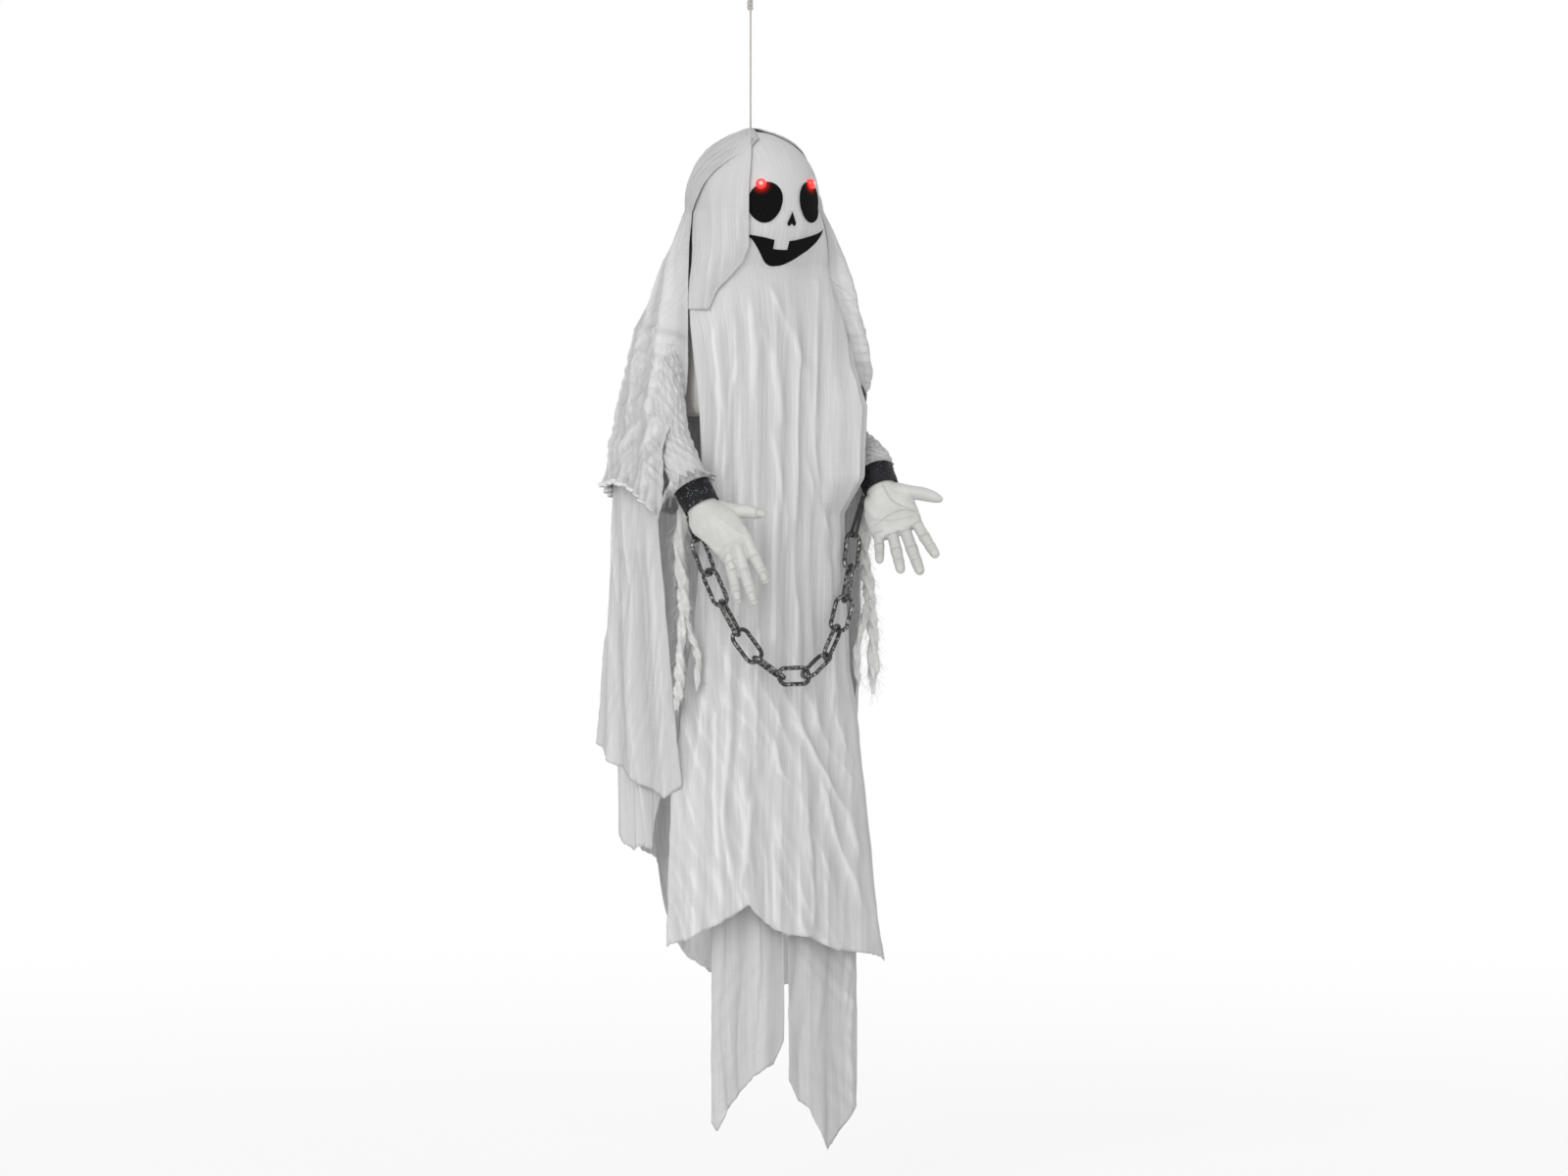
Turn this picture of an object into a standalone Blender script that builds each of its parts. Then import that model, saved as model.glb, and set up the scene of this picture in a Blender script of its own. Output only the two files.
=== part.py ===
"""Hanging animated ghost figure: a cord, a two-piece head, a chest housing with a geared
motor, two swinging arms with hands in cuffs, a chain between the cuffs and a layered gown.

Run it with blender --background --python part.py or from Blender's text editor.
Lengths are metres and +Z is up. The figure faces -Y, and its right hand is at -X.
The origin is the inner top of the cord's loop, where a hook carries the whole figure.
A level is a depth below the crown of the head, so a larger level is lower.
"""
import math

import bmesh
import bpy
from mathutils import Matrix, Vector

# Cord that carries the figure
CROWN_DEPTH = 0.235
CORD_DIAMETER = 0.0034
LOOP_LENGTH = 0.038
LOOP_WIDTH = 0.014
KNOT_DIAMETER = 0.009
KNOT_LENGTH = 0.013

# Crown to the lowest tip of the cloth
FIGURE_DROP = 1.557

# Clearances
TOUCH_GAP = 0.0003
SEAT_GAP = 0.0005
CLOTH_STANDOFF = 0.0011
OVERRUN = 0.010
FACET_ALLOWANCE = 0.0018

# Head shell
HEAD_CENTRE_Y = -0.012
HEAD_CENTRE_LEVEL = 0.106
HEAD_HALF_WIDTH = 0.0930
HEAD_HALF_DEPTH = 0.1060
HEAD_TOP_HEIGHT = 0.1005
HEAD_CHIN_HEIGHT = 0.1290
HEAD_WALL = 0.0025
HEAD_OPENING_LEVEL = 0.212
HEAD_SPLIT_FORWARD = 0.020
STOPPER_WASHER_RADIUS = 0.007
STOPPER_WASHER_DROP = 0.0022
STOPPER_WASHER_THICKNESS = 0.0015

# Glowing eyes
LED_LEVEL = 0.084
LED_ANGLE = math.radians(27)
LED_RADIUS = 0.0070
LED_FLANGE_RADIUS = 0.0085
LED_FLANGE_THICKNESS = 0.0015
LED_PROUD = 0.0055
LED_STEM = 0.0105
LED_TRIAL_TURN = math.radians(0.5)

# Face patches
PATCH_THICKNESS = 0.0012
EYE_LEVEL = 0.111
EYE_HALF_HEIGHT = 0.0315
EYE_HALF_WIDTH = 0.0245
EYE_OFFSET = 0.0375
NOSE_TOP_LEVEL = 0.124
NOSE_HEIGHT = 0.023
NOSE_HALF_WIDTH = 0.0085
MOUTH_CORNER_LEVEL = 0.150
MOUTH_HALF_WIDTH = 0.070
MOUTH_DEPTH = 0.059
TOOTH_WIDTH = 0.020
TOOTH_HEIGHT = 0.014
TOOTH_OFFSET = -0.012

# Neck
NECK_RADIUS = 0.0165
NECK_WALL = 0.0025
NECK_PLATE_LEVEL = 0.199
NECK_PLATE_THICKNESS = 0.003
NECK_FLANGE_RADIUS = 0.0215
NECK_FLANGE_THICKNESS = 0.003

# Chest housing
HOUSING_TOP_LEVEL = 0.286
HOUSING_WIDTH = 0.236
HOUSING_DEPTH = 0.096
HOUSING_HEIGHT = 0.150
HOUSING_CORNER = 0.014
HOUSING_WALL = 0.0025
SPEAKER_LEVEL = 0.375
SPEAKER_OFFSET = 0.062
SPEAKER_RADIUS = 0.025
SPEAKER_DEPTH = 0.014
SPEAKER_SLOT_HEIGHT = 0.0022
SPEAKER_SLOTS = 5
SWITCH_LEVEL = 0.330
SWITCH_OFFSET = 0.075
SWITCH_TRAVEL = 0.004
SWITCH_KNOB_WIDTH = 0.005
SWITCH_KNOB_HEIGHT = 0.005
SWITCH_KNOB_PROUD = 0.003
SWITCH_PLATE_WIDTH = 0.018
SWITCH_PLATE_HEIGHT = 0.009
SWITCH_PLATE_THICKNESS = 0.002

# Battery compartment
DOOR_WIDTH = 0.066
DOOR_HEIGHT = 0.058
DOOR_LEVEL = 0.392
DOOR_OFFSET = -0.030
DOOR_THICKNESS = 0.0024
BAY_WALL = 0.0030
BAY_DEPTH = 0.0185
CELL_DIAMETER = 0.0145
CELL_LENGTH = 0.0495
CELL_COUNT = 3

# Motor and gears
SHAFT_LEVEL = 0.316
SHAFT_RADIUS = 0.005
SHAFT_HALF_LENGTH = 0.1605
GEAR_MODULE = 0.0016
GEAR_TEETH = 40
SECTOR_TEETH = 13
PINION_TEETH = 10
GEAR_WIDTH = 0.007
GEAR_HUB_RADIUS = 0.010
GEAR_OFFSET = 0.020
GEAR_BACKLASH = 0.0004
MOTOR_RADIUS = 0.014
MOTOR_LENGTH = 0.044
MOTOR_SHAFT_RADIUS = 0.0015

# Circuit board
BOARD_WIDTH = 0.050
BOARD_HEIGHT = 0.036
BOARD_THICKNESS = 0.0016
BOARD_LEVEL = 0.372
BOARD_OFFSET = -0.052

# Case screws
SCREW_HEAD_RADIUS = 0.0032
SCREW_HEAD_HEIGHT = 0.0018
SCREW_INSET = 0.014

# Arms
ARM_X = 0.150
ARM_RADIUS = 0.0075
HUB_RADIUS = 0.0115
HUB_LENGTH = 0.021

# Cuffs
CUFF_RADIUS = 0.0275
CUFF_WALL = 0.0015
CUFF_LENGTH = 0.040
CUFF_FLARE = 0.0015

# Hands
WRIST_RADIUS = 0.0250
WRIST_SETBACK = 0.014
PALM_LENGTH = 0.100
PALM_HALF_WIDTH = 0.041
PALM_HALF_THICKNESS = 0.0145
FINGER_RADIUS = 0.0088
THUMB_RADIUS = 0.0105

# Chain
LINK_COUNT = 11
LINK_LENGTH = 0.0640
LINK_WIDTH = 0.0310
LINK_WIRE = 0.0060
LINK_GAP = 0.0010
BOTTOM_LINK_GAP = 0.0019
LINK_BEND_STEPS = 7
TAB_WIDTH = 0.006
TAB_STRAP = 0.0015
TAB_TOP_RADIUS = 0.0028
TAB_LOOP_RADIUS = 0.0051
TAB_TOP_DROP = 0.0025
TAB_TOP_OUT = 0.0032
TAB_REST = 0.0004

# Cloth
CLOTH_THICKNESS = 0.0016
FOLD_DEPTH = 0.0045
SEAM_OVERLAP = 0.030


# Shares of sizes that only one piece uses
LOOP_THROAT_SHARE = 0.25
EYE_TAPER_SHARE = 0.06
EYE_LEAN_SHARE = 0.14
LIP_DROP_SHARE = 0.30
LIP_LEFT_SHARES = (-0.80, -0.55, -0.32)
LIP_RIGHT_SHARES = (0.28, 0.55, 0.80)
MOUTH_FULLNESS_SHARE = 0.80
NOSE_SHARES = ((0.0, 0.0), (0.55, 0.45), (1.0, 0.80), (0.75, 1.0), (0.28, 0.96), (0.0, 0.86))
KNOT_SHARES = ((0.0, 1.0), (0.62, 0.92), (1.0, 0.48), (0.86, 0.0), (1.0, -0.48),
               (0.62, -0.92), (0.0, -1.0))
PATCH_START_SHARE = 0.35
PATCH_LEVEL_SHARE = 0.1445
SWITCH_SLOT_SHARE = 0.25
BAY_INSET_SHARE = 0.10
DOOR_RIDGE_SHARE = 0.80
DOOR_BEVEL_SHARE = 0.20
SCREW_LEVEL_SHARE = 1.80
SCREW_DOME_SHARES = (0.70, 0.40)
SPEAKER_RIM_SHARE = 0.20
SPEAKER_CONE_SHARES = (0.50, 0.60)
CHIP_SHARES = (-0.25, 0.22)
GEAR_DEDENDUM_SHARE = 1.25
GEAR_FLANK_SHARES = (0.29, 0.235, 0.12)

# How each piece of cloth is divided and folded
FRONT_COLUMNS = 25
FRONT_FOLDS = 9
FRONT_ROW_SHARES = (0.026, 0.052, 0.078, 0.105, 0.17, 0.25, 0.34, 0.44, 0.55, 0.66, 0.78,
                    0.89, 1.0)
BACK_COLUMNS = 19
BACK_FOLDS = 7
BACK_ROWS = 13
CAPE_COLUMNS = 25
CAPE_FOLDS = 11
CAPE_ROWS = 10
CAPE_LIFT = 0.0039
CAPE_FLARE = 0.0050
SMOOTH_LEVEL = 0.212
FOLD_GROWTH = 0.120
FOLD_STARTS = (1.1, 0.4)
DRAPE_TOP_LEVEL = 0.490
DRAPE_RIGHT_RISE = 0.0011
DRAPE_LEFT_RISE = -0.0001
DRAPE_COLUMNS = 13
DRAPE_ROWS = 9
DRAPE_FOLDS = 3
TAIL_TOP_LEVEL = 0.402
TAIL_TOP_HALF = 0.100
TAIL_TOP_INSET = 0.004
TAIL_DROP_DEPTH = 0.080
TAIL_EDGE_DEPTH = 0.052
TAIL_SETTLE_DROP = 0.686
TAIL_COLUMNS = 9
TAIL_ROWS = 12
TAIL_FOLDS = 2
TAIL_FOLD = 0.0030
TAIL_INSET = 0.0125
TAIL_REACH_SHARE = 0.98
SLEEVE_SIDES = 16
SLEEVE_ROWS = 6
SLEEVE_START_SHARE = 0.42
SLEEVE_RUFFLE = 0.0016
STRIP_TOP_SHARE = 0.45
STRIP_SEAT = 0.0004
STRIP_RADIUS = 0.0075
STRIP_POINTS = 14
STRIP_TWIST_SHARES = (0.72, 0.28)
STRIP_TWIST_TURN = 1.9
STRIP_END_POINTS = 3
STRIP_END_SHARE = 0.25


def level_z(level):
    """Height of a level, which is counted down from the crown."""
    return -CROWN_DEPTH - level


def place(x, y, level):
    """World point from x, y and a level."""
    return Vector((x, y, level_z(level)))


def scaled(table, sizes):
    """Rows of a table of shares, each value times the size of its column."""
    return [tuple(value * size for value, size in zip(row, sizes)) for row in table]


def place_shares(x, y, level):
    """World point from shares of the head's half width, its half depth and the figure's drop."""
    return place(x * HEAD_HALF_WIDTH, y * HEAD_HALF_DEPTH, level * FIGURE_DROP)


# Places in shares of the head's half width, its half depth and the figure's drop. A wrist is the
# middle of its cuff, then come the ways that each hand and its thumb point
RIGHT_WRIST_SHARES = (-1.7204, -1.0849, 0.3552)
LEFT_WRIST_SHARES = (1.9355, -0.7358, 0.3436)
RIGHT_HAND_SHARES = (0.22, -0.50, -0.84)
LEFT_HAND_SHARES = (0.00, -0.62, -0.78)
RIGHT_THUMB_SHARES = (0.78, -0.43, 0.46)
LEFT_THUMB_SHARES = (0.81, -0.46, 0.36)
RIGHT_ELBOW_SHARES = (-1.7204, -0.2453, 0.2890)
LEFT_ELBOW_SHARES = (1.7204, -0.0189, 0.2826)
RIGHT_CHAIN_SHARES = (-1.6989, -1.0472, 0.3963)
LEFT_CHAIN_SHARES = (1.5376, -0.6415, 0.3963)
CHAIN_LEAN = math.radians(12)
LEFT_TAB_SHARES = (-0.75, 0.10, -0.45)
LINK_ROLLS = (0, 72, -36, 36, -72, 0, -72, 36, -36, 72, 0)

FINGER_SHARES = (
    # base across, base along, then tip across, tip along and tip drop, in palm lengths
    (0.30, 0.96, 0.40, 1.70, 0.10, 0.95),
    (0.10, 1.01, 0.08, 1.90, 0.14, 1.00),
    (-0.10, 0.98, -0.19, 1.77, 0.18, 0.95),
    (-0.29, 0.88, -0.44, 1.46, 0.16, 0.82),
)
THUMB_SHARES = ((0.06, 0.22, 0.02), (0.34, 0.42, 0.06), (0.58, 0.58, 0.06), (0.80, 0.76, 0.02))
PALM_SHARES = (
    # along in palm lengths, half width, half thickness, lift
    (-0.140, 0.598, 1.69, 0.00),
    (0.250, 0.600, 1.66, 0.00),
    (0.360, 0.82, 1.36, 0.00),
    (0.500, 0.97, 1.15, 0.02),
    (0.700, 1.00, 1.00, 0.04),
    (0.920, 0.98, 0.86, 0.03),
    (1.020, 0.84, 0.60, 0.00),
)

# Plan of the gown and of the cape: levels in figure drops, widths and depths in the head's
# half width and half depth
BODY_SHARES = (
    # level, middle of the plan in Y, front half width and depth, back half width and depth
    (0.0777, -0.1132, 1.0022, 1.0019, 1.0022, 1.0019),
    (0.0963, -0.1132, 1.0323, 0.9717, 1.0968, 1.0236),
    (0.1156, -0.1038, 1.0753, 0.8632, 1.1720, 1.0189),
    (0.1336, -0.0849, 1.1398, 0.7170, 1.2473, 1.0189),
    (0.1445, -0.0660, 1.1935, 0.7075, 1.3118, 1.0283),
    (0.1965, -0.0472, 1.4839, 0.8679, 1.6129, 1.0660),
    (0.2697, -0.0472, 1.5161, 0.8915, 1.6989, 1.1132),
    (0.3597, -0.0472, 1.4839, 0.8774, 1.7849, 1.1698),
    (0.4432, -0.0472, 1.4624, 0.8396, 1.8280, 1.2075),
    (0.5331, -0.0472, 1.5484, 0.8491, 1.8495, 1.2264),
    (0.6423, -0.0472, 1.7742, 0.9717, 1.8710, 1.2264),
    (0.8349, -0.0472, 2.0215, 1.0943, 1.9140, 1.2075),
)
SWELL_SHARES = (
    # level, then how far the front's left side stands out in X and in Y
    (0.2119, 0.0000, 0.0000),
    (0.2697, 0.2796, -0.3774),
    (0.3404, 0.2796, -0.3774),
    (0.3757, 0.1290, -0.0377),
    (0.5331, 0.1505, -0.0377),
    (0.6680, 0.1935, -0.0377),
    (0.7514, 0.2258, -0.0377),
    (0.8202, 0.3441, -0.0377),
)
SWELL_ANGLES = (math.radians(15), math.radians(50))
CAPE_SHARES = (
    # level, middle of the plan in Y, half width, front depth, back depth, squareness
    (0.0777, -0.1132, 1.0860, 1.0755, 1.0849, 2.0),
    (0.1092, -0.1038, 1.2688, 1.0755, 1.1226, 2.2),
    (0.1445, -0.0755, 1.5054, 1.0566, 1.1604, 2.5),
    (0.1965, -0.0472, 1.8710, 1.0943, 1.2170, 2.8),
    (0.2312, -0.0472, 1.9892, 1.1887, 1.2547, 2.9),
    (0.2697, -0.0472, 2.0968, 1.3491, 1.3019, 3.0),
    (0.3102, -0.0472, 2.2581, 1.5943, 1.5094, 3.0),
    (0.3854, -0.0472, 2.3871, 1.7547, 1.7547, 3.0),
)

# Cloth edges: angles from straight ahead in degrees, levels in figure drops
CROWN_RING_SHARES = (0.0376, 0.1505, 0.3118, 0.4839)
HEAD_LEVEL_SHARES = (0.0199, 0.0302, 0.0411, 0.0533, 0.0655, 0.0777)
FRONT_SPAN_SHARES = (
    # level, half angle that the front panel covers
    (0.0777, 104), (0.1092, 97), (0.1445, 84), (0.1965, 66), (0.2697, 58), (0.3597, 56),
    (0.4432, 60), (0.5331, 64), (0.6423, 68), (0.8202, 76),
)
FRONT_HEM_SHARES = (
    # share of the width from the figure's right, level
    (0, 0.7958), (0.18, 0.7803), (0.36, 0.7643), (0.5, 0.7848), (0.62, 0.7913), (0.78, 0.8080),
    (0.92, 0.8144), (1, 0.8202),
)
BACK_SPAN_SHARES = (
    # level, angle at which the back panel starts
    (0.0777, 112), (0.1445, 116), (0.1965, 124), (0.2697, 120), (0.3597, 112), (0.8536, 104),
)
BACK_HEM_SHARES = (
    # share of the width from the figure's left, level
    (0, 0.8536), (0.25, 0.8478), (0.5, 0.8285), (0.7, 0.7900), (0.88, 0.7386), (1, 0.7097),
)
CAPE_LEFT_SHARES = (
    # level, angle of the cape's left front edge
    (0.0199, 40), (0.0302, 60), (0.0411, 73), (0.0533, 82), (0.0655, 88), (0.0777, 91),
    (0.1092, 85), (0.1445, 78), (0.1753, 72), (0.1965, 72), (0.2312, 84), (0.2697, 88),
    (0.3854, 92),
)
CAPE_RIGHT_SHARES = (
    # level, angle of the cape's right front edge
    (0.0199, 40), (0.0302, 60), (0.0411, 73), (0.0533, 82), (0.0655, 88), (0.0777, 91),
    (0.1092, 85), (0.1445, 78), (0.1753, 72), (0.1965, 68), (0.2312, 64), (0.2697, 66),
    (0.2954, 68), (0.3854, 69),
)
CAPE_CROWN_ANGLES = (12, 16, 22, 30)
CAPE_HEM_SHARES = (
    # share of the width from the figure's left, level
    (0, 0.3211), (0.08, 0.3340), (0.2, 0.3500), (0.5, 0.3789), (0.75, 0.3500), (0.86, 0.3597),
    (0.93, 0.3764), (0.955, 0.3597), (0.98, 0.3308), (1, 0.3147),
)
DRAPE_PLAN_SHARES = (
    # share of the width, angle of the top inside the cape, X and Y of the hem
    (0.00, 91, 1.7634, -0.2453),
    (0.20, 97, 1.9247, 0.0000),
    (0.45, 107, 2.0430, 0.4340),
    (0.75, 119, 2.0968, 0.9245),
    (1.00, 129, 2.0645, 1.3396),
)
DRAPE_HEM_SHARES = (
    # share of the width, level
    (0, 0.6390), (0.25, 0.6455), (0.55, 0.6262), (0.85, 0.6134), (1, 0.6031),
)
TAIL_SHARES = {
    # X of the inner and the outer edge at the hem, then share of the width and level
    "leg_tail_right": (0.1505, -1.0538, (
        (0, 0.8927), (0.15, 0.9152), (0.45, 0.9249), (0.8, 0.9570), (1, 0.9769))),
    "leg_tail_left": (0.2258, 1.6989, (
        (0, 0.9306), (0.3, 0.9634), (0.55, 1.0000), (0.8, 0.9794), (1, 0.9640))),
}
STRIP_ROUTE_SHARES = {
    # places of the strip's route below the sleeve, the figure's right then its left
    -1: ((-1.8172, -0.6321, 0.4110), (-1.7312, -0.6415, 0.4592), (-1.7849, -0.6132, 0.5074),
         (-1.8065, -0.6321, 0.5395), (-1.8710, -0.6226, 0.5645)),
    1: ((1.9032, -0.3962, 0.4110), (1.9785, -0.4340, 0.4560),
        (2.0215, -0.4717, 0.4945), (1.9892, -0.5189, 0.5556)),
}
SLEEVE_RADIUS_SHARES = ((0.00, 0.6727), (0.35, 0.7818), (0.66, 0.9636), (0.83, 1.0473),
                        (1.00, 1.0400))

COLOURS = {
    "cord": ((0.78, 0.77, 0.74), 0.0, 0.85),
    "white_cloth": ((0.80, 0.80, 0.82), 0.0, 0.90),
    "white_plastic": ((0.70, 0.70, 0.69), 0.0, 0.50),
    "grey_plastic": ((0.30, 0.31, 0.33), 0.0, 0.50),
    "hand_vinyl": ((0.62, 0.62, 0.58), 0.0, 0.55),
    "black_felt": ((0.010, 0.010, 0.011), 0.0, 0.95),
    "cuff_cloth": ((0.015, 0.015, 0.018), 0.0, 0.70),
    "chain_plastic": ((0.045, 0.047, 0.052), 0.55, 0.38),
    "steel": ((0.55, 0.56, 0.58), 0.9, 0.35),
    "red_lens": ((0.85, 0.03, 0.02), 0.0, 0.20),
    "circuit_green": ((0.02, 0.16, 0.07), 0.0, 0.55),
    "cell_jacket": ((0.05, 0.05, 0.06), 0.0, 0.40),
    "brass": ((0.60, 0.45, 0.20), 0.8, 0.40),
}

DEGREE = math.radians(1)
PLAN_SIZES = (FIGURE_DROP, HEAD_HALF_DEPTH, HEAD_HALF_WIDTH, HEAD_HALF_DEPTH)
BODY_SECTIONS = scaled(BODY_SHARES, PLAN_SIZES + (HEAD_HALF_WIDTH, HEAD_HALF_DEPTH))
SWELL = scaled(SWELL_SHARES, (FIGURE_DROP, HEAD_HALF_WIDTH, HEAD_HALF_DEPTH))
CAPE_SECTIONS = scaled(CAPE_SHARES, PLAN_SIZES + (HEAD_HALF_DEPTH, 1))
CROWN_RINGS = [HEAD_HALF_WIDTH * share for share in CROWN_RING_SHARES]
HEAD_LEVELS = [FIGURE_DROP * share for share in HEAD_LEVEL_SHARES]
FRONT_SPAN = scaled(FRONT_SPAN_SHARES, (FIGURE_DROP, DEGREE))
BACK_SPAN = scaled(BACK_SPAN_SHARES, (FIGURE_DROP, DEGREE))
CAPE_LEFT = scaled(CAPE_LEFT_SHARES, (FIGURE_DROP, DEGREE))
CAPE_RIGHT = scaled(CAPE_RIGHT_SHARES, (FIGURE_DROP, DEGREE))
DRAPE_PLAN = scaled(DRAPE_PLAN_SHARES, (1, DEGREE, HEAD_HALF_WIDTH, HEAD_HALF_DEPTH))
RIGHT_CHAIN_END = place_shares(*RIGHT_CHAIN_SHARES)
LEFT_CHAIN_END = place_shares(*LEFT_CHAIN_SHARES)

for scene_object in list(bpy.data.objects):
    bpy.data.objects.remove(scene_object, do_unlink=True)

PARTS = bpy.data.collections.new("animated_ghost")
CUTTERS = bpy.data.collections.new("cutters")
bpy.context.scene.collection.children.link(PARTS)
bpy.context.scene.collection.children.link(CUTTERS)


def material(name, finish):
    """A Principled material of its own for one piece."""
    colour, metallic, roughness = COLOURS[finish]
    made = bpy.data.materials.new(name + "_" + finish)
    made.use_nodes = True
    shader = made.node_tree.nodes["Principled BSDF"]
    shader.inputs["Base Color"].default_value = (*colour, 1.0)
    shader.inputs["Metallic"].default_value = metallic
    shader.inputs["Roughness"].default_value = roughness
    return made


def add_object(name, data, finish=None):
    """Link new data as a part, or as a cutter when no finish is given."""
    made = bpy.data.objects.new(name, data)
    if finish is None:
        CUTTERS.objects.link(made)
        made.hide_render = True
        made.display_type = "WIRE"
    else:
        PARTS.objects.link(made)
        data.materials.clear()
        data.materials.append(material(name, finish))
    return made


def mesh_object(name, points, faces, finish=None):
    """An object from points and faces, with its normals made consistent."""
    mesh = bpy.data.meshes.new(name)
    mesh.from_pydata([tuple(point) for point in points], [], faces)
    made = bmesh.new()
    made.from_mesh(mesh)
    bmesh.ops.recalc_face_normals(made, faces=made.faces)
    made.to_mesh(mesh)
    made.free()
    return add_object(name, mesh, finish)


def bmesh_object(name, made, finish=None):
    """An object from a bmesh, which is freed."""
    mesh = bpy.data.meshes.new(name)
    made.to_mesh(mesh)
    made.free()
    return add_object(name, mesh, finish)


def as_mesh(curve_object, finish=None):
    """Replace a curve object by its welded mesh, as a cutter or a part of the same name."""
    graph = bpy.context.evaluated_depsgraph_get()
    mesh = bpy.data.meshes.new_from_object(curve_object.evaluated_get(graph))
    welded = bmesh.new()
    welded.from_mesh(mesh)
    bmesh.ops.remove_doubles(welded, verts=welded.verts, dist=TOUCH_GAP / 10)
    bmesh.ops.recalc_face_normals(welded, faces=welded.faces)
    welded.to_mesh(mesh)
    welded.free()
    name = curve_object.name
    matrix = curve_object.matrix_world.copy()
    bpy.data.objects.remove(curve_object, do_unlink=True)
    made = add_object(name, mesh, finish)
    made.matrix_world = matrix
    return made


def boolean(target, cutter, operation="DIFFERENCE"):
    """Keep the cutter and add a Boolean modifier for it."""
    step = target.modifiers.new(operation.lower() + "_" + cutter.name, "BOOLEAN")
    step.operation = operation
    step.solver = "EXACT"
    step.object = cutter
    return step


def solidify(target, thickness, offset):
    """Give an open surface its wall."""
    step = target.modifiers.new("wall", "SOLIDIFY")
    step.thickness = thickness
    step.offset = offset
    step.use_even_offset = True
    return step


def smooth(target, angle=math.radians(40)):
    """Shade round faces smooth and keep the sharp edges."""
    target.data.shade_smooth()
    target.data.set_sharp_from_angle(angle=angle)


def box(name, size, centre, finish=None, bevel=0.0):
    """A box with optional rounded edges."""
    made = bmesh.new()
    bmesh.ops.create_cube(made, size=1.0)
    bmesh.ops.scale(made, vec=size, verts=made.verts)
    made_object = bmesh_object(name, made, finish)
    made_object.location = centre
    if bevel:
        step = made_object.modifiers.new("edges", "BEVEL")
        step.width = bevel
        step.segments = 2
    return made_object


def cylinder(name, radius, length, centre, axis, finish=None, sides=24):
    """A cylinder with its length along an axis."""
    made = bmesh.new()
    bmesh.ops.create_cone(made, cap_ends=True, segments=sides, radius1=radius,
                          radius2=radius, depth=length)
    made_object = bmesh_object(name, made, finish)
    made_object.rotation_mode = "QUATERNION"
    made_object.rotation_quaternion = Vector(axis).to_track_quat("Z", "Y")
    made_object.location = centre
    return made_object


def turned(name, profile, finish=None, sides=24):
    """A turned solid: the profile of radius and height pairs runs from top to bottom."""
    mesh = bpy.data.meshes.new(name)
    points = [(radius, 0.0, height) for radius, height in profile]
    mesh.from_pydata(points, [(i, i + 1) for i in range(len(points) - 1)], [])
    made = add_object(name, mesh, finish)
    step = made.modifiers.new("turn", "SCREW")
    step.steps = sides
    step.render_steps = sides
    step.use_merge_vertices = True
    step.merge_threshold = 0.00001
    step.use_normal_calculate = False
    return made


def tube(name, points, radius, finish=None, resolution=2, radii=None, cyclic=False):
    """A curve with a round section; radii are shares of the radius, one a point."""
    curve = bpy.data.curves.new(name, "CURVE")
    curve.dimensions = "3D"
    curve.bevel_depth = radius
    curve.bevel_resolution = resolution
    curve.use_fill_caps = not cyclic
    spline = curve.splines.new("POLY")
    spline.points.add(len(points) - 1)
    spline.use_cyclic_u = cyclic
    for index, point in enumerate(points):
        spline.points[index].co = (*point, 1.0)
        spline.points[index].radius = radii[index] if radii else 1.0
    return add_object(name, curve, finish)


def plate(name, outline, thickness, finish=None):
    """A flat outline in XY, as thick as given about Z = 0."""
    curve = bpy.data.curves.new(name, "CURVE")
    curve.dimensions = "2D"
    curve.fill_mode = "BOTH"
    curve.extrude = thickness / 2
    spline = curve.splines.new("POLY")
    spline.points.add(len(outline) - 1)
    spline.use_cyclic_u = True
    for index, point in enumerate(outline):
        spline.points[index].co = (point[0], point[1], 0.0, 1.0)
    return add_object(name, curve, finish)


def interpolate(table, level):
    """Row of a table at a level, with straight runs between its rows."""
    if level <= table[0][0]:
        return table[0][1:]
    for low, high in zip(table, table[1:]):
        if level <= high[0]:
            share = (level - low[0]) / (high[0] - low[0])
            return tuple(a + (b - a) * share for a, b in zip(low[1:], high[1:]))
    return table[-1][1:]


def smooth_path(points, count):
    """Points read from a smooth curve through the route's own points."""
    path = []
    padded = [points[0] * 2 - points[1]] + list(points) + [points[-1] * 2 - points[-2]]
    spans = len(points) - 1
    for step in range(count + 1):
        place_along = min(step / count * spans, spans - 1e-9)
        span = int(place_along)
        t = place_along - span
        a, b, c, d = padded[span:span + 4]
        path.append(((b * 2) + (c - a) * t + (a * 2 - b * 5 + c * 4 - d) * t * t
                     + (b * 3 - a - c * 3 + d) * t * t * t) / 2)
    return path


def frame_of(across, along, origin):
    """Matrix whose X runs across, Y along and Z square to both."""
    y = Vector(along).normalized()
    x = (Vector(across) - y * Vector(across).dot(y)).normalized()
    z = x.cross(y)
    matrix = Matrix((x, y, z)).transposed().to_4x4()
    matrix.translation = origin
    return matrix


# Head


def head_point(azimuth, polar, offset):
    """Point on the egg of the head: azimuth from the front, polar from the crown."""
    vertical = HEAD_TOP_HEIGHT if polar < math.pi / 2 else HEAD_CHIN_HEIGHT
    return Vector((
        (HEAD_HALF_WIDTH + offset) * math.sin(polar) * math.sin(azimuth),
        HEAD_CENTRE_Y - (HEAD_HALF_DEPTH + offset) * math.sin(polar) * math.cos(azimuth),
        level_z(HEAD_CENTRE_LEVEL) + (vertical + offset) * math.cos(polar)))


def head_polar(level, offset):
    """Polar angle at which the egg of the head reaches a level."""
    rise = HEAD_CENTRE_LEVEL - level
    reach = (HEAD_TOP_HEIGHT if rise > 0 else HEAD_CHIN_HEIGHT) + offset
    return math.acos(max(-1.0, min(1.0, rise / reach)))


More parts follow.
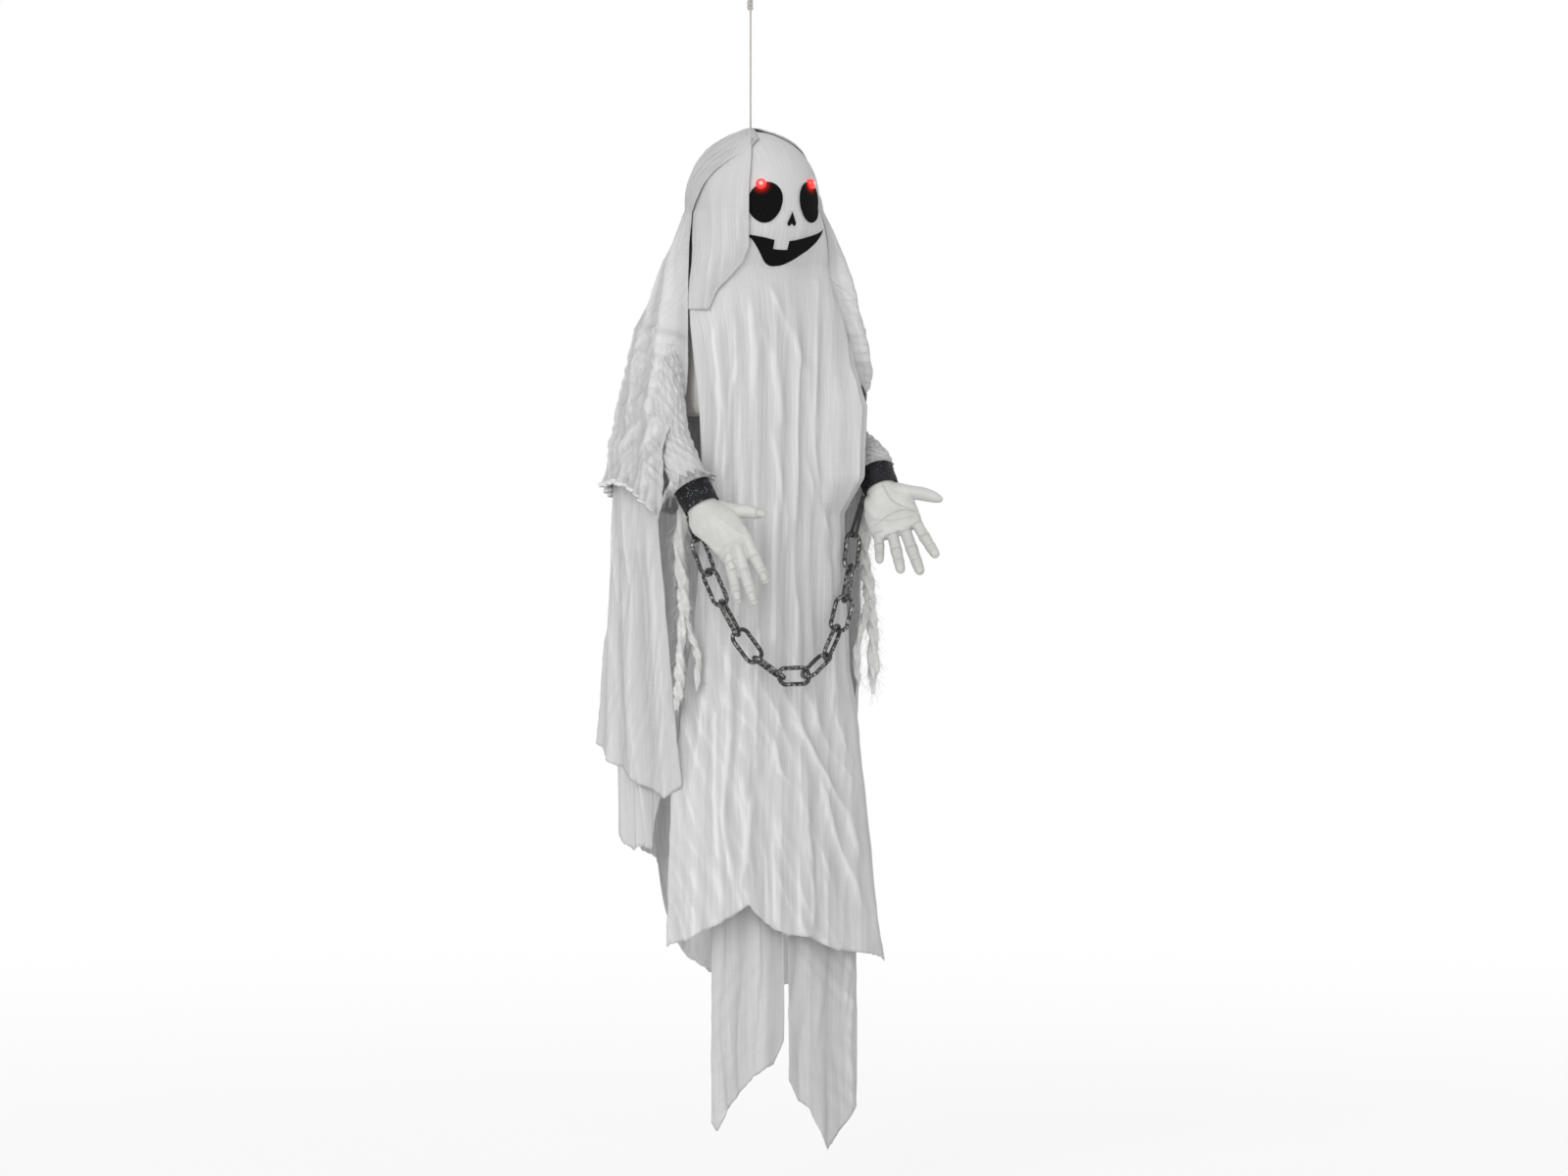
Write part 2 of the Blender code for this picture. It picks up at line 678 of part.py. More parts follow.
def dome_point(azimuth, radius, offset):
    """Point near the crown, on rings that open from the cord to the egg's own rings."""
    share = (radius - CROWN_RINGS[0]) / (CROWN_RINGS[-1] - CROWN_RINGS[0])
    stretch = 1 + (HEAD_HALF_DEPTH / HEAD_HALF_WIDTH - 1) * share
    x = radius * math.sin(azimuth)
    y = HEAD_CENTRE_Y * share - radius * stretch * math.cos(azimuth)
    side = x / (HEAD_HALF_WIDTH + offset)
    forward = (y - HEAD_CENTRE_Y) / (HEAD_HALF_DEPTH + offset)
    rise = (HEAD_TOP_HEIGHT + offset) * math.sqrt(1 - side ** 2 - forward ** 2)
    return Vector((x, y, level_z(HEAD_CENTRE_LEVEL) + rise))


def closed_form(name, point_at, columns, rows, finish=None):
    """Closed body from a function of azimuth and row, its first and last row a single point."""
    points = [point_at(0.0, 0)]
    for row in range(1, rows):
        for column in range(columns):
            points.append(point_at(math.tau * column / columns, row))
    points.append(point_at(0.0, rows))
    faces = []
    for column in range(columns):
        following = (column + 1) % columns
        faces.append((0, 1 + column, 1 + following))
        for row in range(rows - 2):
            start = 1 + row * columns
            faces.append((start + column, start + columns + column,
                          start + columns + following, start + following))
        start = 1 + (rows - 2) * columns
        faces.append((start + column, len(points) - 1, start + following))
    return mesh_object(name, points, faces, finish)


def gown_point(azimuth, level, offset):
    """Point at an offset from the front sheet's inner face; its left side swells lower down."""
    if level <= BODY_SECTIONS[0][0]:
        return head_point(azimuth, head_polar(level, offset), offset)
    middle, width, depth = interpolate(BODY_SECTIONS, level)[:3]
    out, forward = interpolate(SWELL, level)
    first, last = SWELL_ANGLES
    share = min(1.0, max(0.0, (azimuth - first) / (last - first)))
    share *= share * (3 - 2 * share)
    return place((width + offset) * math.sin(azimuth) + out * share,
                 middle - (depth + offset) * math.cos(azimuth) + forward * share, level)


def led_matrix(side):
    """Frame of one eye lamp, its Z square to the head and its origin on the outer face."""
    polar = head_polar(LED_LEVEL, 0.0)
    at = head_point(side * LED_ANGLE, polar, 0.0)
    sideways = head_point(side * LED_ANGLE + LED_TRIAL_TURN, polar, 0.0) - at
    downward = head_point(side * LED_ANGLE, polar + LED_TRIAL_TURN, 0.0) - at
    normal = downward.cross(sideways).normalized()
    if normal.y > 0:
        normal.negate()
    matrix = normal.to_track_quat("Z", "Y").to_matrix().to_4x4()
    matrix.translation = at
    return matrix


def led_bore(side, radius):
    """Cutter for one eye lamp."""
    bore = cylinder("led_bore", radius, HEAD_HALF_WIDTH, (0, 0, 0), (0, 0, 1), sides=20)
    bore.matrix_world = led_matrix(side)
    return bore


LED_BORES = {side: led_bore(side, LED_RADIUS + TOUCH_GAP) for side in (-1, 1)}


def make_head():
    """Front and back shell, split in front of the widest line and open at the neck."""
    rows = 14
    hollow = closed_form("head_hollow", lambda azimuth, row: head_point(
        azimuth, math.pi * row / rows, -HEAD_WALL), 24, rows)
    reach = HEAD_HALF_DEPTH * 3
    opening = box("neck_opening", (reach, reach, reach),
                  place(0, 0, HEAD_OPENING_LEVEL + reach / 2))
    bore = cylinder("cord_bore", CORD_DIAMETER / 2 + TOUCH_GAP, HEAD_TOP_HEIGHT,
                    place(0, 0, 0), (0, 0, 1), sides=16)
    for name, keep in (("head_shell_front", -1), ("head_shell_back", 1)):
        shell = closed_form(name, lambda azimuth, row: head_point(
            azimuth, math.pi * row / rows, 0.0), 24, rows, "white_plastic")
        boolean(shell, hollow)
        boolean(shell, opening)
        split = HEAD_CENTRE_Y - HEAD_SPLIT_FORWARD + keep * TOUCH_GAP / 2
        boolean(shell, box(name + "_split", (reach, reach, reach),
                           (0, split - keep * reach / 2, level_z(HEAD_CENTRE_LEVEL))))
        if keep > 0:
            boolean(shell, bore)
        else:
            boolean(shell, LED_BORES[-1])
            boolean(shell, LED_BORES[1])
        smooth(shell)


def make_leds():
    """Domed red lamps with a flange behind the shell."""
    for name, side in (("eye_led_right", -1), ("eye_led_left", 1)):
        flange_top = -HEAD_WALL - FACET_ALLOWANCE - TOUCH_GAP
        dome_start = flange_top + LED_STEM
        profile = [(0.0, dome_start + LED_PROUD)]
        profile += [(LED_RADIUS * math.sin(math.radians(turn)),
                     dome_start + LED_PROUD * math.cos(math.radians(turn)))
                    for turn in (22.5, 45.0, 67.5, 90.0)]
        profile += [(LED_RADIUS, flange_top), (LED_FLANGE_RADIUS, flange_top),
                    (LED_FLANGE_RADIUS, flange_top - LED_FLANGE_THICKNESS),
                    (0.0, flange_top - LED_FLANGE_THICKNESS)]
        lamp = turned(name, profile, "red_lens", sides=16)
        lamp.matrix_world = led_matrix(side)
        smooth(lamp)


def eye_outline(side):
    """Oval of one eye, wider above and leaning out below."""
    outline = []
    for step in range(20):
        turn = math.tau * step / 20
        up = math.cos(turn)
        width = EYE_HALF_WIDTH * (1 + EYE_TAPER_SHARE * up)
        outline.append((side * EYE_OFFSET + width * math.sin(turn) - side * EYE_LEAN_SHARE
                        * EYE_HALF_WIDTH * up, EYE_HALF_HEIGHT * up - EYE_LEVEL))
    return outline


def nose_outline():
    """Small spade: pointed above, two lobes below."""
    half = [(NOSE_HALF_WIDTH * x, -NOSE_TOP_LEVEL - NOSE_HEIGHT * down) for x, down in NOSE_SHARES]
    return half + [(-x, y) for x, y in reversed(half[1:-1])]


def mouth_outline():
    """Wide grin with one square tooth in its upper edge."""
    lower = []
    for step in range(17):
        turn = math.pi * step / 16
        lower.append((MOUTH_HALF_WIDTH * math.cos(turn),
                      -MOUTH_CORNER_LEVEL - MOUTH_DEPTH * math.sin(turn) ** MOUTH_FULLNESS_SHARE))
    lip = MOUTH_DEPTH * LIP_DROP_SHARE
    upper = []
    for share in LIP_LEFT_SHARES:
        upper.append((MOUTH_HALF_WIDTH * share,
                      -MOUTH_CORNER_LEVEL - lip * math.cos(share * math.pi / 2)))
    tooth_left = TOOTH_OFFSET - TOOTH_WIDTH / 2
    tooth_right = TOOTH_OFFSET + TOOTH_WIDTH / 2
    tooth_base = -MOUTH_CORNER_LEVEL - lip
    upper += [(tooth_left, tooth_base), (tooth_left, tooth_base - TOOTH_HEIGHT),
              (tooth_right, tooth_base - TOOTH_HEIGHT), (tooth_right, tooth_base)]
    for share in LIP_RIGHT_SHARES:
        upper.append((MOUTH_HALF_WIDTH * share,
                      -MOUTH_CORNER_LEVEL - lip * math.cos(share * math.pi / 2)))
    return lower + upper


def make_face():
    """Black felt patches that follow the cloth over the head's front."""
    inner_offset = CLOTH_STANDOFF + CLOTH_THICKNESS + SEAT_GAP
    form_level = FIGURE_DROP * PATCH_LEVEL_SHARE
    rows = 32
    forms = []
    for offset in (inner_offset, inner_offset + PATCH_THICKNESS):
        top = head_point(0.0, 0.0, offset)
        bottom = place(0, HEAD_CENTRE_Y, form_level + offset)

        def form_point(azimuth, row):
            if row == 0:
                return top
            if row == rows:
                return bottom
            return gown_point(azimuth, form_level * row / (rows - 1), offset)

        forms.append(closed_form("patch_form", form_point, 64, rows))
    inner_form, outer_form = forms
    for name, outline, lamp in (("eye_patch_right", eye_outline(-1), -1),
                                ("eye_patch_left", eye_outline(1), 1),
                                ("nose_patch", nose_outline(), None),
                                ("mouth_patch", mouth_outline(), None)):
        depth = HEAD_HALF_DEPTH * 2
        blank = plate(name, outline, depth, "black_felt")
        blank.rotation_euler = (math.pi / 2, 0, 0)
        blank.location = (0, -depth / 2 - HEAD_HALF_DEPTH * PATCH_START_SHARE, -CROWN_DEPTH)
        bpy.context.view_layer.update()
        patch = as_mesh(blank, "black_felt")
        boolean(patch, outer_form, "INTERSECT")
        boolean(patch, inner_form)
        if lamp:
            boolean(patch, LED_BORES[lamp])


# Cord, knots and neck


def make_cord():
    """Loop and knot above, one straight run, a stopper knot on a washer inside the head."""
    wire = CORD_DIAMETER / 2
    loop = []
    for step in range(24):
        turn = math.tau * step / 24
        taper = (1 + math.cos(turn)) / 2
        width = LOOP_WIDTH / 2 * math.sin(turn) * (LOOP_THROAT_SHARE
                                                   + (1 - LOOP_THROAT_SHARE) * taper)
        loop.append(Vector((width, 0.0, wire - (LOOP_LENGTH + wire) * (1 - taper))))
    ring = as_mesh(tube("hang_loop", loop, wire, "cord", cyclic=True), "cord")
    knot = turned("upper_knot", knot_profile(), sides=12)
    knot.location = (0, 0, -LOOP_LENGTH - KNOT_LENGTH / 2)
    boolean(ring, knot, "UNION")

    top = -LOOP_LENGTH - KNOT_LENGTH - TOUCH_GAP
    washer_top = level_z(head_top_level()) - HEAD_WALL - STOPPER_WASHER_DROP
    bottom = washer_top - STOPPER_WASHER_THICKNESS - TOUCH_GAP
    count = 24
    run = [Vector((0, 0, top + (bottom - top) * step / count)) for step in range(count + 1)]
    tube("hang_cord", run, wire, "cord")

    stopper = turned("stopper_knot", knot_profile(), "cord", sides=12)
    stopper.location = (0, 0, bottom - TOUCH_GAP - KNOT_LENGTH / 2)

    washer = turned("stopper_washer", [
        (wire + TOUCH_GAP, 0.0), (STOPPER_WASHER_RADIUS, 0.0),
        (STOPPER_WASHER_RADIUS, -STOPPER_WASHER_THICKNESS),
        (wire + TOUCH_GAP, -STOPPER_WASHER_THICKNESS), (wire + TOUCH_GAP, 0.0)], "steel")
    washer.location = (0, 0, washer_top)


def head_top_level():
    """Level of the shell's outer face on the cord's line."""
    forward = -HEAD_CENTRE_Y / HEAD_HALF_DEPTH
    return HEAD_CENTRE_LEVEL - HEAD_TOP_HEIGHT * math.sqrt(1 - forward * forward)


def knot_profile():
    """Two bulges with a shallow waist, top to bottom."""
    half = KNOT_LENGTH / 2
    return [(KNOT_DIAMETER / 2 * radius, half * height) for radius, height in KNOT_SHARES]


def make_neck():
    """Oval plate that carries the head, a tube, and a flange held in the housing."""
    top_z = level_z(NECK_PLATE_LEVEL)
    flange_top = level_z(HOUSING_TOP_LEVEL) - HOUSING_WALL - TOUCH_GAP
    flange_bottom = flange_top - NECK_FLANGE_THICKNESS
    length = top_z - flange_bottom
    start = -NECK_PLATE_THICKNESS / 2
    body = turned("neck_tube", [
        (0.0, start), (NECK_RADIUS, start), (NECK_RADIUS, flange_top - top_z),
        (NECK_FLANGE_RADIUS, flange_top - top_z), (NECK_FLANGE_RADIUS, -length),
        (0.0, -length)], "white_plastic")
    body.location = (0, HEAD_CENTRE_Y, top_z)
    reach = (NECK_PLATE_LEVEL + NECK_PLATE_THICKNESS - HEAD_CENTRE_LEVEL)
    narrowing = math.sqrt(1 - (reach / (HEAD_CHIN_HEIGHT - HEAD_WALL)) ** 2)
    rim = bmesh.new()
    bmesh.ops.create_cone(rim, cap_ends=True, segments=24, radius1=1.0, radius2=1.0,
                          depth=NECK_PLATE_THICKNESS)
    bmesh.ops.scale(rim, verts=rim.verts, vec=(
        (HEAD_HALF_WIDTH - HEAD_WALL) * narrowing - CLOTH_STANDOFF,
        (HEAD_HALF_DEPTH - HEAD_WALL) * narrowing - CLOTH_STANDOFF, 1.0))
    disc = bmesh_object("neck_plate", rim)
    disc.location = (0, HEAD_CENTRE_Y, top_z - NECK_PLATE_THICKNESS / 2)
    boolean(body, disc, "UNION")
    boolean(body, cylinder("neck_bore", NECK_RADIUS - NECK_WALL, length * 2,
                           (0, HEAD_CENTRE_Y, top_z), (0, 0, 1)))
    smooth(body)


# Chest housing


def housing_blank(name, keep):
    """One half of a rounded box, open at the split and hollow."""
    work = bmesh.new()
    bmesh.ops.create_cube(work, size=1.0)
    bmesh.ops.scale(work, vec=(HOUSING_WIDTH, HOUSING_DEPTH, HOUSING_HEIGHT), verts=work.verts)
    bmesh.ops.bevel(work, geom=work.edges[:], offset=HOUSING_CORNER, segments=3, profile=0.5,
                    affect="EDGES")
    bmesh.ops.bisect_plane(work, geom=work.verts[:] + work.edges[:] + work.faces[:],
                           dist=TOUCH_GAP / 10, plane_co=(0, keep * TOUCH_GAP / 2, 0),
                           plane_no=(0, -keep, 0), clear_outer=True)
    shell = bmesh_object(name, work, "grey_plastic")
    shell.location = (0, 0, level_z(HOUSING_TOP_LEVEL) - HOUSING_HEIGHT / 2)
    solidify(shell, HOUSING_WALL, -1.0)
    smooth(shell)
    return shell


def make_housing():
    """Front shell with speaker slots, back shell with the battery bay and the switch slot."""
    front = housing_blank("housing_front", -1)
    back = housing_blank("housing_back", 1)
    shaft_bore = cylinder("shaft_bore", SHAFT_RADIUS + TOUCH_GAP, HOUSING_WIDTH + OVERRUN,
                          place(0, 0, SHAFT_LEVEL), (1, 0, 0))
    neck_bore = cylinder("neck_hole", NECK_RADIUS + TOUCH_GAP, HOUSING_CORNER * 2,
                         place(0, HEAD_CENTRE_Y, HOUSING_TOP_LEVEL), (0, 0, 1))
    for shell in (front, back):
        boolean(shell, shaft_bore)
        boolean(shell, neck_bore)
    pitch = SPEAKER_RADIUS * 2 / (SPEAKER_SLOTS + 1)
    for index in range(SPEAKER_SLOTS):
        drop = (index - (SPEAKER_SLOTS - 1) / 2) * pitch
        width = 2 * math.sqrt(SPEAKER_RADIUS ** 2 - drop ** 2) - SPEAKER_SLOT_HEIGHT * 2
        boolean(front, box("speaker_slot_%d" % index, (width, HOUSING_DEPTH / 2,
                                                       SPEAKER_SLOT_HEIGHT),
                           place(SPEAKER_OFFSET, -HOUSING_DEPTH / 2, SPEAKER_LEVEL + drop)))
    slot_size = (SWITCH_KNOB_WIDTH + TOUCH_GAP * 2, HOUSING_DEPTH * SWITCH_SLOT_SHARE,
                 SWITCH_KNOB_HEIGHT + SWITCH_TRAVEL + TOUCH_GAP * 2)
    boolean(back, box("switch_slot", slot_size,
                      place(SWITCH_OFFSET, HOUSING_DEPTH / 2, SWITCH_LEVEL)))
    bay_width = DOOR_WIDTH - SEAM_OVERLAP * BAY_INSET_SHARE
    bay_height = DOOR_HEIGHT - SEAM_OVERLAP * BAY_INSET_SHARE
    bay_centre = place(DOOR_OFFSET, HOUSING_DEPTH / 2 - HOUSING_WALL - BAY_DEPTH / 2,
                       DOOR_LEVEL)
    outer = box("bay_outer", (bay_width + BAY_WALL * 2, BAY_DEPTH + BAY_WALL + HOUSING_WALL / 2,
                              bay_height + BAY_WALL * 2),
                bay_centre + Vector((0, HOUSING_WALL / 4 - BAY_WALL / 2, 0)))
    boolean(back, outer, "UNION")
    boolean(back, box("bay_inner", (bay_width, BAY_DEPTH + HOUSING_WALL * 4, bay_height),
                      bay_centre + Vector((0, HOUSING_WALL * 2, 0))))
    boolean(back, box("door_recess", (DOOR_WIDTH + TOUCH_GAP * 2, DOOR_THICKNESS * 2,
                                      DOOR_HEIGHT + TOUCH_GAP * 2),
                      place(DOOR_OFFSET, HOUSING_DEPTH / 2 - TOUCH_GAP, DOOR_LEVEL)))


def make_battery_bay():
    """Three cells side by side, behind a door that swings on its lower edge."""
    face_y = HOUSING_DEPTH / 2
    floor_y = face_y - HOUSING_WALL - BAY_DEPTH
    cell_y = floor_y + CELL_DIAMETER / 2 + TOUCH_GAP
    pitch = CELL_DIAMETER - TOUCH_GAP
    pack = None
    for index in range(CELL_COUNT):
        drop = (index - (CELL_COUNT - 1) / 2) * pitch
        centre = place(DOOR_OFFSET, cell_y, DOOR_LEVEL + drop)
        if pack is None:
            pack = cylinder("battery_cells", CELL_DIAMETER / 2, CELL_LENGTH, centre, (1, 0, 0),
                            "cell_jacket", sides=16)
        else:
            boolean(pack, cylinder("cell_%d" % index, CELL_DIAMETER / 2, CELL_LENGTH, centre,
                                   (1, 0, 0), sides=16), "UNION")
    smooth(pack)

    door = box("battery_door", (DOOR_WIDTH, DOOR_THICKNESS, DOOR_HEIGHT),
               (0, 0, 0), "grey_plastic")
    hinge = place(DOOR_OFFSET, face_y, DOOR_LEVEL + DOOR_HEIGHT / 2)
    door.location = hinge
    for vertex in door.data.vertices:
        vertex.co += Vector((0, -DOOR_THICKNESS / 2, DOOR_HEIGHT / 2))
    tab = box("door_thumb_ridge", (DOOR_WIDTH / 4, DOOR_THICKNESS, DOOR_THICKNESS),
              hinge + Vector((0, 0, DOOR_HEIGHT * DOOR_RIDGE_SHARE)))
    boolean(door, tab, "UNION")
    edge = door.modifiers.new("edges", "BEVEL")
    edge.width = DOOR_THICKNESS * DOOR_BEVEL_SHARE
    edge.segments = 1


def gear_outline(teeth, first, last):
    """Outline of the teeth from first to last: flanks narrow towards the tip."""
    pitch_radius = GEAR_MODULE * teeth / 2
    root = pitch_radius - GEAR_MODULE * GEAR_DEDENDUM_SHARE
    tip = pitch_radius + GEAR_MODULE
    step = math.tau / teeth
    radii = (root, pitch_radius, tip)
    flank = list(zip(GEAR_FLANK_SHARES, radii))
    shares = [(-share, radius) for share, radius in flank] + flank[::-1]
    outline = []
    for tooth in range(first, last + 1):
        for share, radius in shares:
            backlash = GEAR_BACKLASH / pitch_radius / 2
            turn = (tooth + share) * step - math.copysign(backlash, share)
            outline.append((radius * math.cos(turn), radius * math.sin(turn)))
    return outline


def make_drive():
    """Geared motor, its pinion, the sector gear and the shaft across the shoulders."""
    shaft = cylinder("shoulder_shaft", SHAFT_RADIUS, SHAFT_HALF_LENGTH * 2,
                     place(0, 0, SHAFT_LEVEL), (1, 0, 0), "steel", sides=20)
    smooth(shaft)
    half = (SECTOR_TEETH - 1) // 2
    outline = gear_outline(GEAR_TEETH, -half, half)
    hub = [(GEAR_HUB_RADIUS * math.cos(turn), GEAR_HUB_RADIUS * math.sin(turn))
           for turn in [math.radians(90 + 20 * step) for step in range(10)]]
    sector = plate("shoulder_gear", outline + hub, GEAR_WIDTH, "white_plastic")
    aim = frame_of((0, 0, -1), (0, 1, 0), place(GEAR_OFFSET, 0, SHAFT_LEVEL))
    sector.matrix_world = aim
    bpy.context.view_layer.update()
    sector = as_mesh(sector, "white_plastic")
    boolean(sector, cylinder("gear_bore", SHAFT_RADIUS + TOUCH_GAP, GEAR_WIDTH * 2,
                             place(GEAR_OFFSET, 0, SHAFT_LEVEL), (1, 0, 0), sides=20))

    distance = GEAR_MODULE * (GEAR_TEETH + PINION_TEETH) / 2
    pinion_centre = place(GEAR_OFFSET, 0, SHAFT_LEVEL + distance)
    outline = gear_outline(PINION_TEETH, 0, PINION_TEETH - 1)
    pinion = plate("motor_pinion", outline, GEAR_WIDTH, "brass")
    turned_half_pitch = math.pi + math.pi / PINION_TEETH
    pinion.matrix_world = (frame_of((0, 0, -1), (0, 1, 0), pinion_centre)
                           @ Matrix.Rotation(turned_half_pitch, 4, "Z"))
    bpy.context.view_layer.update()
    pinion = as_mesh(pinion, "brass")
    boolean(pinion, cylinder("pinion_bore", MOTOR_SHAFT_RADIUS + TOUCH_GAP, GEAR_WIDTH * 2,
                             pinion_centre, (1, 0, 0), sides=16))

    motor_face = GEAR_OFFSET - GEAR_WIDTH / 2 - SEAT_GAP
    motor = cylinder("gear_motor", MOTOR_RADIUS, MOTOR_LENGTH,
                     pinion_centre + Vector((motor_face - GEAR_OFFSET - MOTOR_LENGTH / 2, 0, 0)),
                     (1, 0, 0), "steel")
    pin = cylinder("motor_pin", MOTOR_SHAFT_RADIUS, GEAR_WIDTH * 2,
                   pinion_centre, (1, 0, 0), sides=16)
    boolean(motor, pin, "UNION")
    boss_height = HOUSING_HEIGHT + HOUSING_TOP_LEVEL - HOUSING_WALL \
        - (SHAFT_LEVEL + distance) - TOUCH_GAP
    foot = box("motor_foot", (MOTOR_LENGTH / 2, MOTOR_RADIUS, boss_height),
               pinion_centre + Vector((motor_face - GEAR_OFFSET - MOTOR_LENGTH / 2, 0,
                                       -boss_height / 2)))
    boolean(motor, foot, "UNION")
    smooth(motor)


def make_electronics():
    """Speaker behind its slots, circuit board on a post, and the slide switch."""
    cone_face = -HOUSING_DEPTH / 2 + HOUSING_WALL + TOUCH_GAP
    magnet, cone = SPEAKER_CONE_SHARES
    speaker = turned("speaker", [
        (0.0, 0.0), (SPEAKER_RADIUS, 0.0), (SPEAKER_RADIUS, -SPEAKER_DEPTH * SPEAKER_RIM_SHARE),
        (SPEAKER_RADIUS * magnet, -SPEAKER_DEPTH * cone),
        (SPEAKER_RADIUS * magnet, -SPEAKER_DEPTH),
        (0.0, -SPEAKER_DEPTH)], "steel")
    speaker.rotation_euler = (math.pi / 2, 0, 0)
    speaker.location = place(SPEAKER_OFFSET, cone_face, SPEAKER_LEVEL)
    smooth(speaker)

    board_y = cone_face + BOARD_THICKNESS / 2
    board = box("circuit_board", (BOARD_WIDTH, BOARD_THICKNESS, BOARD_HEIGHT),
                place(BOARD_OFFSET, board_y, BOARD_LEVEL), "circuit_green")
    for index, share in enumerate(CHIP_SHARES):
        chip = box("board_chip_%d" % index, (BOARD_WIDTH / 6, BOARD_THICKNESS * 3,
                                             BOARD_WIDTH / 6),
                   place(BOARD_OFFSET + BOARD_WIDTH * share, board_y + BOARD_THICKNESS,
                         BOARD_LEVEL))
        boolean(board, chip, "UNION")

    outer = HOUSING_DEPTH / 2
    knob_start = outer - HOUSING_WALL - TOUCH_GAP - SWITCH_PLATE_THICKNESS / 2
    knob_end = outer + SWITCH_KNOB_PROUD
    knob = box("power_switch", (SWITCH_KNOB_WIDTH, knob_end - knob_start, SWITCH_KNOB_HEIGHT),
               place(SWITCH_OFFSET, (knob_start + knob_end) / 2,
                     SWITCH_LEVEL + SWITCH_TRAVEL / 2), "black_felt")
    guide = box("switch_guide", (SWITCH_PLATE_WIDTH, SWITCH_PLATE_THICKNESS,
                                 SWITCH_PLATE_HEIGHT),
                place(SWITCH_OFFSET, outer - HOUSING_WALL - TOUCH_GAP
                      - SWITCH_PLATE_THICKNESS / 2, SWITCH_LEVEL + SWITCH_TRAVEL / 2))
    boolean(knob, guide, "UNION")


def make_screws():
    """Four pan heads on the back of the housing."""
    back = HOUSING_DEPTH / 2 + TOUCH_GAP
    half_width = HOUSING_WIDTH / 2 - SCREW_INSET * 2
    top = HOUSING_TOP_LEVEL + SCREW_INSET * SCREW_LEVEL_SHARE
    bottom = HOUSING_TOP_LEVEL + HOUSING_HEIGHT - SCREW_INSET * SCREW_LEVEL_SHARE
    flat, rim = SCREW_DOME_SHARES
    corners = [(x, level) for x in (-half_width, half_width) for level in (top, bottom)]
    for index, (x, level) in enumerate(corners):
        screw = turned("case_screw_%d" % (index + 1), [
            (0.0, SCREW_HEAD_HEIGHT), (SCREW_HEAD_RADIUS * flat, SCREW_HEAD_HEIGHT),
            (SCREW_HEAD_RADIUS, SCREW_HEAD_HEIGHT * rim), (SCREW_HEAD_RADIUS, 0.0),
            (0.0, 0.0)], "steel", sides=12)
        screw.rotation_euler = (-math.pi / 2, 0, 0)
        screw.location = place(x, back, level)
        smooth(screw)


# Arms, cuffs and hands


def arm_frame(side):
    """Shoulder, elbow, wrist, hand direction and thumb direction of one side."""
    if side < 0:
        return (place(-ARM_X, 0, SHAFT_LEVEL), place_shares(*RIGHT_ELBOW_SHARES),
                place_shares(*RIGHT_WRIST_SHARES), Vector(RIGHT_HAND_SHARES).normalized(),
                Vector(RIGHT_THUMB_SHARES))
    return (place(ARM_X, 0, SHAFT_LEVEL), place_shares(*LEFT_ELBOW_SHARES),
            place_shares(*LEFT_WRIST_SHARES), Vector(LEFT_HAND_SHARES).normalized(),
            Vector(LEFT_THUMB_SHARES))


def arm_path(side):
    """Points from the hub to the wrist end of the hand."""
    shoulder, elbow, wrist, along, _ = arm_frame(side)
    end = wrist - along * (WRIST_SETBACK + TOUCH_GAP)
    lead = wrist - along * CUFF_LENGTH
    down = shoulder - Vector((0, 0, HUB_RADIUS / 2))
    return smooth_path([down, elbow, lead], 10) + [end - along * ARM_RADIUS, end]


def make_arm(name, side):
    """Bent tube on a hub that is clamped to the shaft."""
    shoulder = arm_frame(side)[0]
    arm = as_mesh(tube(name, arm_path(side), ARM_RADIUS, "grey_plastic",
                       resolution=3), "grey_plastic")
    hub = cylinder(name + "_hub", HUB_RADIUS, HUB_LENGTH, shoulder, (1, 0, 0), sides=20)
    bore = cylinder(name + "_bore", SHAFT_RADIUS + TOUCH_GAP, HUB_LENGTH * 2, shoulder,
                    (1, 0, 0), sides=20)
    boolean(arm, hub, "UNION")
    boolean(arm, bore)
    smooth(arm)


def make_cuff(name, side):
    """Short stiff band round the wrist."""
    _, _, wrist, along, across = arm_frame(side)
    inner = CUFF_RADIUS - CUFF_WALL
    half = CUFF_LENGTH / 2
    cuff = turned(name, [
        (inner, half), (CUFF_RADIUS, half), (CUFF_RADIUS + CUFF_FLARE / 2, 0.0),
        (CUFF_RADIUS, -half), (inner, -half), (inner, half)], "cuff_cloth", sides=28)
    matrix = frame_of(across, along, wrist)
    cuff.matrix_world = matrix @ Matrix.Rotation(-math.pi / 2, 4, "X")
    smooth(cuff)


def palm(name, flip):
    """Loft of oval sections from the round wrist to the knuckles."""
    sides = 16
    points = []
    for along, width, thickness, lift in PALM_SHARES:
        for step in range(sides):
            turn = math.tau * step / sides
            points.append(Vector((PALM_HALF_WIDTH * width * math.cos(turn),
                                  PALM_LENGTH * along,
                                  flip * PALM_HALF_THICKNESS * (lift + thickness
                                                                * math.sin(turn)))))
    faces = [tuple(range(sides))]
    for row in range(len(PALM_SHARES) - 1):
        for step in range(sides):
            following = (step + 1) % sides
            faces.append((row * sides + step, row * sides + following,
                          (row + 1) * sides + following, (row + 1) * sides + step))
    last = (len(PALM_SHARES) - 1) * sides
    faces.append(tuple(range(last + sides - 1, last - 1, -1)))
    return mesh_object(name, points, faces, "hand_vinyl")


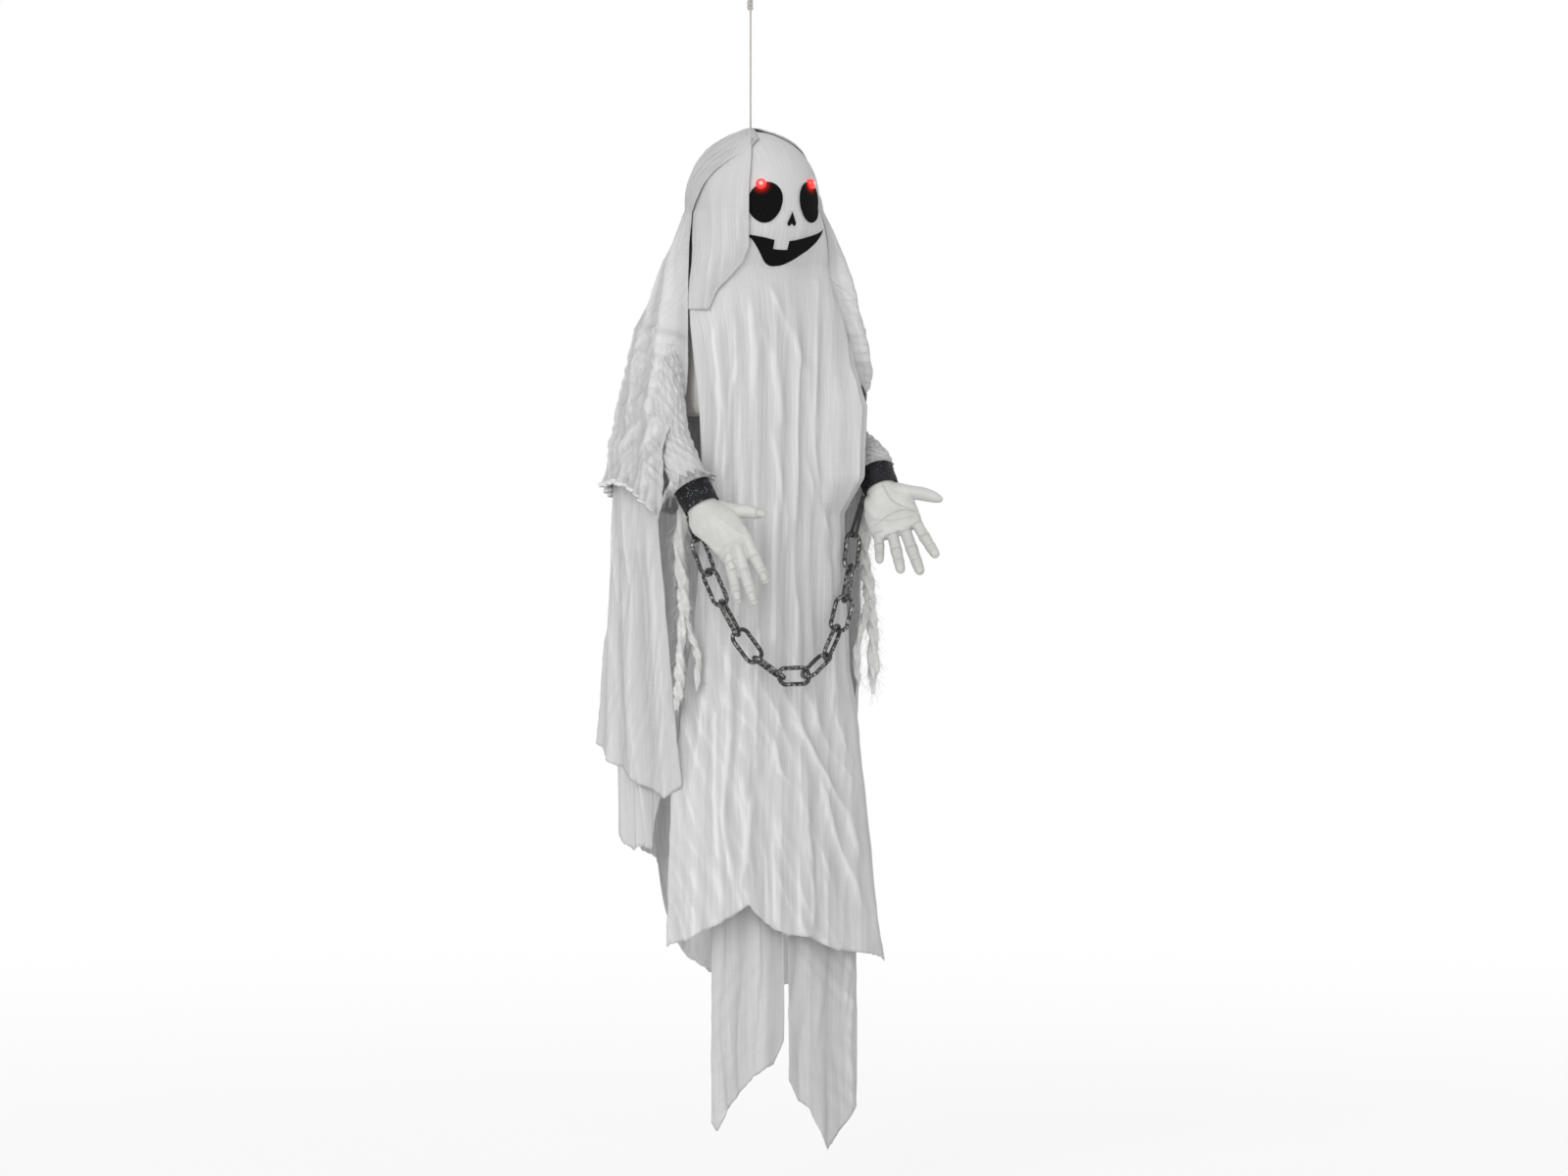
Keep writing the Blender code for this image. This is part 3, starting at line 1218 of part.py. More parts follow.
def make_hand(name, side):
    """Palm with four fingers and a thumb, each a tapered curve joined to it."""
    _, _, wrist, along, across = arm_frame(side)
    flip = 1 if side > 0 else -1
    hand = palm(name, flip)
    matrix = frame_of(across, along, wrist)
    hand.matrix_world = matrix
    digits = []
    for base_x, base_y, tip_x, tip_y, drop, girth in FINGER_SHARES:
        path = []
        for share in (-0.22, 0.12, 0.48, 0.76, 0.94, 1.0):
            bend = max(share, 0.0) ** 2
            path.append(Vector((base_x + (tip_x - base_x) * share,
                                base_y + (tip_y - base_y) * share,
                                -flip * drop * bend)) * PALM_LENGTH)
        digits.append((path, FINGER_RADIUS * girth, (0.95, 1.0, 0.98, 0.90, 0.74, 0.42)))
    thumb = [Vector((x, y, -flip * drop)) * PALM_LENGTH for x, y, drop in THUMB_SHARES]
    digits.append((smooth_path(thumb, 5), THUMB_RADIUS, (1.15, 1.18, 1.05, 0.96, 0.86, 0.50)))
    for index, (path, radius, radii) in enumerate(digits):
        finger = as_mesh(tube(name + "_digit_%d" % index, path, radius, resolution=3,
                              radii=radii))
        finger.matrix_world = matrix
        boolean(hand, finger, "UNION")
    smooth(hand, math.radians(60))


# Chain


def link_outline():
    """Centre line of one link in its own XY, long along X."""
    bend = (LINK_WIDTH - LINK_WIRE) / 2
    straight = (LINK_LENGTH - LINK_WIDTH) / 2
    line = []
    for end in (1, -1):
        for step in range(LINK_BEND_STEPS):
            turn = math.pi * (step / (LINK_BEND_STEPS - 1) - 0.5)
            line.append(Vector((end * (straight + bend * math.cos(turn)),
                                end * bend * math.sin(turn), 0.0)))
    return line


def joint_reaches():
    """Distance from each link's centre to the joint before it, then from the last link on."""
    half = LINK_COUNT // 2
    full = (LINK_LENGTH - LINK_WIRE) / 2
    reaches = [full]
    for joint in range(1, LINK_COUNT):
        gap = BOTTOM_LINK_GAP if joint in (half, half + 1) else LINK_GAP
        reaches.append(full - (LINK_WIRE + gap) / 2)
    return reaches + [full]


def chain_angles():
    """Slope of each link from the level: equal links hang so that the slopes' tangents rise
    by equal steps, and the step is the one that spans the chord."""
    chord = (LEFT_CHAIN_END - RIGHT_CHAIN_END).length
    half = LINK_COUNT // 2
    reaches = joint_reaches()
    low, high = 0.0, 10.0
    for _ in range(60):
        middle = (low + high) / 2
        span = sum((reaches[index + half] + reaches[index + half + 1])
                   * math.cos(math.atan(middle * index)) for index in range(-half, half + 1))
        if span > chord:
            low = middle
        else:
            high = middle
    return [math.atan(low * index) for index in range(-half, half + 1)]


def chain_frame():
    """Chord direction, drop direction and forward direction of the chain's plane."""
    across = (LEFT_CHAIN_END - RIGHT_CHAIN_END).normalized()
    down = Vector((0, 0, -1))
    forward = across.cross(down).normalized()
    if forward.y > 0:
        forward.negate()
    drop = (down * math.cos(CHAIN_LEAN) + forward * math.sin(CHAIN_LEAN)).normalized()
    return across, drop, (forward * math.cos(CHAIN_LEAN) - down * math.sin(CHAIN_LEAN))


def make_chain():
    """Eleven oval links in a hanging curve, each turned on its own axis from the last."""
    across, drop, forward = chain_frame()
    at = RIGHT_CHAIN_END + drop * TAB_REST
    reaches = joint_reaches()
    outline = link_outline()
    for index, slope in enumerate(chain_angles()):
        along = across * math.cos(slope) - drop * math.sin(slope)
        side = across * -math.sin(slope) - drop * math.cos(slope)
        centre = at + along * reaches[index]
        at = centre + along * reaches[index + 1]
        roll = math.radians(LINK_ROLLS[index])
        width = side * math.cos(roll) + forward * math.sin(roll)
        name = "chain_link_%02d" % (index + 1)
        points = []
        for point in outline:
            points.append(centre + along * point.x + width * point.y)
        tube(name, points, LINK_WIRE / 2, "chain_plastic", resolution=2, cyclic=True)


def make_tab(name, side):
    """Strap from the cuff's lower rim to a loop round the end link."""
    across = chain_frame()[0]
    end = RIGHT_CHAIN_END if side < 0 else LEFT_CHAIN_END
    top = tab_top(side)
    down = (end - top).normalized()
    width = (across - down * across.dot(down)).normalized()
    normal = width.cross(down)
    length = (end - top).length
    outer_loop = TAB_LOOP_RADIUS + TAB_STRAP
    shape = []
    for step in range(9):
        turn = math.pi * step / 8
        shape.append((TAB_TOP_RADIUS * math.cos(turn), TAB_TOP_RADIUS * math.sin(turn)))
    for step in range(13):
        turn = math.pi + math.pi * step / 12
        shape.append((outer_loop * math.cos(turn),
                      -length + outer_loop * math.sin(turn)))
    tab = plate(name, shape, TAB_WIDTH, "black_felt")
    matrix = Matrix((normal, -down, -width)).transposed().to_4x4()
    if matrix.determinant() < 0:
        matrix = Matrix((-normal, -down, -width)).transposed().to_4x4()
    matrix.translation = top
    tab.matrix_world = matrix
    bpy.context.view_layer.update()
    tab = as_mesh(tab, "black_felt")
    slot = []
    for step in range(13):
        turn = math.pi + math.pi * step / 12
        slot.append((TAB_LOOP_RADIUS * math.cos(turn), -length + TAB_LOOP_RADIUS * math.sin(turn)))
    slot += [(TAB_TOP_RADIUS - TAB_STRAP, -TAB_TOP_RADIUS * 3),
             (TAB_STRAP - TAB_TOP_RADIUS, -TAB_TOP_RADIUS * 3)]
    opening = plate(name + "_slot", slot, TAB_WIDTH * 2)
    opening.matrix_world = matrix
    bpy.context.view_layer.update()
    boolean(tab, as_mesh(opening))
    smooth(tab)


def tab_top(side):
    """Centre of a tab's rounded top, just past the lower back point of the cuff's rim."""
    _, _, wrist, along, _ = arm_frame(side)
    lean = Vector((0, 0, -1)) if side < 0 else Vector(LEFT_TAB_SHARES)
    back = (lean - along * lean.dot(along)).normalized()
    return (wrist + along * (CUFF_LENGTH / 2 + TAB_TOP_DROP)
            + back * (CUFF_RADIUS + TAB_TOP_OUT))


# Cloth


def wall_sheet(name, grid, columns):
    """Cloth from rows of points: the open surface gets its thickness outwards."""
    points = [point for row in grid for point in row]
    faces = []
    for row in range(len(grid) - 1):
        for column in range(columns - 1):
            start = row * columns + column
            faces.append((start, start + columns, start + columns + 1, start + 1))
    mesh = bpy.data.meshes.new(name)
    mesh.from_pydata([tuple(point) for point in points], [], faces)
    cloth = add_object(name, mesh, "white_cloth")
    solidify(cloth, CLOTH_THICKNESS, 1.0)
    smooth(cloth, math.radians(60))
    return cloth


def hem_level(hem, share):
    """Level of a hem along its width, from a table of width shares and level shares."""
    return interpolate(hem, share)[0] * FIGURE_DROP


def ring_row(columns, start, sweep, point_at):
    """Points of one row, from the start angle through the sweep."""
    return [point_at(start + sweep * column / (columns - 1)) for column in range(columns)]


def make_gown_front():
    """Front sheet: stretched over the face, then falling in long folds to a slanting hem."""
    grid = []
    span = FRONT_SPAN[0][1]
    for radius in CROWN_RINGS:
        grid.append(ring_row(FRONT_COLUMNS, -span, span * 2,
                             lambda azimuth: dome_point(azimuth, radius, CLOTH_STANDOFF)))
    for level in HEAD_LEVELS:
        grid.append(ring_row(FRONT_COLUMNS, -span, span * 2,
                             lambda azimuth: gown_point(azimuth, level, CLOTH_STANDOFF)))
    top = HEAD_LEVELS[-1]
    for down in FRONT_ROW_SHARES:
        line = []
        for column in range(FRONT_COLUMNS):
            share = column / (FRONT_COLUMNS - 1)
            level = top + (hem_level(FRONT_HEM_SHARES, share) - top) * down
            span = interpolate(FRONT_SPAN, level)[0]
            growth = min(1.0, max(0.0, (level - SMOOTH_LEVEL) / FOLD_GROWTH))
            fold = FOLD_DEPTH * growth * math.sin(math.tau * FRONT_FOLDS * share + FOLD_STARTS[0])
            line.append(gown_point(span * (2 * share - 1), level, CLOTH_STANDOFF + fold))
        grid.append(line)
    sheet = wall_sheet("gown_front", grid, FRONT_COLUMNS)
    for side in (-1, 1):
        boolean(sheet, LED_BORES[side])


def back_point(azimuth, level, offset):
    """Point at an offset from the back sheet's inner face."""
    if level <= BODY_SECTIONS[0][0]:
        return head_point(azimuth, head_polar(level, offset), offset)
    middle, _, _, width, depth = interpolate(BODY_SECTIONS, level)
    return place((width + offset) * math.sin(azimuth),
                 middle - (depth + offset) * math.cos(azimuth), level)


def make_gown_back():
    """Back sheet from behind the head to a hem that is longer on the figure's left."""
    grid = []
    start = BACK_SPAN[0][1]
    for level in HEAD_LEVELS[1:]:
        grid.append(ring_row(BACK_COLUMNS, start, math.tau - start * 2,
                             lambda azimuth: back_point(azimuth, level, CLOTH_STANDOFF)))
    top = HEAD_LEVELS[-1]
    for row in range(1, BACK_ROWS + 1):
        line = []
        for column in range(BACK_COLUMNS):
            share = column / (BACK_COLUMNS - 1)
            level = top + (hem_level(BACK_HEM_SHARES, share) - top) * row / BACK_ROWS
            start = interpolate(BACK_SPAN, level)[0]
            growth = min(1.0, max(0.0, (level - SMOOTH_LEVEL) / FOLD_GROWTH))
            fold = FOLD_DEPTH * growth * math.sin(math.tau * BACK_FOLDS * share + FOLD_STARTS[1])
            line.append(back_point(start + (math.tau - 2 * start) * share, level,
                                   CLOTH_STANDOFF + fold))
        grid.append(line)
    wall_sheet("gown_back", grid, BACK_COLUMNS)


def cape_point(azimuth, level, fold):
    """Point of the cape below the head's widest line: a plan that grows squarer lower down."""
    middle, width, front, back, squareness = interpolate(CAPE_SECTIONS, level)
    sine, cosine = math.sin(azimuth), math.cos(azimuth)
    depth = front if cosine > 0 else back
    reach = (abs(sine / width) ** squareness + abs(cosine / depth) ** squareness)
    radius = reach ** (-1 / squareness) + fold
    return place(radius * sine, middle - radius * cosine, level)


def make_cape():
    """Outer shawl over the crown, open in front, that spreads over the shoulders."""
    grid = []
    for radius, degrees in zip(CROWN_RINGS, CAPE_CROWN_ANGLES):
        edge = DEGREE * degrees
        grid.append(ring_row(CAPE_COLUMNS, edge, math.tau - edge * 2,
                             lambda azimuth: dome_point(azimuth, radius, CAPE_LIFT)))
    for level in HEAD_LEVELS[:-1]:
        offset = CAPE_LIFT + CAPE_FLARE * level / HEAD_LEVELS[-1]
        polar = head_polar(level, offset)
        edge = interpolate(CAPE_LEFT, level)[0]
        grid.append(ring_row(CAPE_COLUMNS, edge, math.tau - edge * 2,
                             lambda azimuth: head_point(azimuth, polar, offset)))
    top = HEAD_LEVELS[-1]
    for row in range(CAPE_ROWS + 1):
        line = []
        for column in range(CAPE_COLUMNS):
            share = column / (CAPE_COLUMNS - 1)
            level = top + (hem_level(CAPE_HEM_SHARES, share) - top) * row / CAPE_ROWS
            left = interpolate(CAPE_LEFT, level)[0]
            right = interpolate(CAPE_RIGHT, level)[0]
            growth = min(1.0, max(0.0, (level - top) / FOLD_GROWTH))
            fold = FOLD_DEPTH * growth * math.cos(math.tau * CAPE_FOLDS * (share - 0.5))
            line.append(cape_point(left + (math.tau - left - right) * share, level, fold))
        grid.append(line)
    wall_sheet("hood_cape", grid, CAPE_COLUMNS)


def make_side_drape(name, side):
    """Side sheet that hangs from inside the cape's hem."""
    rise = DRAPE_LEFT_RISE if side > 0 else DRAPE_RIGHT_RISE
    grid = []
    for row in range(DRAPE_ROWS + 1):
        down = row / DRAPE_ROWS
        line = []
        for column in range(DRAPE_COLUMNS):
            share = column / (DRAPE_COLUMNS - 1)
            angle, low_x, low_y = interpolate(DRAPE_PLAN, share)
            top = cape_point(side * angle, DRAPE_TOP_LEVEL,
                             rise - FOLD_DEPTH - CLOTH_THICKNESS)
            hem = place(side * low_x, low_y, hem_level(DRAPE_HEM_SHARES, share))
            fold = FOLD_DEPTH * min(1.0, down * 3) * math.sin(math.tau * DRAPE_FOLDS * share)
            line.append(top + (hem - top) * down + Vector((side * fold, 0, 0)))
        grid.append(line if side > 0 else line[::-1])
    wall_sheet(name, grid, DRAPE_COLUMNS)


def make_leg_tail(name):
    """Long inner strip from the housing's face to a pointed hem below the gown."""
    inner, outer, hem = TAIL_SHARES[name]
    inner *= HEAD_HALF_WIDTH
    outer *= HEAD_HALF_WIDTH
    side = 1 if outer > 0 else -1
    start_y = -HOUSING_DEPTH / 2 - SEAT_GAP
    grid = []
    for row in range(TAIL_ROWS + 1):
        down = row / TAIL_ROWS
        line = []
        for column in range(TAIL_COLUMNS):
            share = column / (TAIL_COLUMNS - 1)
            level = TAIL_TOP_LEVEL + (hem_level(hem, share) - TAIL_TOP_LEVEL) * down
            settle = min(1.0, max(0.0, (level - TAIL_TOP_LEVEL - SEAM_OVERLAP)
                                  / TAIL_SETTLE_DROP))
            narrow = side * (TAIL_TOP_INSET + (TAIL_TOP_HALF - TAIL_TOP_INSET) * share)
            wide = inner + (outer - inner) * share
            low_y = -TAIL_DROP_DEPTH + (TAIL_DROP_DEPTH - TAIL_EDGE_DEPTH) * share ** 2
            fold = TAIL_FOLD * settle * math.sin(math.tau * TAIL_FOLDS * share)
            x = narrow + (wide - narrow) * settle
            y = start_y + (low_y - start_y) * settle
            middle, width, depth = interpolate(BODY_SECTIONS, level)[:3]
            reach = min(abs(x) / width, TAIL_REACH_SHARE)
            limit = middle - depth * math.sqrt(1 - reach ** 2) + TAIL_INSET
            line.append(place(x, max(y, limit * settle + start_y * (1 - settle)) + fold, level))
        grid.append(line if side > 0 else line[::-1])
    wall_sheet(name, grid, TAIL_COLUMNS)


def make_sleeve(name, side):
    """Gathered gauze sleeve round the lower arm, its ruffle over the cuff's edge."""
    path = arm_path(side)
    _, _, wrist, along, _ = arm_frame(side)
    path = [point for point in path if (point - wrist).dot(along) < -CUFF_LENGTH / 2]
    path.append(wrist - along * (CUFF_LENGTH / 2 - SLEEVE_RUFFLE * 3))
    first = int(len(path) * SLEEVE_START_SHARE)
    spine = smooth_path(path[first:], SLEEVE_ROWS)
    grid = []
    for index, point in enumerate(spine):
        share = index / SLEEVE_ROWS
        before = spine[max(index - 1, 0)]
        after = spine[min(index + 1, SLEEVE_ROWS)]
        heading = (after - before).normalized() if index < SLEEVE_ROWS else along
        matrix = frame_of((1, 0, 0), heading, point)
        radius = interpolate(SLEEVE_RADIUS_SHARES, share)[0] * CUFF_RADIUS
        ring = []
        for step in range(SLEEVE_SIDES):
            turn = math.tau * step / SLEEVE_SIDES
            ruffle = SLEEVE_RUFFLE * (1 + math.cos(turn * SLEEVE_SIDES / 2)) / 2
            ring.append(matrix @ Vector(((radius + ruffle) * math.cos(turn), 0.0,
                                         (radius + ruffle) * math.sin(turn))))
        grid.append(ring)
    points = [point for ring in grid for point in ring]
    faces = []
    for row in range(SLEEVE_ROWS):
        for step in range(SLEEVE_SIDES):
            following = (step + 1) % SLEEVE_SIDES
            faces.append((row * SLEEVE_SIDES + step, row * SLEEVE_SIDES + following,
                          (row + 1) * SLEEVE_SIDES + following,
                          (row + 1) * SLEEVE_SIDES + step))
    sleeve = mesh_object(name, points, faces, "white_cloth")
    solidify(sleeve, CLOTH_THICKNESS / 2, 1.0)
    smooth(sleeve, math.radians(60))


def make_strip(name, side):
    """Torn strip of gauze twisted into a rope, thick and thin by turns."""
    _, _, wrist, along, _ = arm_frame(side)
    rear = (Vector((0, 1, 0)) - along * along.y).normalized()
    reach = (SLEEVE_RADIUS_SHARES[-1][1] * CUFF_RADIUS + STRIP_SEAT
             + STRIP_RADIUS * STRIP_TOP_SHARE)
    route = [wrist - along * (CUFF_LENGTH / 2 - SLEEVE_RUFFLE * 3) + rear * reach]
    route += [place_shares(*shares) for shares in STRIP_ROUTE_SHARES[side]]
    path = smooth_path(route, STRIP_POINTS)
    mean, swing = STRIP_TWIST_SHARES
    radii = [STRIP_TOP_SHARE]
    for index in range(1, STRIP_POINTS + 1):
        left = min(1.0, (STRIP_POINTS - index) / STRIP_END_POINTS)
        narrowing = STRIP_END_SHARE + (1 - STRIP_END_SHARE) * left
        radii.append((mean + swing * math.cos(index * STRIP_TWIST_TURN)) * narrowing)
    tube(name, path, STRIP_RADIUS, "white_cloth", resolution=1, radii=radii)


def pivot(name, at, members, parent=None):
    """Empty on a joint's axis that carries the pieces that move about it."""
    made = bpy.data.objects.new(name, None)
    made.empty_display_size = SHAFT_RADIUS
    made.location = at
    PARTS.objects.link(made)
    bpy.context.view_layer.update()
    for member in members:
        child = bpy.data.objects[member]
        child.parent = made
        child.matrix_parent_inverse = made.matrix_world.inverted()
    if parent:
        made.parent = parent
        made.matrix_parent_inverse = parent.matrix_world.inverted()
    return made


def hang_pivots():
    """Pivots of the arms, of the motor's pinion, of the chain and of the slide switch."""
    arms = ["shoulder_shaft", "shoulder_gear"]
    for piece in ("arm", "cuff", "hand", "sleeve", "sleeve_strip"):
        arms += [piece + "_right", piece + "_left"]
    links = ["chain_link_%02d" % (index + 1) for index in range(LINK_COUNT)]
    shoulder = place(0, 0, SHAFT_LEVEL)
    arms_pivot = pivot("arms_pivot", shoulder, arms)
    distance = GEAR_MODULE * (GEAR_TEETH + PINION_TEETH) / 2
    pivot("pinion_pivot", place(GEAR_OFFSET, 0, SHAFT_LEVEL + distance), ["motor_pinion"])
    pivot("chain_pivot", tab_top(-1), ["chain_tab_right", "chain_tab_left"] + links, arms_pivot)
    pivot("switch_pivot", place(SWITCH_OFFSET, HOUSING_DEPTH / 2, SWITCH_LEVEL), ["power_switch"])


for build in (make_head, make_leds, make_face, make_cord, make_neck, make_housing,
              make_battery_bay, make_drive, make_electronics, make_screws, make_chain,
              make_gown_front, make_gown_back, make_cape):
    build()
for side_name, side_sign in (("right", -1), ("left", 1)):
    make_arm("arm_" + side_name, side_sign)
    make_cuff("cuff_" + side_name, side_sign)
    make_hand("hand_" + side_name, side_sign)
    make_tab("chain_tab_" + side_name, side_sign)
    make_side_drape("side_drape_" + side_name, side_sign)
    make_leg_tail("leg_tail_" + side_name)
    make_sleeve("sleeve_" + side_name, side_sign)
    make_strip("sleeve_strip_" + side_name, side_sign)
hang_pivots()
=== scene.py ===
"""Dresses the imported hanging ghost: its cloth, face, hands, cuffs, chain and works."""
import math

import bmesh
import bpy
import numpy as np
from mathutils import Matrix, Vector, noise


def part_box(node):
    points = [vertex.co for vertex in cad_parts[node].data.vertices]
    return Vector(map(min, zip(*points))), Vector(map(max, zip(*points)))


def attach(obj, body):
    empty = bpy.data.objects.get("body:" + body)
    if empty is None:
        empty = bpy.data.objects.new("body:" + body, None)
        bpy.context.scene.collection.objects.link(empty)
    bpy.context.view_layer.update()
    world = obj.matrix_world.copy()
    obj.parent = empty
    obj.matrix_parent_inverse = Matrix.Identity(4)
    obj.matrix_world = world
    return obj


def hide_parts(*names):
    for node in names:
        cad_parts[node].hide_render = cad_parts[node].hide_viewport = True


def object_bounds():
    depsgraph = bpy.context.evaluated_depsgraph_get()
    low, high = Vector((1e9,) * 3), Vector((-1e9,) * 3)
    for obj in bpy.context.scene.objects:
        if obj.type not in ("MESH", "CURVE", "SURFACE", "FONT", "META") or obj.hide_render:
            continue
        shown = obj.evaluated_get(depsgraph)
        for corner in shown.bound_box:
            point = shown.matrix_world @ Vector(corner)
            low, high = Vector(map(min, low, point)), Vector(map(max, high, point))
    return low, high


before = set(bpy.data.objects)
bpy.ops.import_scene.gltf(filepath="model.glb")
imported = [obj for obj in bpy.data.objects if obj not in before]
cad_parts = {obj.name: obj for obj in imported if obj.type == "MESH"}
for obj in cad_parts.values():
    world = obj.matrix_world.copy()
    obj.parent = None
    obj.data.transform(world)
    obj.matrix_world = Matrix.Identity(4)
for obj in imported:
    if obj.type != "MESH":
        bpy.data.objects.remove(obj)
cad_box = [list(corner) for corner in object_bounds()]


# Camera, studio and floor
#
# The figure hangs in a white studio and is seen a little from its right, from hand height.
# Broad soft light comes from the front and above, and the floor lies below the lowest tip.

CAMERA_TURN = math.radians(-30)
CAMERA_RISE = math.radians(2.5)
CAMERA_DISTANCE = 12.0
CAMERA_LENS = 180.0
CAMERA_AIM = Vector((0.0442, -0.0255, -0.935))
FLOOR_DROP = 0.10
FLOOR_SIZE = 60.0
SKY_LIGHT = 0.62
KEY_LIGHT = 0.95
FILL_LIGHT = 0.80


class Value:
    """One output of a shader node that is added, subtracted and multiplied like a number."""

    def __init__(self, finish, socket):
        self.finish, self.socket = finish, socket

    def math(self, operation, *others):
        return self.finish.node("Math", {"operation": operation}, self, *others)

    def __add__(self, other):
        return self.math("ADD", other)

    def __sub__(self, other):
        return self.math("SUBTRACT", other)

    def __rsub__(self, other):
        return self.finish.node("Math", {"operation": "SUBTRACT"}, other, self)

    def __mul__(self, other):
        return self.math("MULTIPLY", other)

    def __truediv__(self, other):
        return self.math("DIVIDE", other)

    def __pow__(self, other):
        return self.math("POWER", other)

    __radd__, __rmul__ = __add__, __mul__

    def top(self, other):
        return self.math("MAXIMUM", other)

    def least(self, other):
        return self.math("MINIMUM", other)

    def sine(self):
        return self.math("SINE")

    def ramp(self, low, high):
        """0 at low and 1 at high, eased between."""
        return self.finish.node("MapRange", {"interpolation_type": "SMOOTHSTEP"},
                                self, low, high, 0.0, 1.0)


class Finish:
    """A node tree with its shader; plain numbers go on the shader's own sockets."""

    def __init__(self, name, plain, tree=None):
        self.material = None
        if tree is None:
            self.material = bpy.data.materials.new(name)
            self.material.use_nodes = True
            tree = self.material.node_tree
        self.tree = tree
        self.shader = tree.nodes.get("Principled BSDF")
        for socket, value in plain.items():
            self.shader.inputs[socket].default_value = value

    def node(self, kind, settings, *inputs, output=0):
        """A node of any kind: its settings first, then the values or links of its sockets."""
        made = self.tree.nodes.new("ShaderNode" + kind)
        stops = settings.get("stops")
        for key, value in settings.items():
            if key != "stops":
                setattr(made, key, value)
        if stops:
            ramp = made.color_ramp.elements
            while len(ramp) < len(stops):
                ramp.new(1.0)
            for element, (place, colour) in zip(ramp, stops):
                element.position, element.color = place, colour
        pairs = inputs[0].items() if inputs and isinstance(inputs[0], dict) else enumerate(inputs)
        for key, value in pairs:
            if isinstance(value, Value):
                self.tree.links.new(value.socket, made.inputs[key])
            elif value is not None:
                made.inputs[key].default_value = value
        return Value(self, made.outputs[output])

    def place(self):
        """The place of the point in the object's own metres."""
        return self.node("TexCoord", {}, output=3)

    def threads(self):
        """Across and down the cloth in metres, from its own map."""
        flat = self.node("UVMap", {"uv_map": "weave"})
        return (self.node("SeparateXYZ", {}, flat, output=0),
                self.node("SeparateXYZ", {}, flat, output=1))

    def noise(self, place, scale, detail=3.0, rough=0.55, bend=0.0):
        return self.node("TexNoise", {}, {"Vector": place, "Scale": scale, "Detail": detail,
                                          "Roughness": rough, "Distortion": bend})

    def stretched(self, place, scales):
        """The place scaled by a different amount each way."""
        return self.node("Mapping", {}, {"Vector": place, "Scale": scales})

    def tint(self, share, first, second):
        """A colour between two others."""
        return self.node("Mix", {"data_type": "RGBA"}, {0: share, 6: first, 7: second}, output=2)

    def feed(self, socket, value):
        self.tree.links.new(value.socket, self.shader.inputs[socket])

    def raise_by(self, height, distance):
        """Fine relief, its height a share of the distance in metres."""
        bump = self.node("Bump", {}, {"Strength": 1.0, "Distance": distance, "Height": height})
        self.feed("Normal", bump)

    def seen_rays(self):
        """1 on rays from the camera and on glossy and transmitted ones, else 0."""
        rays = self.node("LightPath", {}, output=0)
        for ray in (3, 6):
            rays = rays.top(self.node("LightPath", {}, output=ray))
        return rays


scene = bpy.context.scene
scene.view_settings.view_transform = "Standard"

lens = bpy.data.cameras.new("camera")
lens.lens = CAMERA_LENS
camera = bpy.data.objects.new("camera", lens)
scene.collection.objects.link(camera)
sight = Vector((math.sin(CAMERA_TURN) * math.cos(CAMERA_RISE),
                -math.cos(CAMERA_TURN) * math.cos(CAMERA_RISE), math.sin(CAMERA_RISE)))
camera.location = CAMERA_AIM + sight * CAMERA_DISTANCE
camera.rotation_mode = "QUATERNION"
camera.rotation_quaternion = (-sight).to_track_quat("-Z", "Y")
scene.camera = camera

world = bpy.data.worlds.new("studio")
scene.world = world
world.use_nodes = True
sky = Finish("studio", {}, world.node_tree)
sky_rays = sky.seen_rays()
plain_sky = sky.tree.nodes["Background"]
plain_sky.inputs["Color"].default_value = (1.0, 1.0, 1.0, 1.0)
plain_sky.inputs["Strength"].default_value = SKY_LIGHT
white_sky = sky.node("Background", {}, (1.0, 1.0, 1.0, 1.0), 1.0)
mixed_sky = sky.node("MixShader", {}, sky_rays, Value(sky, plain_sky.outputs[0]), white_sky)
sky.tree.links.new(mixed_sky.socket, sky.tree.nodes["World Output"].inputs["Surface"])

for name, strength, spread, heading in (
        ("key_light", KEY_LIGHT, math.radians(30), (0.95, 0.62, -0.62)),
        ("fill_light", FILL_LIGHT, math.radians(40), (0.50, 0.86, -0.10))):
    lamp = bpy.data.lights.new(name, "SUN")
    lamp.energy, lamp.angle = strength, spread
    holder = bpy.data.objects.new(name, lamp)
    holder.rotation_mode = "QUATERNION"
    holder.rotation_quaternion = Vector(heading).to_track_quat("-Z", "Y")
    scene.collection.objects.link(holder)

floor_mesh = bpy.data.meshes.new("floor")
reach, floor_level = FLOOR_SIZE / 2, cad_box[0][2] - FLOOR_DROP
floor_mesh.from_pydata([(-reach, -reach, floor_level), (reach, -reach, floor_level),
                        (reach, reach, floor_level), (-reach, reach, floor_level)],
                       [], [(0, 1, 2, 3)])
floor = bpy.data.objects.new("floor", floor_mesh)
scene.collection.objects.link(floor)
paper = Finish("floor_paper", {"Roughness": 0.9})
paper.feed("Base Color", paper.tint(paper.noise(paper.place(), 3.0), (0.86, 0.86, 0.86, 1.0),
                                    (0.90, 0.90, 0.90, 1.0)))
paper_rays = paper.seen_rays()
paper_glow = paper.node("Emission", {}, (1.0, 1.0, 1.0, 1.0), 1.0)
far = paper.node("VectorMath", {"operation": "DISTANCE"}, paper.place(),
                 (0.0, 0.0, floor_level), output=1).ramp(1.0, 5.0)
mixed_paper = paper.node("MixShader", {}, paper_rays * (far * 0.20 + 0.80),
                         Value(paper, paper.shader.outputs[0]), paper_glow)
paper.tree.links.new(mixed_paper.socket, paper.tree.nodes["Material Output"].inputs["Surface"])
floor_mesh.materials.append(paper.material)


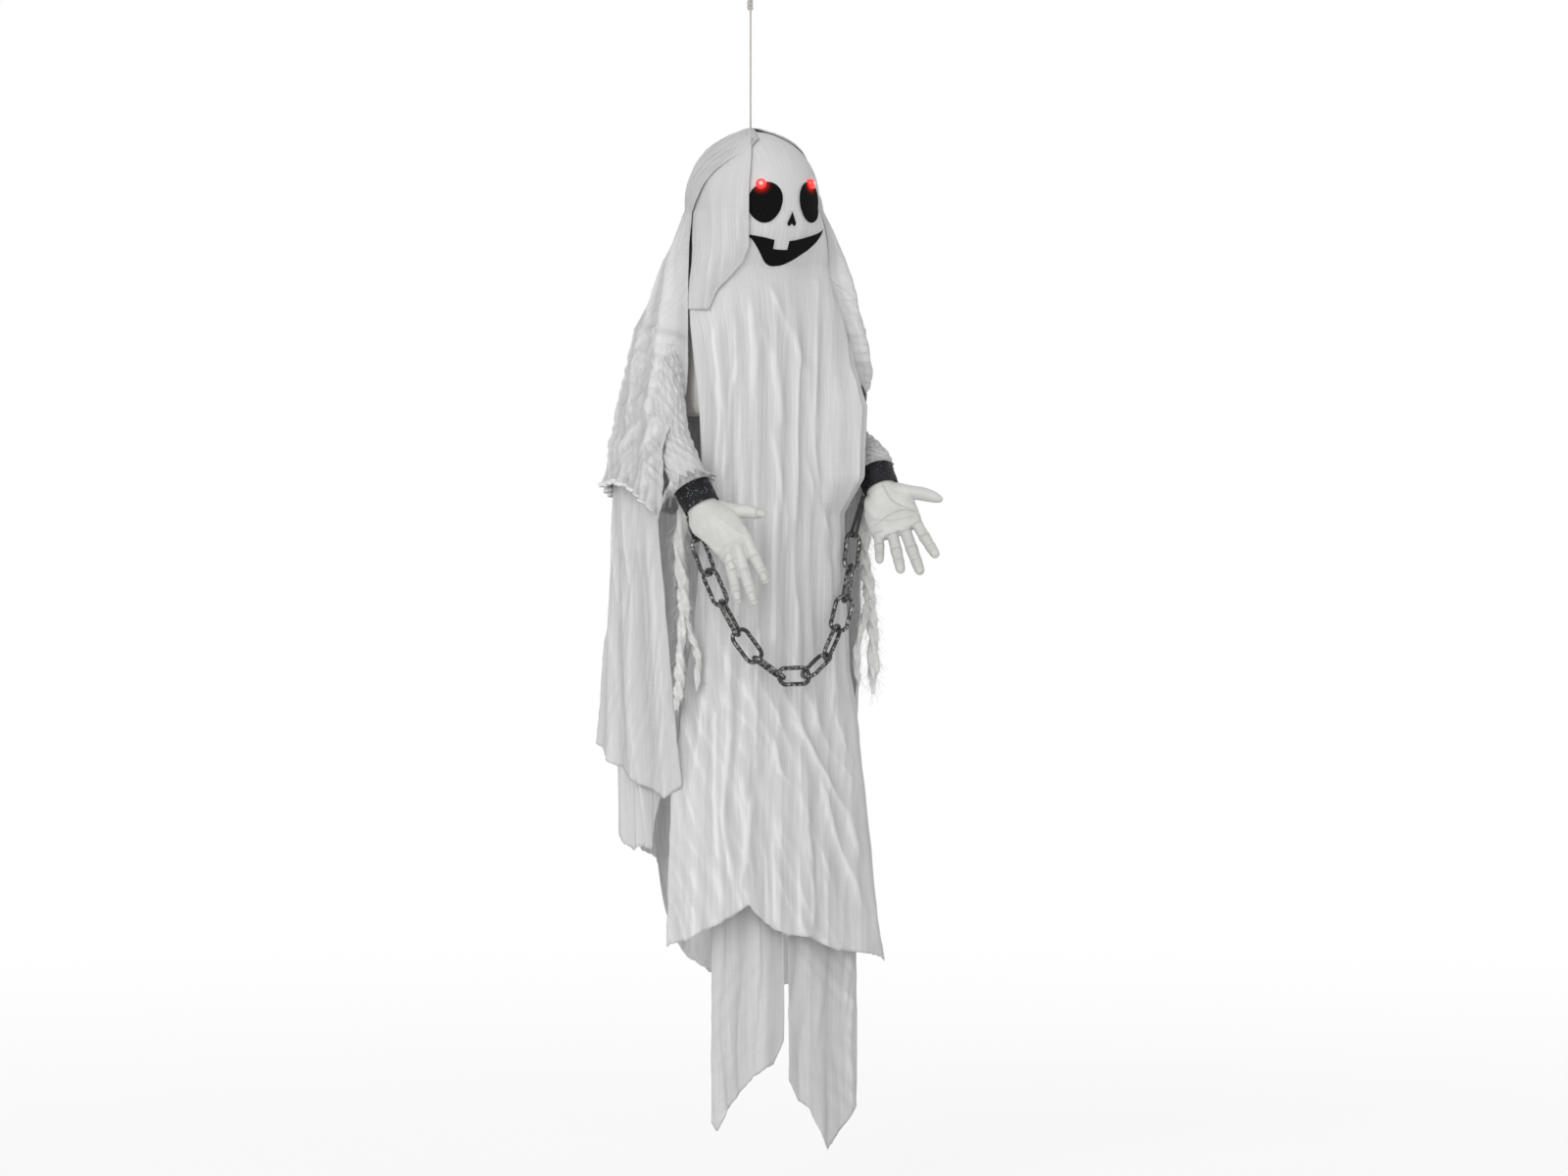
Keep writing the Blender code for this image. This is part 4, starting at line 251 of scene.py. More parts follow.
# Hanging cord
#
# A thin cord of two twisted cotton strands, tied above into a loop that goes over a hook.
# It passes through the crown and is stopped inside the head by a knot on a steel washer.

CROWN_DEPTH = 0.235
CORD_WIRE = 0.0017
CORD_LAY = 0.0062
CORD_STRANDS = 2
LOOP_LENGTH = 0.038
LOOP_WIDTH = 0.014
KNOT_HEIGHT = 0.013


def show(name, mesh, finish=None):
    """A finished mesh in the scene, in the part's own frame."""
    made = bpy.data.objects.new(name, mesh)
    scene.collection.objects.link(made)
    if finish is not None:
        mesh.materials.append(finish.material)
    mesh.shade_smooth()
    return made


def carried(line):
    """Each point of a line, with the way ahead there and a side carried along untwisted."""
    side = None
    for index, point in enumerate(line):
        ahead = (line[min(index + 1, len(line) - 1)] - line[max(index - 1, 0)]).normalized()
        side = ahead.orthogonal().normalized() if side is None else side
        side = (side - ahead * side.dot(ahead)).normalized()
        yield point, ahead, side


def tube_faces(rows, sides, start=0):
    """Faces of a tube from rings of vertices, its ends closed."""
    faces = []
    for row in range(rows - 1):
        corner = start + row * sides
        for step in range(sides):
            after = (step + 1) % sides
            faces.append((corner + step, corner + after, corner + sides + after,
                          corner + sides + step))
    last = start + (rows - 1) * sides
    faces.append(tuple(range(start + sides - 1, start - 1, -1)))
    faces.append(tuple(range(last, last + sides)))
    return faces


def swept(points, radii, sides, start=0):
    """Vertices and faces of a round tube along points, its ends closed."""
    verts = []
    for index, (point, ahead, side) in enumerate(carried(points)):
        other = ahead.cross(side)
        radius = radii[index] if hasattr(radii, "__len__") else radii
        for step in range(sides):
            turn = math.tau * step / sides
            verts.append(point + (side * math.cos(turn) + other * math.sin(turn)) * radius)
    return verts, tube_faces(len(points), sides, start)


def bundle(name, tubes, finish):
    """One mesh from several tubes, each a list of points, its radii and its sides."""
    verts, faces = [], []
    for points, radii, sides in tubes:
        more, joined = swept(points, radii, sides, len(verts))
        verts += more
        faces += joined
    mesh = bpy.data.meshes.new(name)
    mesh.from_pydata([tuple(vert) for vert in verts], [], faces)
    return show(name, mesh, finish)


def twisted(line, radius, lay):
    """Tubes of the strands laid round a line."""
    tubes = []
    for strand in range(CORD_STRANDS):
        path = []
        gone = 0.0
        before = line[0]
        for point, ahead, side in carried(line):
            gone += (point - before).length
            before = point
            turn = math.tau * (gone / lay + strand / CORD_STRANDS)
            path.append(point + (side * math.cos(turn) + ahead.cross(side) * math.sin(turn))
                        * radius * 0.5)
        tubes.append((path, radius * 0.56, 7))
    return tubes


def cotton(name, pale, dark):
    """Twisted cotton: pale, a little soiled, with fine fibres along each strand."""
    finish = Finish(name, {"Roughness": 0.9, "Sheen Weight": 0.25})
    where = finish.place()
    soil = finish.noise(where, 60.0)
    fibre = finish.noise(finish.stretched(where, (2400.0, 2400.0, 500.0)), 1.0)
    finish.feed("Base Color", finish.tint(soil * 0.6 + fibre * 0.4, dark, pale))
    finish.raise_by(fibre, 0.0004)
    return finish


cord_cotton = cotton("cord_cotton", (0.70, 0.68, 0.64, 1.0), (0.42, 0.39, 0.35, 1.0))
cord_top = -LOOP_LENGTH - KNOT_HEIGHT
cord_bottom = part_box("hang_cord")[0].z
cord_line = [Vector((0, 0, cord_top + (cord_bottom - cord_top) * step / 190))
             for step in range(191)]
hang_cord = bundle("hanging_cord", twisted(cord_line, CORD_WIRE, CORD_LAY), cord_cotton)
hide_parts("hang_cord")
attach(hang_cord, "body")


def knotted(height, width, rise):
    """Line of an overhand knot pulled tight, its middle at the given height."""
    line = []
    for step in range(97):
        turn = math.tau * step / 96
        line.append(Vector(((math.sin(turn) + 1.6 * math.sin(2 * turn)) * width / 5.2,
                            (math.cos(turn) - 1.6 * math.cos(2 * turn)) * width / 5.2,
                            rise - math.sin(3 * turn) * height * 0.32)))
    return line


loop_line = []
for step in range(121):
    turn = math.tau * step / 120
    taper = (1 + math.cos(turn)) / 2
    across = LOOP_WIDTH / 2 * math.sin(turn) * (0.25 + 0.75 * taper)
    loop_line.append(Vector((across, 0.0, CORD_WIRE - (LOOP_LENGTH + CORD_WIRE) * (1 - taper))))
knot_tubes = []
for part in range(2):
    shift = Vector((0, 0, KNOT_HEIGHT * (0.22 - 0.44 * part)))
    knot_tubes += twisted([point + shift for point in
                           knotted(KNOT_HEIGHT, 0.0082, cord_top + KNOT_HEIGHT / 2)],
                          CORD_WIRE * 0.8, CORD_LAY)
loop = bundle("cord_loop", twisted(loop_line, CORD_WIRE * 0.8, CORD_LAY) + knot_tubes, cord_cotton)
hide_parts("hang_loop")
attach(loop, "body")

stopper_low, stopper_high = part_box("stopper_knot")
stopper = bundle("stopper_knot_cord", twisted(
    knotted(KNOT_HEIGHT, 0.0082, (stopper_low.z + stopper_high.z) / 2), CORD_WIRE, CORD_LAY),
    cord_cotton)
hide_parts("stopper_knot")
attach(stopper, "body")
[tuple(point) for point in reversed(cord_line)]


# Head shell, neck, housing and works
#
# Two blow-moulded white halves make the hollow egg of the head; a neck tube joins it to a white
# battery housing. They keep the solids' own shapes and get moulded plastic, steel and brass.

def moulded(name, base, mottle, plain, grain=900.0, relief=0.0002):
    """Moulded plastic or metal: a faint cloudy tone, a fine surface grain, scuffs."""
    finish = Finish(name, plain)
    where = finish.place()
    cloud = finish.noise(where, 28.0)
    speck = finish.noise(where, grain)
    finish.feed("Base Color", finish.tint(cloud.ramp(0.35, 0.65), base, mottle))
    finish.feed("Roughness", plain["Roughness"] + (cloud - 0.5) * 0.25)
    finish.raise_by(speck, relief)
    return finish


shell_plastic = moulded("shell_plastic", (0.80, 0.79, 0.76, 1.0), (0.72, 0.71, 0.67, 1.0),
                        {"Roughness": 0.45})
grey_plastic = moulded("grey_plastic", (0.20, 0.20, 0.21, 1.0), (0.15, 0.15, 0.16, 1.0),
                       {"Roughness": 0.5})
black_plastic = moulded("black_plastic", (0.020, 0.020, 0.022, 1.0),
                        (0.032, 0.032, 0.035, 1.0), {"Roughness": 0.42})
zinc_steel = moulded("zinc_steel", (0.56, 0.57, 0.59, 1.0), (0.40, 0.41, 0.43, 1.0),
                     {"Roughness": 0.34, "Metallic": 1.0}, 1600.0, 0.0001)
cut_brass = moulded("cut_brass", (0.62, 0.44, 0.17, 1.0), (0.48, 0.33, 0.12, 1.0),
                    {"Roughness": 0.32, "Metallic": 1.0}, 1600.0, 0.0001)
cell_jacket = moulded("cell_jacket", (0.045, 0.05, 0.06, 1.0), (0.30, 0.20, 0.05, 1.0),
                      {"Roughness": 0.30, "Coat Weight": 0.4})
board_green = moulded("board_green", (0.012, 0.11, 0.035, 1.0), (0.02, 0.17, 0.06, 1.0),
                      {"Roughness": 0.35}, 2400.0, 0.0003)
for finish, nodes in (
        (shell_plastic, ("head_shell_front", "head_shell_back", "neck_tube", "housing_front",
                         "housing_back", "battery_door")),
        (grey_plastic, ("arm_right", "arm_left", "gear_motor")),
        (black_plastic, ("speaker", "power_switch")),
        (zinc_steel, ("shoulder_shaft", "stopper_washer", "case_screw_1", "case_screw_2",
                      "case_screw_3", "case_screw_4")),
        (cut_brass, ("shoulder_gear", "motor_pinion")),
        (cell_jacket, ("battery_cells",)),
        (board_green, ("circuit_board",))):
    for node in nodes:
        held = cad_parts[node]
        for slot in held.material_slots:
            slot.material = finish.material
        if not held.material_slots:
            held.data.materials.append(finish.material)


# Gown front
#
# One sheet of sheer white voile stretched over the face and falling in long soft folds to a torn
# slanting hem. It is caught at the crown, and its right edge is doubled back beside the face.

HEAD_MIDDLE_Y, HEAD_LEVEL = -0.012, 0.106
HEAD_WIDE, HEAD_DEEP, HEAD_UP, HEAD_DOWN = 0.0930, 0.1060, 0.1005, 0.1290
CROWN_EDGE, CROWN_START = 0.0450, 0.0035
VOILE_STANDOFF = 0.0016
VOILE_WALL = 0.0006
FOLD_FADE = 0.03
BODY_SECTIONS = (
    # level below the crown, middle y, front half width and depth, back half width and depth
    (0.121, -0.0120, 0.0932, 0.1062, 0.0932, 0.1062),
    (0.150, -0.0120, 0.0960, 0.1030, 0.1020, 0.1085),
    (0.180, -0.0110, 0.1000, 0.0915, 0.1090, 0.1080),
    (0.208, -0.0090, 0.1060, 0.0760, 0.1160, 0.1080),
    (0.225, -0.0070, 0.1110, 0.0750, 0.1220, 0.1090),
    (0.306, -0.0050, 0.1380, 0.0920, 0.1500, 0.1130),
    (0.420, -0.0050, 0.1410, 0.0945, 0.1580, 0.1180),
    (0.560, -0.0050, 0.1380, 0.0930, 0.1660, 0.1240),
    (0.690, -0.0050, 0.1360, 0.0890, 0.1700, 0.1280),
    (0.830, -0.0050, 0.1440, 0.0900, 0.1720, 0.1300),
    (1.000, -0.0050, 0.1650, 0.1030, 0.1740, 0.1300),
    (1.300, -0.0050, 0.1880, 0.1160, 0.1780, 0.1280))
SWELLS = (
    # level, then how far the front's left side stands out in x and in y
    (0.121, 0.000, 0.000), (0.160, 0.008, -0.006), (0.192, 0.013, -0.010),
    (0.240, 0.013, -0.010), (0.300, 0.010, -0.012), (0.360, 0.013, -0.022),
    (0.420, 0.026, -0.040), (0.530, 0.026, -0.040), (0.585, 0.012, -0.004),
    (0.830, 0.014, -0.004), (1.040, 0.018, -0.004), (1.170, 0.021, -0.004),
    (1.277, 0.032, -0.004))
FRONT_SPANS = (
    # level, half angle that the sheet covers, in degrees
    (0.121, 104), (0.170, 97), (0.225, 84), (0.306, 66), (0.420, 58), (0.560, 56),
    (0.690, 61), (0.830, 67), (1.000, 72), (1.275, 68))
FRONT_HEM = (
    # share of the width from the figure's right, level
    (0.00, 1.239), (0.05, 1.232), (0.11, 1.226), (0.18, 1.213), (0.27, 1.196), (0.345, 1.175),
    (0.37, 1.190), (0.44, 1.215), (0.50, 1.225), (0.58, 1.228), (0.68, 1.250), (0.78, 1.259),
    (0.90, 1.268), (1.00, 1.277))
FRONT_CRESTS = (
    # height and width of the fold, then its level and its place across as seen by the camera
    (3.4, 9, (0.230, 0.0240), (0.270, 0.0420), (0.317, 0.0615), (0.377, 0.0825)),
    (3.2, 7, (0.282, -0.0510), (0.323, -0.0540), (0.386, -0.0450), (0.447, -0.0375)),
    (4.4, 7, (0.342, -0.0195), (0.401, -0.0300), (0.507, -0.0375), (0.540, -0.0465)),
    (3.0, 9, (0.285, 0.0135), (0.342, 0.0300), (0.414, 0.0420), (0.462, 0.0465)),
    (3.0, 8, (0.213, 0.0990), (0.298, 0.0990), (0.414, 0.0960), (0.484, 0.1020)),
    (2.4, 8, (0.198, 0.1275), (0.257, 0.1395), (0.329, 0.1515), (0.414, 0.1605)),
    (3.8, 7, (0.372, -0.0510), (0.440, -0.0465), (0.522, -0.0540), (0.612, -0.0600)),
    (3.0, 8, (0.447, 0.0285), (0.507, 0.0390), (0.582, 0.0510), (0.649, 0.0540)),
    (3.4, 9, (0.345, 0.0810), (0.447, 0.0885), (0.522, 0.0990), (0.582, 0.1185)),
    (2.6, 8, (0.484, 0.0735), (0.537, 0.0885), (0.582, 0.1050), (0.642, 0.1260)),
    (2.8, 8, (0.559, 0.0360), (0.690, 0.0315), (0.792, 0.0345)),
    (3.4, 8, (0.747, 0.0135), (0.875, 0.0060), (0.987, 0.0090)),
    (4.2, 6, (0.861, -0.0525), (0.993, -0.0540), (1.115, -0.0480)),
    (3.8, 6, (0.898, -0.0285), (1.040, -0.0420), (1.152, -0.0270)),
    (3.4, 7, (0.993, 0.0045), (1.152, -0.0150)),
    (3.2, 6, (0.913, 0.0315), (0.974, 0.0420), (1.006, 0.0690)),
    (3.6, 7, (0.881, 0.0510), (0.927, 0.0795), (1.040, 0.1395), (1.122, 0.1650)),
    (3.2, 7, (0.898, 0.0750), (1.040, 0.1170), (1.115, 0.1395), (1.176, 0.1650)),
    (3.2, 6, (1.062, 0.0315), (1.218, 0.0375)),
    (2.6, 6, (1.058, 0.0885), (1.218, 0.0960)),
    (2.6, 6, (1.092, 0.0690), (1.227, 0.0750)),
    (3.4, 10, (0.252, -0.0015), (0.342, 0.0030), (0.432, -0.0030), (0.552, -0.0090),
     (0.702, -0.0210)),
    (2.6, 9, (0.642, 0.1185), (0.762, 0.1260), (0.882, 0.1200)),
    (2.6, 9, (0.702, 0.0690), (0.822, 0.0780), (0.912, 0.0960)),
    (2.8, 10, (0.252, 0.0600), (0.372, 0.0690), (0.477, 0.0690), (0.612, 0.0630)))


def at_level(x, y, level):
    """Point at a level below the crown."""
    return Vector((x, y, -CROWN_DEPTH - level))


def between(table, key):
    """The row of a table at a key, between its neighbours in proportion."""
    if key <= table[0][0]:
        return table[0][1:]
    for before, after in zip(table, table[1:]):
        if key <= after[0]:
            share = (key - before[0]) / (after[0] - before[0])
            return tuple(a + (b - a) * share for a, b in zip(before[1:], after[1:]))
    return table[-1][1:]


def ease(low, high, value):
    """0 at low and 1 at high, with a soft start and end between."""
    share = min(1.0, max(0.0, (value - low) / (high - low)))
    return share * share * (3 - 2 * share)


def head_angle(level, offset):
    """Angle from the crown at which the egg of the head reaches a level."""
    rise = HEAD_LEVEL - level
    tall = (HEAD_UP if rise > 0 else HEAD_DOWN) + offset
    return math.acos(max(-1.0, min(1.0, rise / tall)))


def head_point(angle, level, offset):
    down = head_angle(level, offset)
    return at_level((HEAD_WIDE + offset) * math.sin(down) * math.sin(angle),
                    HEAD_MIDDLE_Y - (HEAD_DEEP + offset) * math.sin(down) * math.cos(angle),
                    level)


def crown_point(angle, radius, offset):
    """Point near the crown, on rings that open from the cord."""
    share = (radius - CROWN_START) / (CROWN_EDGE - CROWN_START)
    x = radius * math.sin(angle)
    y = (HEAD_MIDDLE_Y * share
         - radius * (1 + (HEAD_DEEP / HEAD_WIDE - 1) * share) * math.cos(angle))
    over = 1 - (x / (HEAD_WIDE + offset)) ** 2 - ((y - HEAD_MIDDLE_Y) / (HEAD_DEEP + offset)) ** 2
    return Vector((x, y, -CROWN_DEPTH - HEAD_LEVEL + (HEAD_UP + offset) * math.sqrt(over)))


def gown_point(angle, level, offset, back=0):
    """Point of the gown at an offset from its lining: over the head, then on body sections."""
    if level <= BODY_SECTIONS[0][0]:
        return head_point(angle, level, offset)
    section = between(BODY_SECTIONS, level)
    wide, deep = section[1 + 2 * back] + offset, section[2 + 2 * back] + offset
    out, forward = between(SWELLS, level)
    swell = 0.0 if back else ease(math.radians(15), math.radians(50), angle)
    return at_level(wide * math.sin(angle) + out * swell,
                    section[0] - deep * math.cos(angle) + forward * swell, level)


def seen_across(point):
    """How far right a point lies of the cord, as the camera sees it."""
    return point.x * math.cos(CAMERA_TURN) + point.y * math.sin(CAMERA_TURN)


def crests(table, across, level):
    """Height of the long folds of a table at one place, each crest narrow and soft-footed."""
    lift = 0.0
    for height, width, *route in table:
        if not route[0][0] <= level <= route[-1][0]:
            continue
        gap = (across - between(route, level)[0]) / (width * 0.001)
        if abs(gap) > 5:
            continue
        ends = ease(0, FOLD_FADE, level - route[0][0]) * ease(0, FOLD_FADE, route[-1][0] - level)
        lift += height * 0.001 * ends / (1 + gap * gap) ** 1.5
    return lift


def creases(across, level, pitch, length, lean=0.0, seed=0.0):
    """Irregular long creases, from -1 to 1: crests are narrow, troughs are wide."""
    slid = across + level * lean
    bend = noise.noise(Vector((across * 9, level * 5, seed + 3.7))) * 0.9
    wave = noise.noise(Vector((slid / pitch + bend, level / length, seed)))
    return 1 - 2.6 * abs(wave) ** 0.8


def cloth(name, grid, finish, wall=VOILE_WALL, closed=False):
    """Sheet of cloth from rows of points, mapped in metres along its threads."""
    rows, columns = len(grid), len(grid[0])
    verts = [tuple(point) for row in grid for point in row]
    faces = []
    for row in range(rows - 1):
        for column in range(columns - (0 if closed else 1)):
            after = (column + 1) % columns
            faces.append((row * columns + column, (row + 1) * columns + column,
                          (row + 1) * columns + after, row * columns + after))
    mesh = bpy.data.meshes.new(name)
    mesh.from_pydata(verts, [], faces)
    places = np.array(verts).reshape(rows, columns, 3)
    across = np.zeros((rows, columns))
    across[:, 1:] = np.cumsum(np.linalg.norm(np.diff(places, axis=1), axis=2), axis=1)
    across -= across[:, columns // 2][:, None]
    down = np.zeros((rows, columns))
    down[1:] = np.cumsum(np.linalg.norm(np.diff(places, axis=0), axis=2), axis=0)
    flat = np.stack((across.ravel(), down.ravel()), axis=1)
    corners = np.zeros(len(mesh.loops), int)
    mesh.loops.foreach_get("vertex_index", corners)
    mesh.uv_layers.new(name="weave").data.foreach_set("uv", flat[corners].ravel())
    outward = np.cross(np.gradient(places, axis=0), np.gradient(places, axis=1))
    outward /= np.linalg.norm(outward, axis=2)[:, :, None] + 1e-12
    # The fold attribute: how far each point stands out of its neighbours. The gauze uses it for
    # painted highlights on crests, painted shade in hollows, and a little more cover.
    crest = np.zeros((rows, columns))
    for reach in (2, 5):
        near = np.roll(places, reach, axis=1) + np.roll(places, -reach, axis=1)
        rise = ((places - near / 2) * outward).sum(axis=2)
        if not closed:
            rise[:, :reach] = rise[:, -reach:] = 0.0
        crest += np.clip(rise / (0.0007 * reach), -1, 1) / 2
    mesh.attributes.new("fold", "FLOAT", "POINT").data.foreach_set("value", crest.ravel())
    made = show(name, mesh, finish)
    if wall:
        thick = made.modifiers.new("wall", "SOLIDIFY")
        thick.thickness, thick.offset = wall, 1.0
    return made


def gauze(name, pale, shade, pitch, solid, open_share, relief):
    """Sheer woven cotton: fine long threads, a crossing weave, thin places, small open cells;
    painted highlights on the crests of its folds and painted shade at their feet."""
    finish = Finish(name, {"Roughness": 0.85, "Sheen Weight": 0.12, "Specular IOR Level": 0.15})
    across, down = finish.threads()
    flat = finish.node("UVMap", {"uv_map": "weave"})
    fold = finish.node("Attribute", {"attribute_name": "fold"}, output=2)
    thread = (across * (math.tau / pitch)).sine().top((down * (math.tau / pitch)).sine())
    warp = finish.noise(finish.stretched(flat, (1 / pitch / 1.6, 7.0, 1.0)), 1.0, 2.0)
    weft = finish.noise(finish.stretched(flat, (7.0, 1 / pitch / 1.6, 1.0)), 1.0, 2.0)
    cloud = finish.noise(finish.stretched(flat, (22.0, 6.0, 1.0)), 1.0, 4.0)
    # Painted shade: the fold attribute darkens the feet of the folds, mixed with the weave's own
    # tone.
    tone = fold * 0.34 + 0.50 + (warp - 0.5) * 0.75 + (weft - 0.5) * 0.12 + (cloud - 0.5) * 0.4
    bright = finish.tint(tone.top(0.0).least(1.0), shade, pale)
    # Painted highlight: the crests of the folds are lifted towards white.
    finish.feed("Base Color", finish.tint(fold.ramp(0.35, 0.95) * 0.5, bright,
                                          (0.93, 0.93, 0.93, 1.0)))
    hole = (1 - thread.ramp(-0.55, 0.15)) * cloud.ramp(0.42, 0.62)
    cover = solid + (cloud - 0.5) * 0.16 + (warp * 0.8 + weft * 0.2 - 0.5) * 0.30 + fold * 0.06
    finish.feed("Alpha", (cover - hole * open_share).top(0.12).least(1.0))
    finish.raise_by(thread * 0.3 + warp * 0.8 + weft * 0.1 + cloud * 0.6, relief)
    return finish


gown_voile = gauze("gown_voile", (0.84, 0.84, 0.835, 1.0), (0.67, 0.67, 0.675, 1.0),
                   0.0011, 0.93, 0.06, 0.0006)


def front_lift(share, level, across):
    """Height of the gown front's folds over its even surface."""
    grown = ease(0.205, 0.330, level)
    drift = 2.4 * noise.noise(Vector((share * 3.5, level * 1.6, 8.2)))
    lift = 0.0015 * grown * math.sin(math.tau * 9 * share + 1.1 + drift)
    lift += 1.1 * crests(FRONT_CRESTS, across, level)
    lift += 0.0012 * grown * creases(across, level, 0.020, 0.30, 0.0, 1.0)
    lift += 0.0006 * grown * creases(across, level, 0.008, 0.22, 0.02, 6.0)
    lift += 0.0016 * ease(0.60, 0.90, level) * creases(across, level, 0.028, 0.22, -0.42, 2.0)
    lift += 0.0004 * ease(0.0, 0.05, level) * creases(across, level, 0.045, 0.20, 0.0, 5.0)
    return max(lift, -0.0040)


CROWN_ROWS, HEAD_ROWS, FRONT_ROWS, FRONT_COLUMNS = 9, 26, 185, 141
grid = []
for row in range(CROWN_ROWS):
    radius = CROWN_START + (CROWN_EDGE - CROWN_START) * row / CROWN_ROWS
    grid.append([crown_point(math.radians(104) * (2 * column / (FRONT_COLUMNS - 1) - 1), radius,
                             VOILE_STANDOFF) for column in range(FRONT_COLUMNS)])
for row in range(HEAD_ROWS):
    line = []
    for column in range(FRONT_COLUMNS):
        share = column / (FRONT_COLUMNS - 1)
        angle = math.radians(104) * (2 * share - 1)
        start = crown_point(angle, CROWN_EDGE, VOILE_STANDOFF)
        level = -CROWN_DEPTH - start.z
        level += (BODY_SECTIONS[0][0] - level) * row / HEAD_ROWS
        flat = gown_point(angle, level, VOILE_STANDOFF)
        line.append(gown_point(angle, level, VOILE_STANDOFF
                               + front_lift(share, level, seen_across(flat))))
    grid.append(line)
for row in range(FRONT_ROWS + 1):
    line = []
    for column in range(FRONT_COLUMNS):
        share = column / (FRONT_COLUMNS - 1)
        torn = 0.0025 * noise.noise(Vector((share * 60, 0.3, 0.0)))
        top, hem = BODY_SECTIONS[0][0], between(FRONT_HEM, share)[0] + torn
        level = top + (hem - top) * row / FRONT_ROWS
        angle = math.radians(between(FRONT_SPANS, level)[0]) * (2 * share - 1)
        flat = gown_point(angle, level, VOILE_STANDOFF)
        line.append(gown_point(angle, level, VOILE_STANDOFF
                               + front_lift(share, level, seen_across(flat))))
    grid.append(line)
gown_front = cloth("gown_front_voile", grid, gown_voile)
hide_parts("gown_front")
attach(gown_front, "body")


# Doubled edge beside the face
#
# The gown front's right margin is folded back on itself and pulled over the side of the face, so
# its straight edge covers the outer part of the right eye and ends in a small square window.

FOLD_EDGE = (
    # level, place of the folded edge as the camera sees it
    (0.000, 0.0010), (0.040, 0.0020), (0.060, 0.0005), (0.083, -0.0015), (0.177, -0.0015),
    (0.201, -0.0105), (0.225, -0.0315), (0.2445, -0.0510), (0.273, -0.0620))
FOLD_BOTTOM = 0.273
fold_voile = gauze("fold_voile", (0.84, 0.84, 0.84, 1.0), (0.68, 0.68, 0.685, 1.0),
                   0.0011, 0.86, 0.10, 0.0006)


def angle_seen_at(across, point_at):
    """Angle at which a level's point is seen at a place across."""
    low, high = math.radians(-104), math.radians(60)
    for _ in range(26):
        middle = (low + high) / 2
        if seen_across(point_at(middle)) < across:
            low = middle
        else:
            high = middle
    return low


def fold_lift(level, edge, across, angle):
    """Offset of the doubled edge: close under the cape's edge, proud where it ends."""
    near = math.exp(-((edge - across) / 0.005) ** 2)
    out = ease(math.radians(-96), math.radians(-30), angle)
    lift = 0.0036 + 0.0030 * out + 0.0022 * near * ease(0.03, 0.08, level)
    lift += 0.0011 * creases(across, level, 0.022, 0.16, 0.10, 7.0) * ease(0.03, 0.09, level)
    if level > 0.18:
        lift += 0.0030 * math.exp(-((across + 0.0560 + (level - 0.18) * 0.12) / 0.005) ** 2) \
            * ease(0.18, 0.21, level)
    return lift


grid = []
for row in range(9):
    radius = CROWN_START + (CROWN_EDGE - CROWN_START) * row / 9
    edge = angle_seen_at(0.0015, lambda angle: crown_point(angle, radius, 0.0036))
    line = []
    for column in range(61):
        angle = math.radians(-104) + (edge - math.radians(-104)) * column / 60
        line.append(crown_point(angle, radius, 0.0030))
    grid.append(line)
for row in range(81):
    line = []
    for column in range(61):
        share = column / 60
        level = 0.0135 + (FOLD_BOTTOM - 0.0135) * row / 80
        edge_across = between(FOLD_EDGE, level)[0]
        edge = angle_seen_at(edge_across, lambda angle: gown_point(angle, level, 0.0065))
        span = math.radians(-between(FRONT_SPANS, level)[0])
        angle = span + (edge - span) * share
        flat = gown_point(angle, level, 0.0055)
        lift = fold_lift(level, edge_across, seen_across(flat), angle)
        line.append(gown_point(angle, level, lift))
    grid.append(line)
face_fold = cloth("gown_front_fold", grid, fold_voile)
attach(face_fold, "body")


# Gown back
#
# A second voile sheet, stitched to the crown under the cape and open at both sides; it hangs
# in loose folds to a long slanting hem that shows beside and below the front.

BACK_SPANS = ((0.121, 112), (0.225, 116), (0.306, 124), (0.420, 120), (0.560, 112), (1.329, 104))
BACK_HEM = ((0.00, 1.329), (0.08, 1.318), (0.25, 1.322), (0.38, 1.305), (0.50, 1.300),
            (0.58, 1.275), (0.62, 1.255), (0.66, 1.235), (0.70, 1.200), (0.74, 1.125),
            (0.82, 1.108), (0.92, 1.096), (1.00, 1.080))
back_voile = gauze("back_voile", (0.84, 0.84, 0.84, 1.0), (0.70, 0.70, 0.705, 1.0),
                   0.0011, 0.66, 0.08, 0.0006)
BACK_COLUMNS, BACK_HEAD_ROWS, BACK_ROWS = 131, 14, 150
grid = []
for row in range(BACK_HEAD_ROWS + BACK_ROWS + 1):
    line = []
    for column in range(BACK_COLUMNS):
        share = column / (BACK_COLUMNS - 1)
        if row < BACK_HEAD_ROWS:
            level = 0.047 + (0.121 - 0.047) * row / BACK_HEAD_ROWS
        else:
            torn = 0.0030 * noise.noise(Vector((share * 70, 4.3, 0.0)))
            hem = between(BACK_HEM, share)[0] + torn
            level = 0.121 + (hem - 0.121) * (row - BACK_HEAD_ROWS) / BACK_ROWS
        start = math.radians(between(BACK_SPANS, level)[0])
        angle = start + (math.tau - 2 * start) * share
        grown = ease(0.212, 0.332, level)
        place = share * 0.52
        lift = 0.0034 * grown * math.sin(math.tau * 7 * share + 0.4)
        lift += 0.0020 * grown * creases(place, level, 0.030, 0.40, 0.04, 11.0)
        lift += 0.0011 * grown * creases(place, level, 0.013, 0.25, -0.06, 12.0)
        lift += 0.0016 * ease(0.55, 0.9, level) * creases(place, level, 0.034, 0.25, 0.35, 13.0)
        line.append(gown_point(angle, level, VOILE_STANDOFF + lift, back=1))
    grid.append(line)
gown_back = cloth("gown_back_voile", grid, back_voile)
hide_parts("gown_back")
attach(gown_back, "body")


# Hood and shoulder cape
#
# A shawl of crinkled open gauze gathered round the cord at the crown. It falls over the back and
# both shoulders, open in front, and its lower edge is a rolled, frilled hem over the wrists.

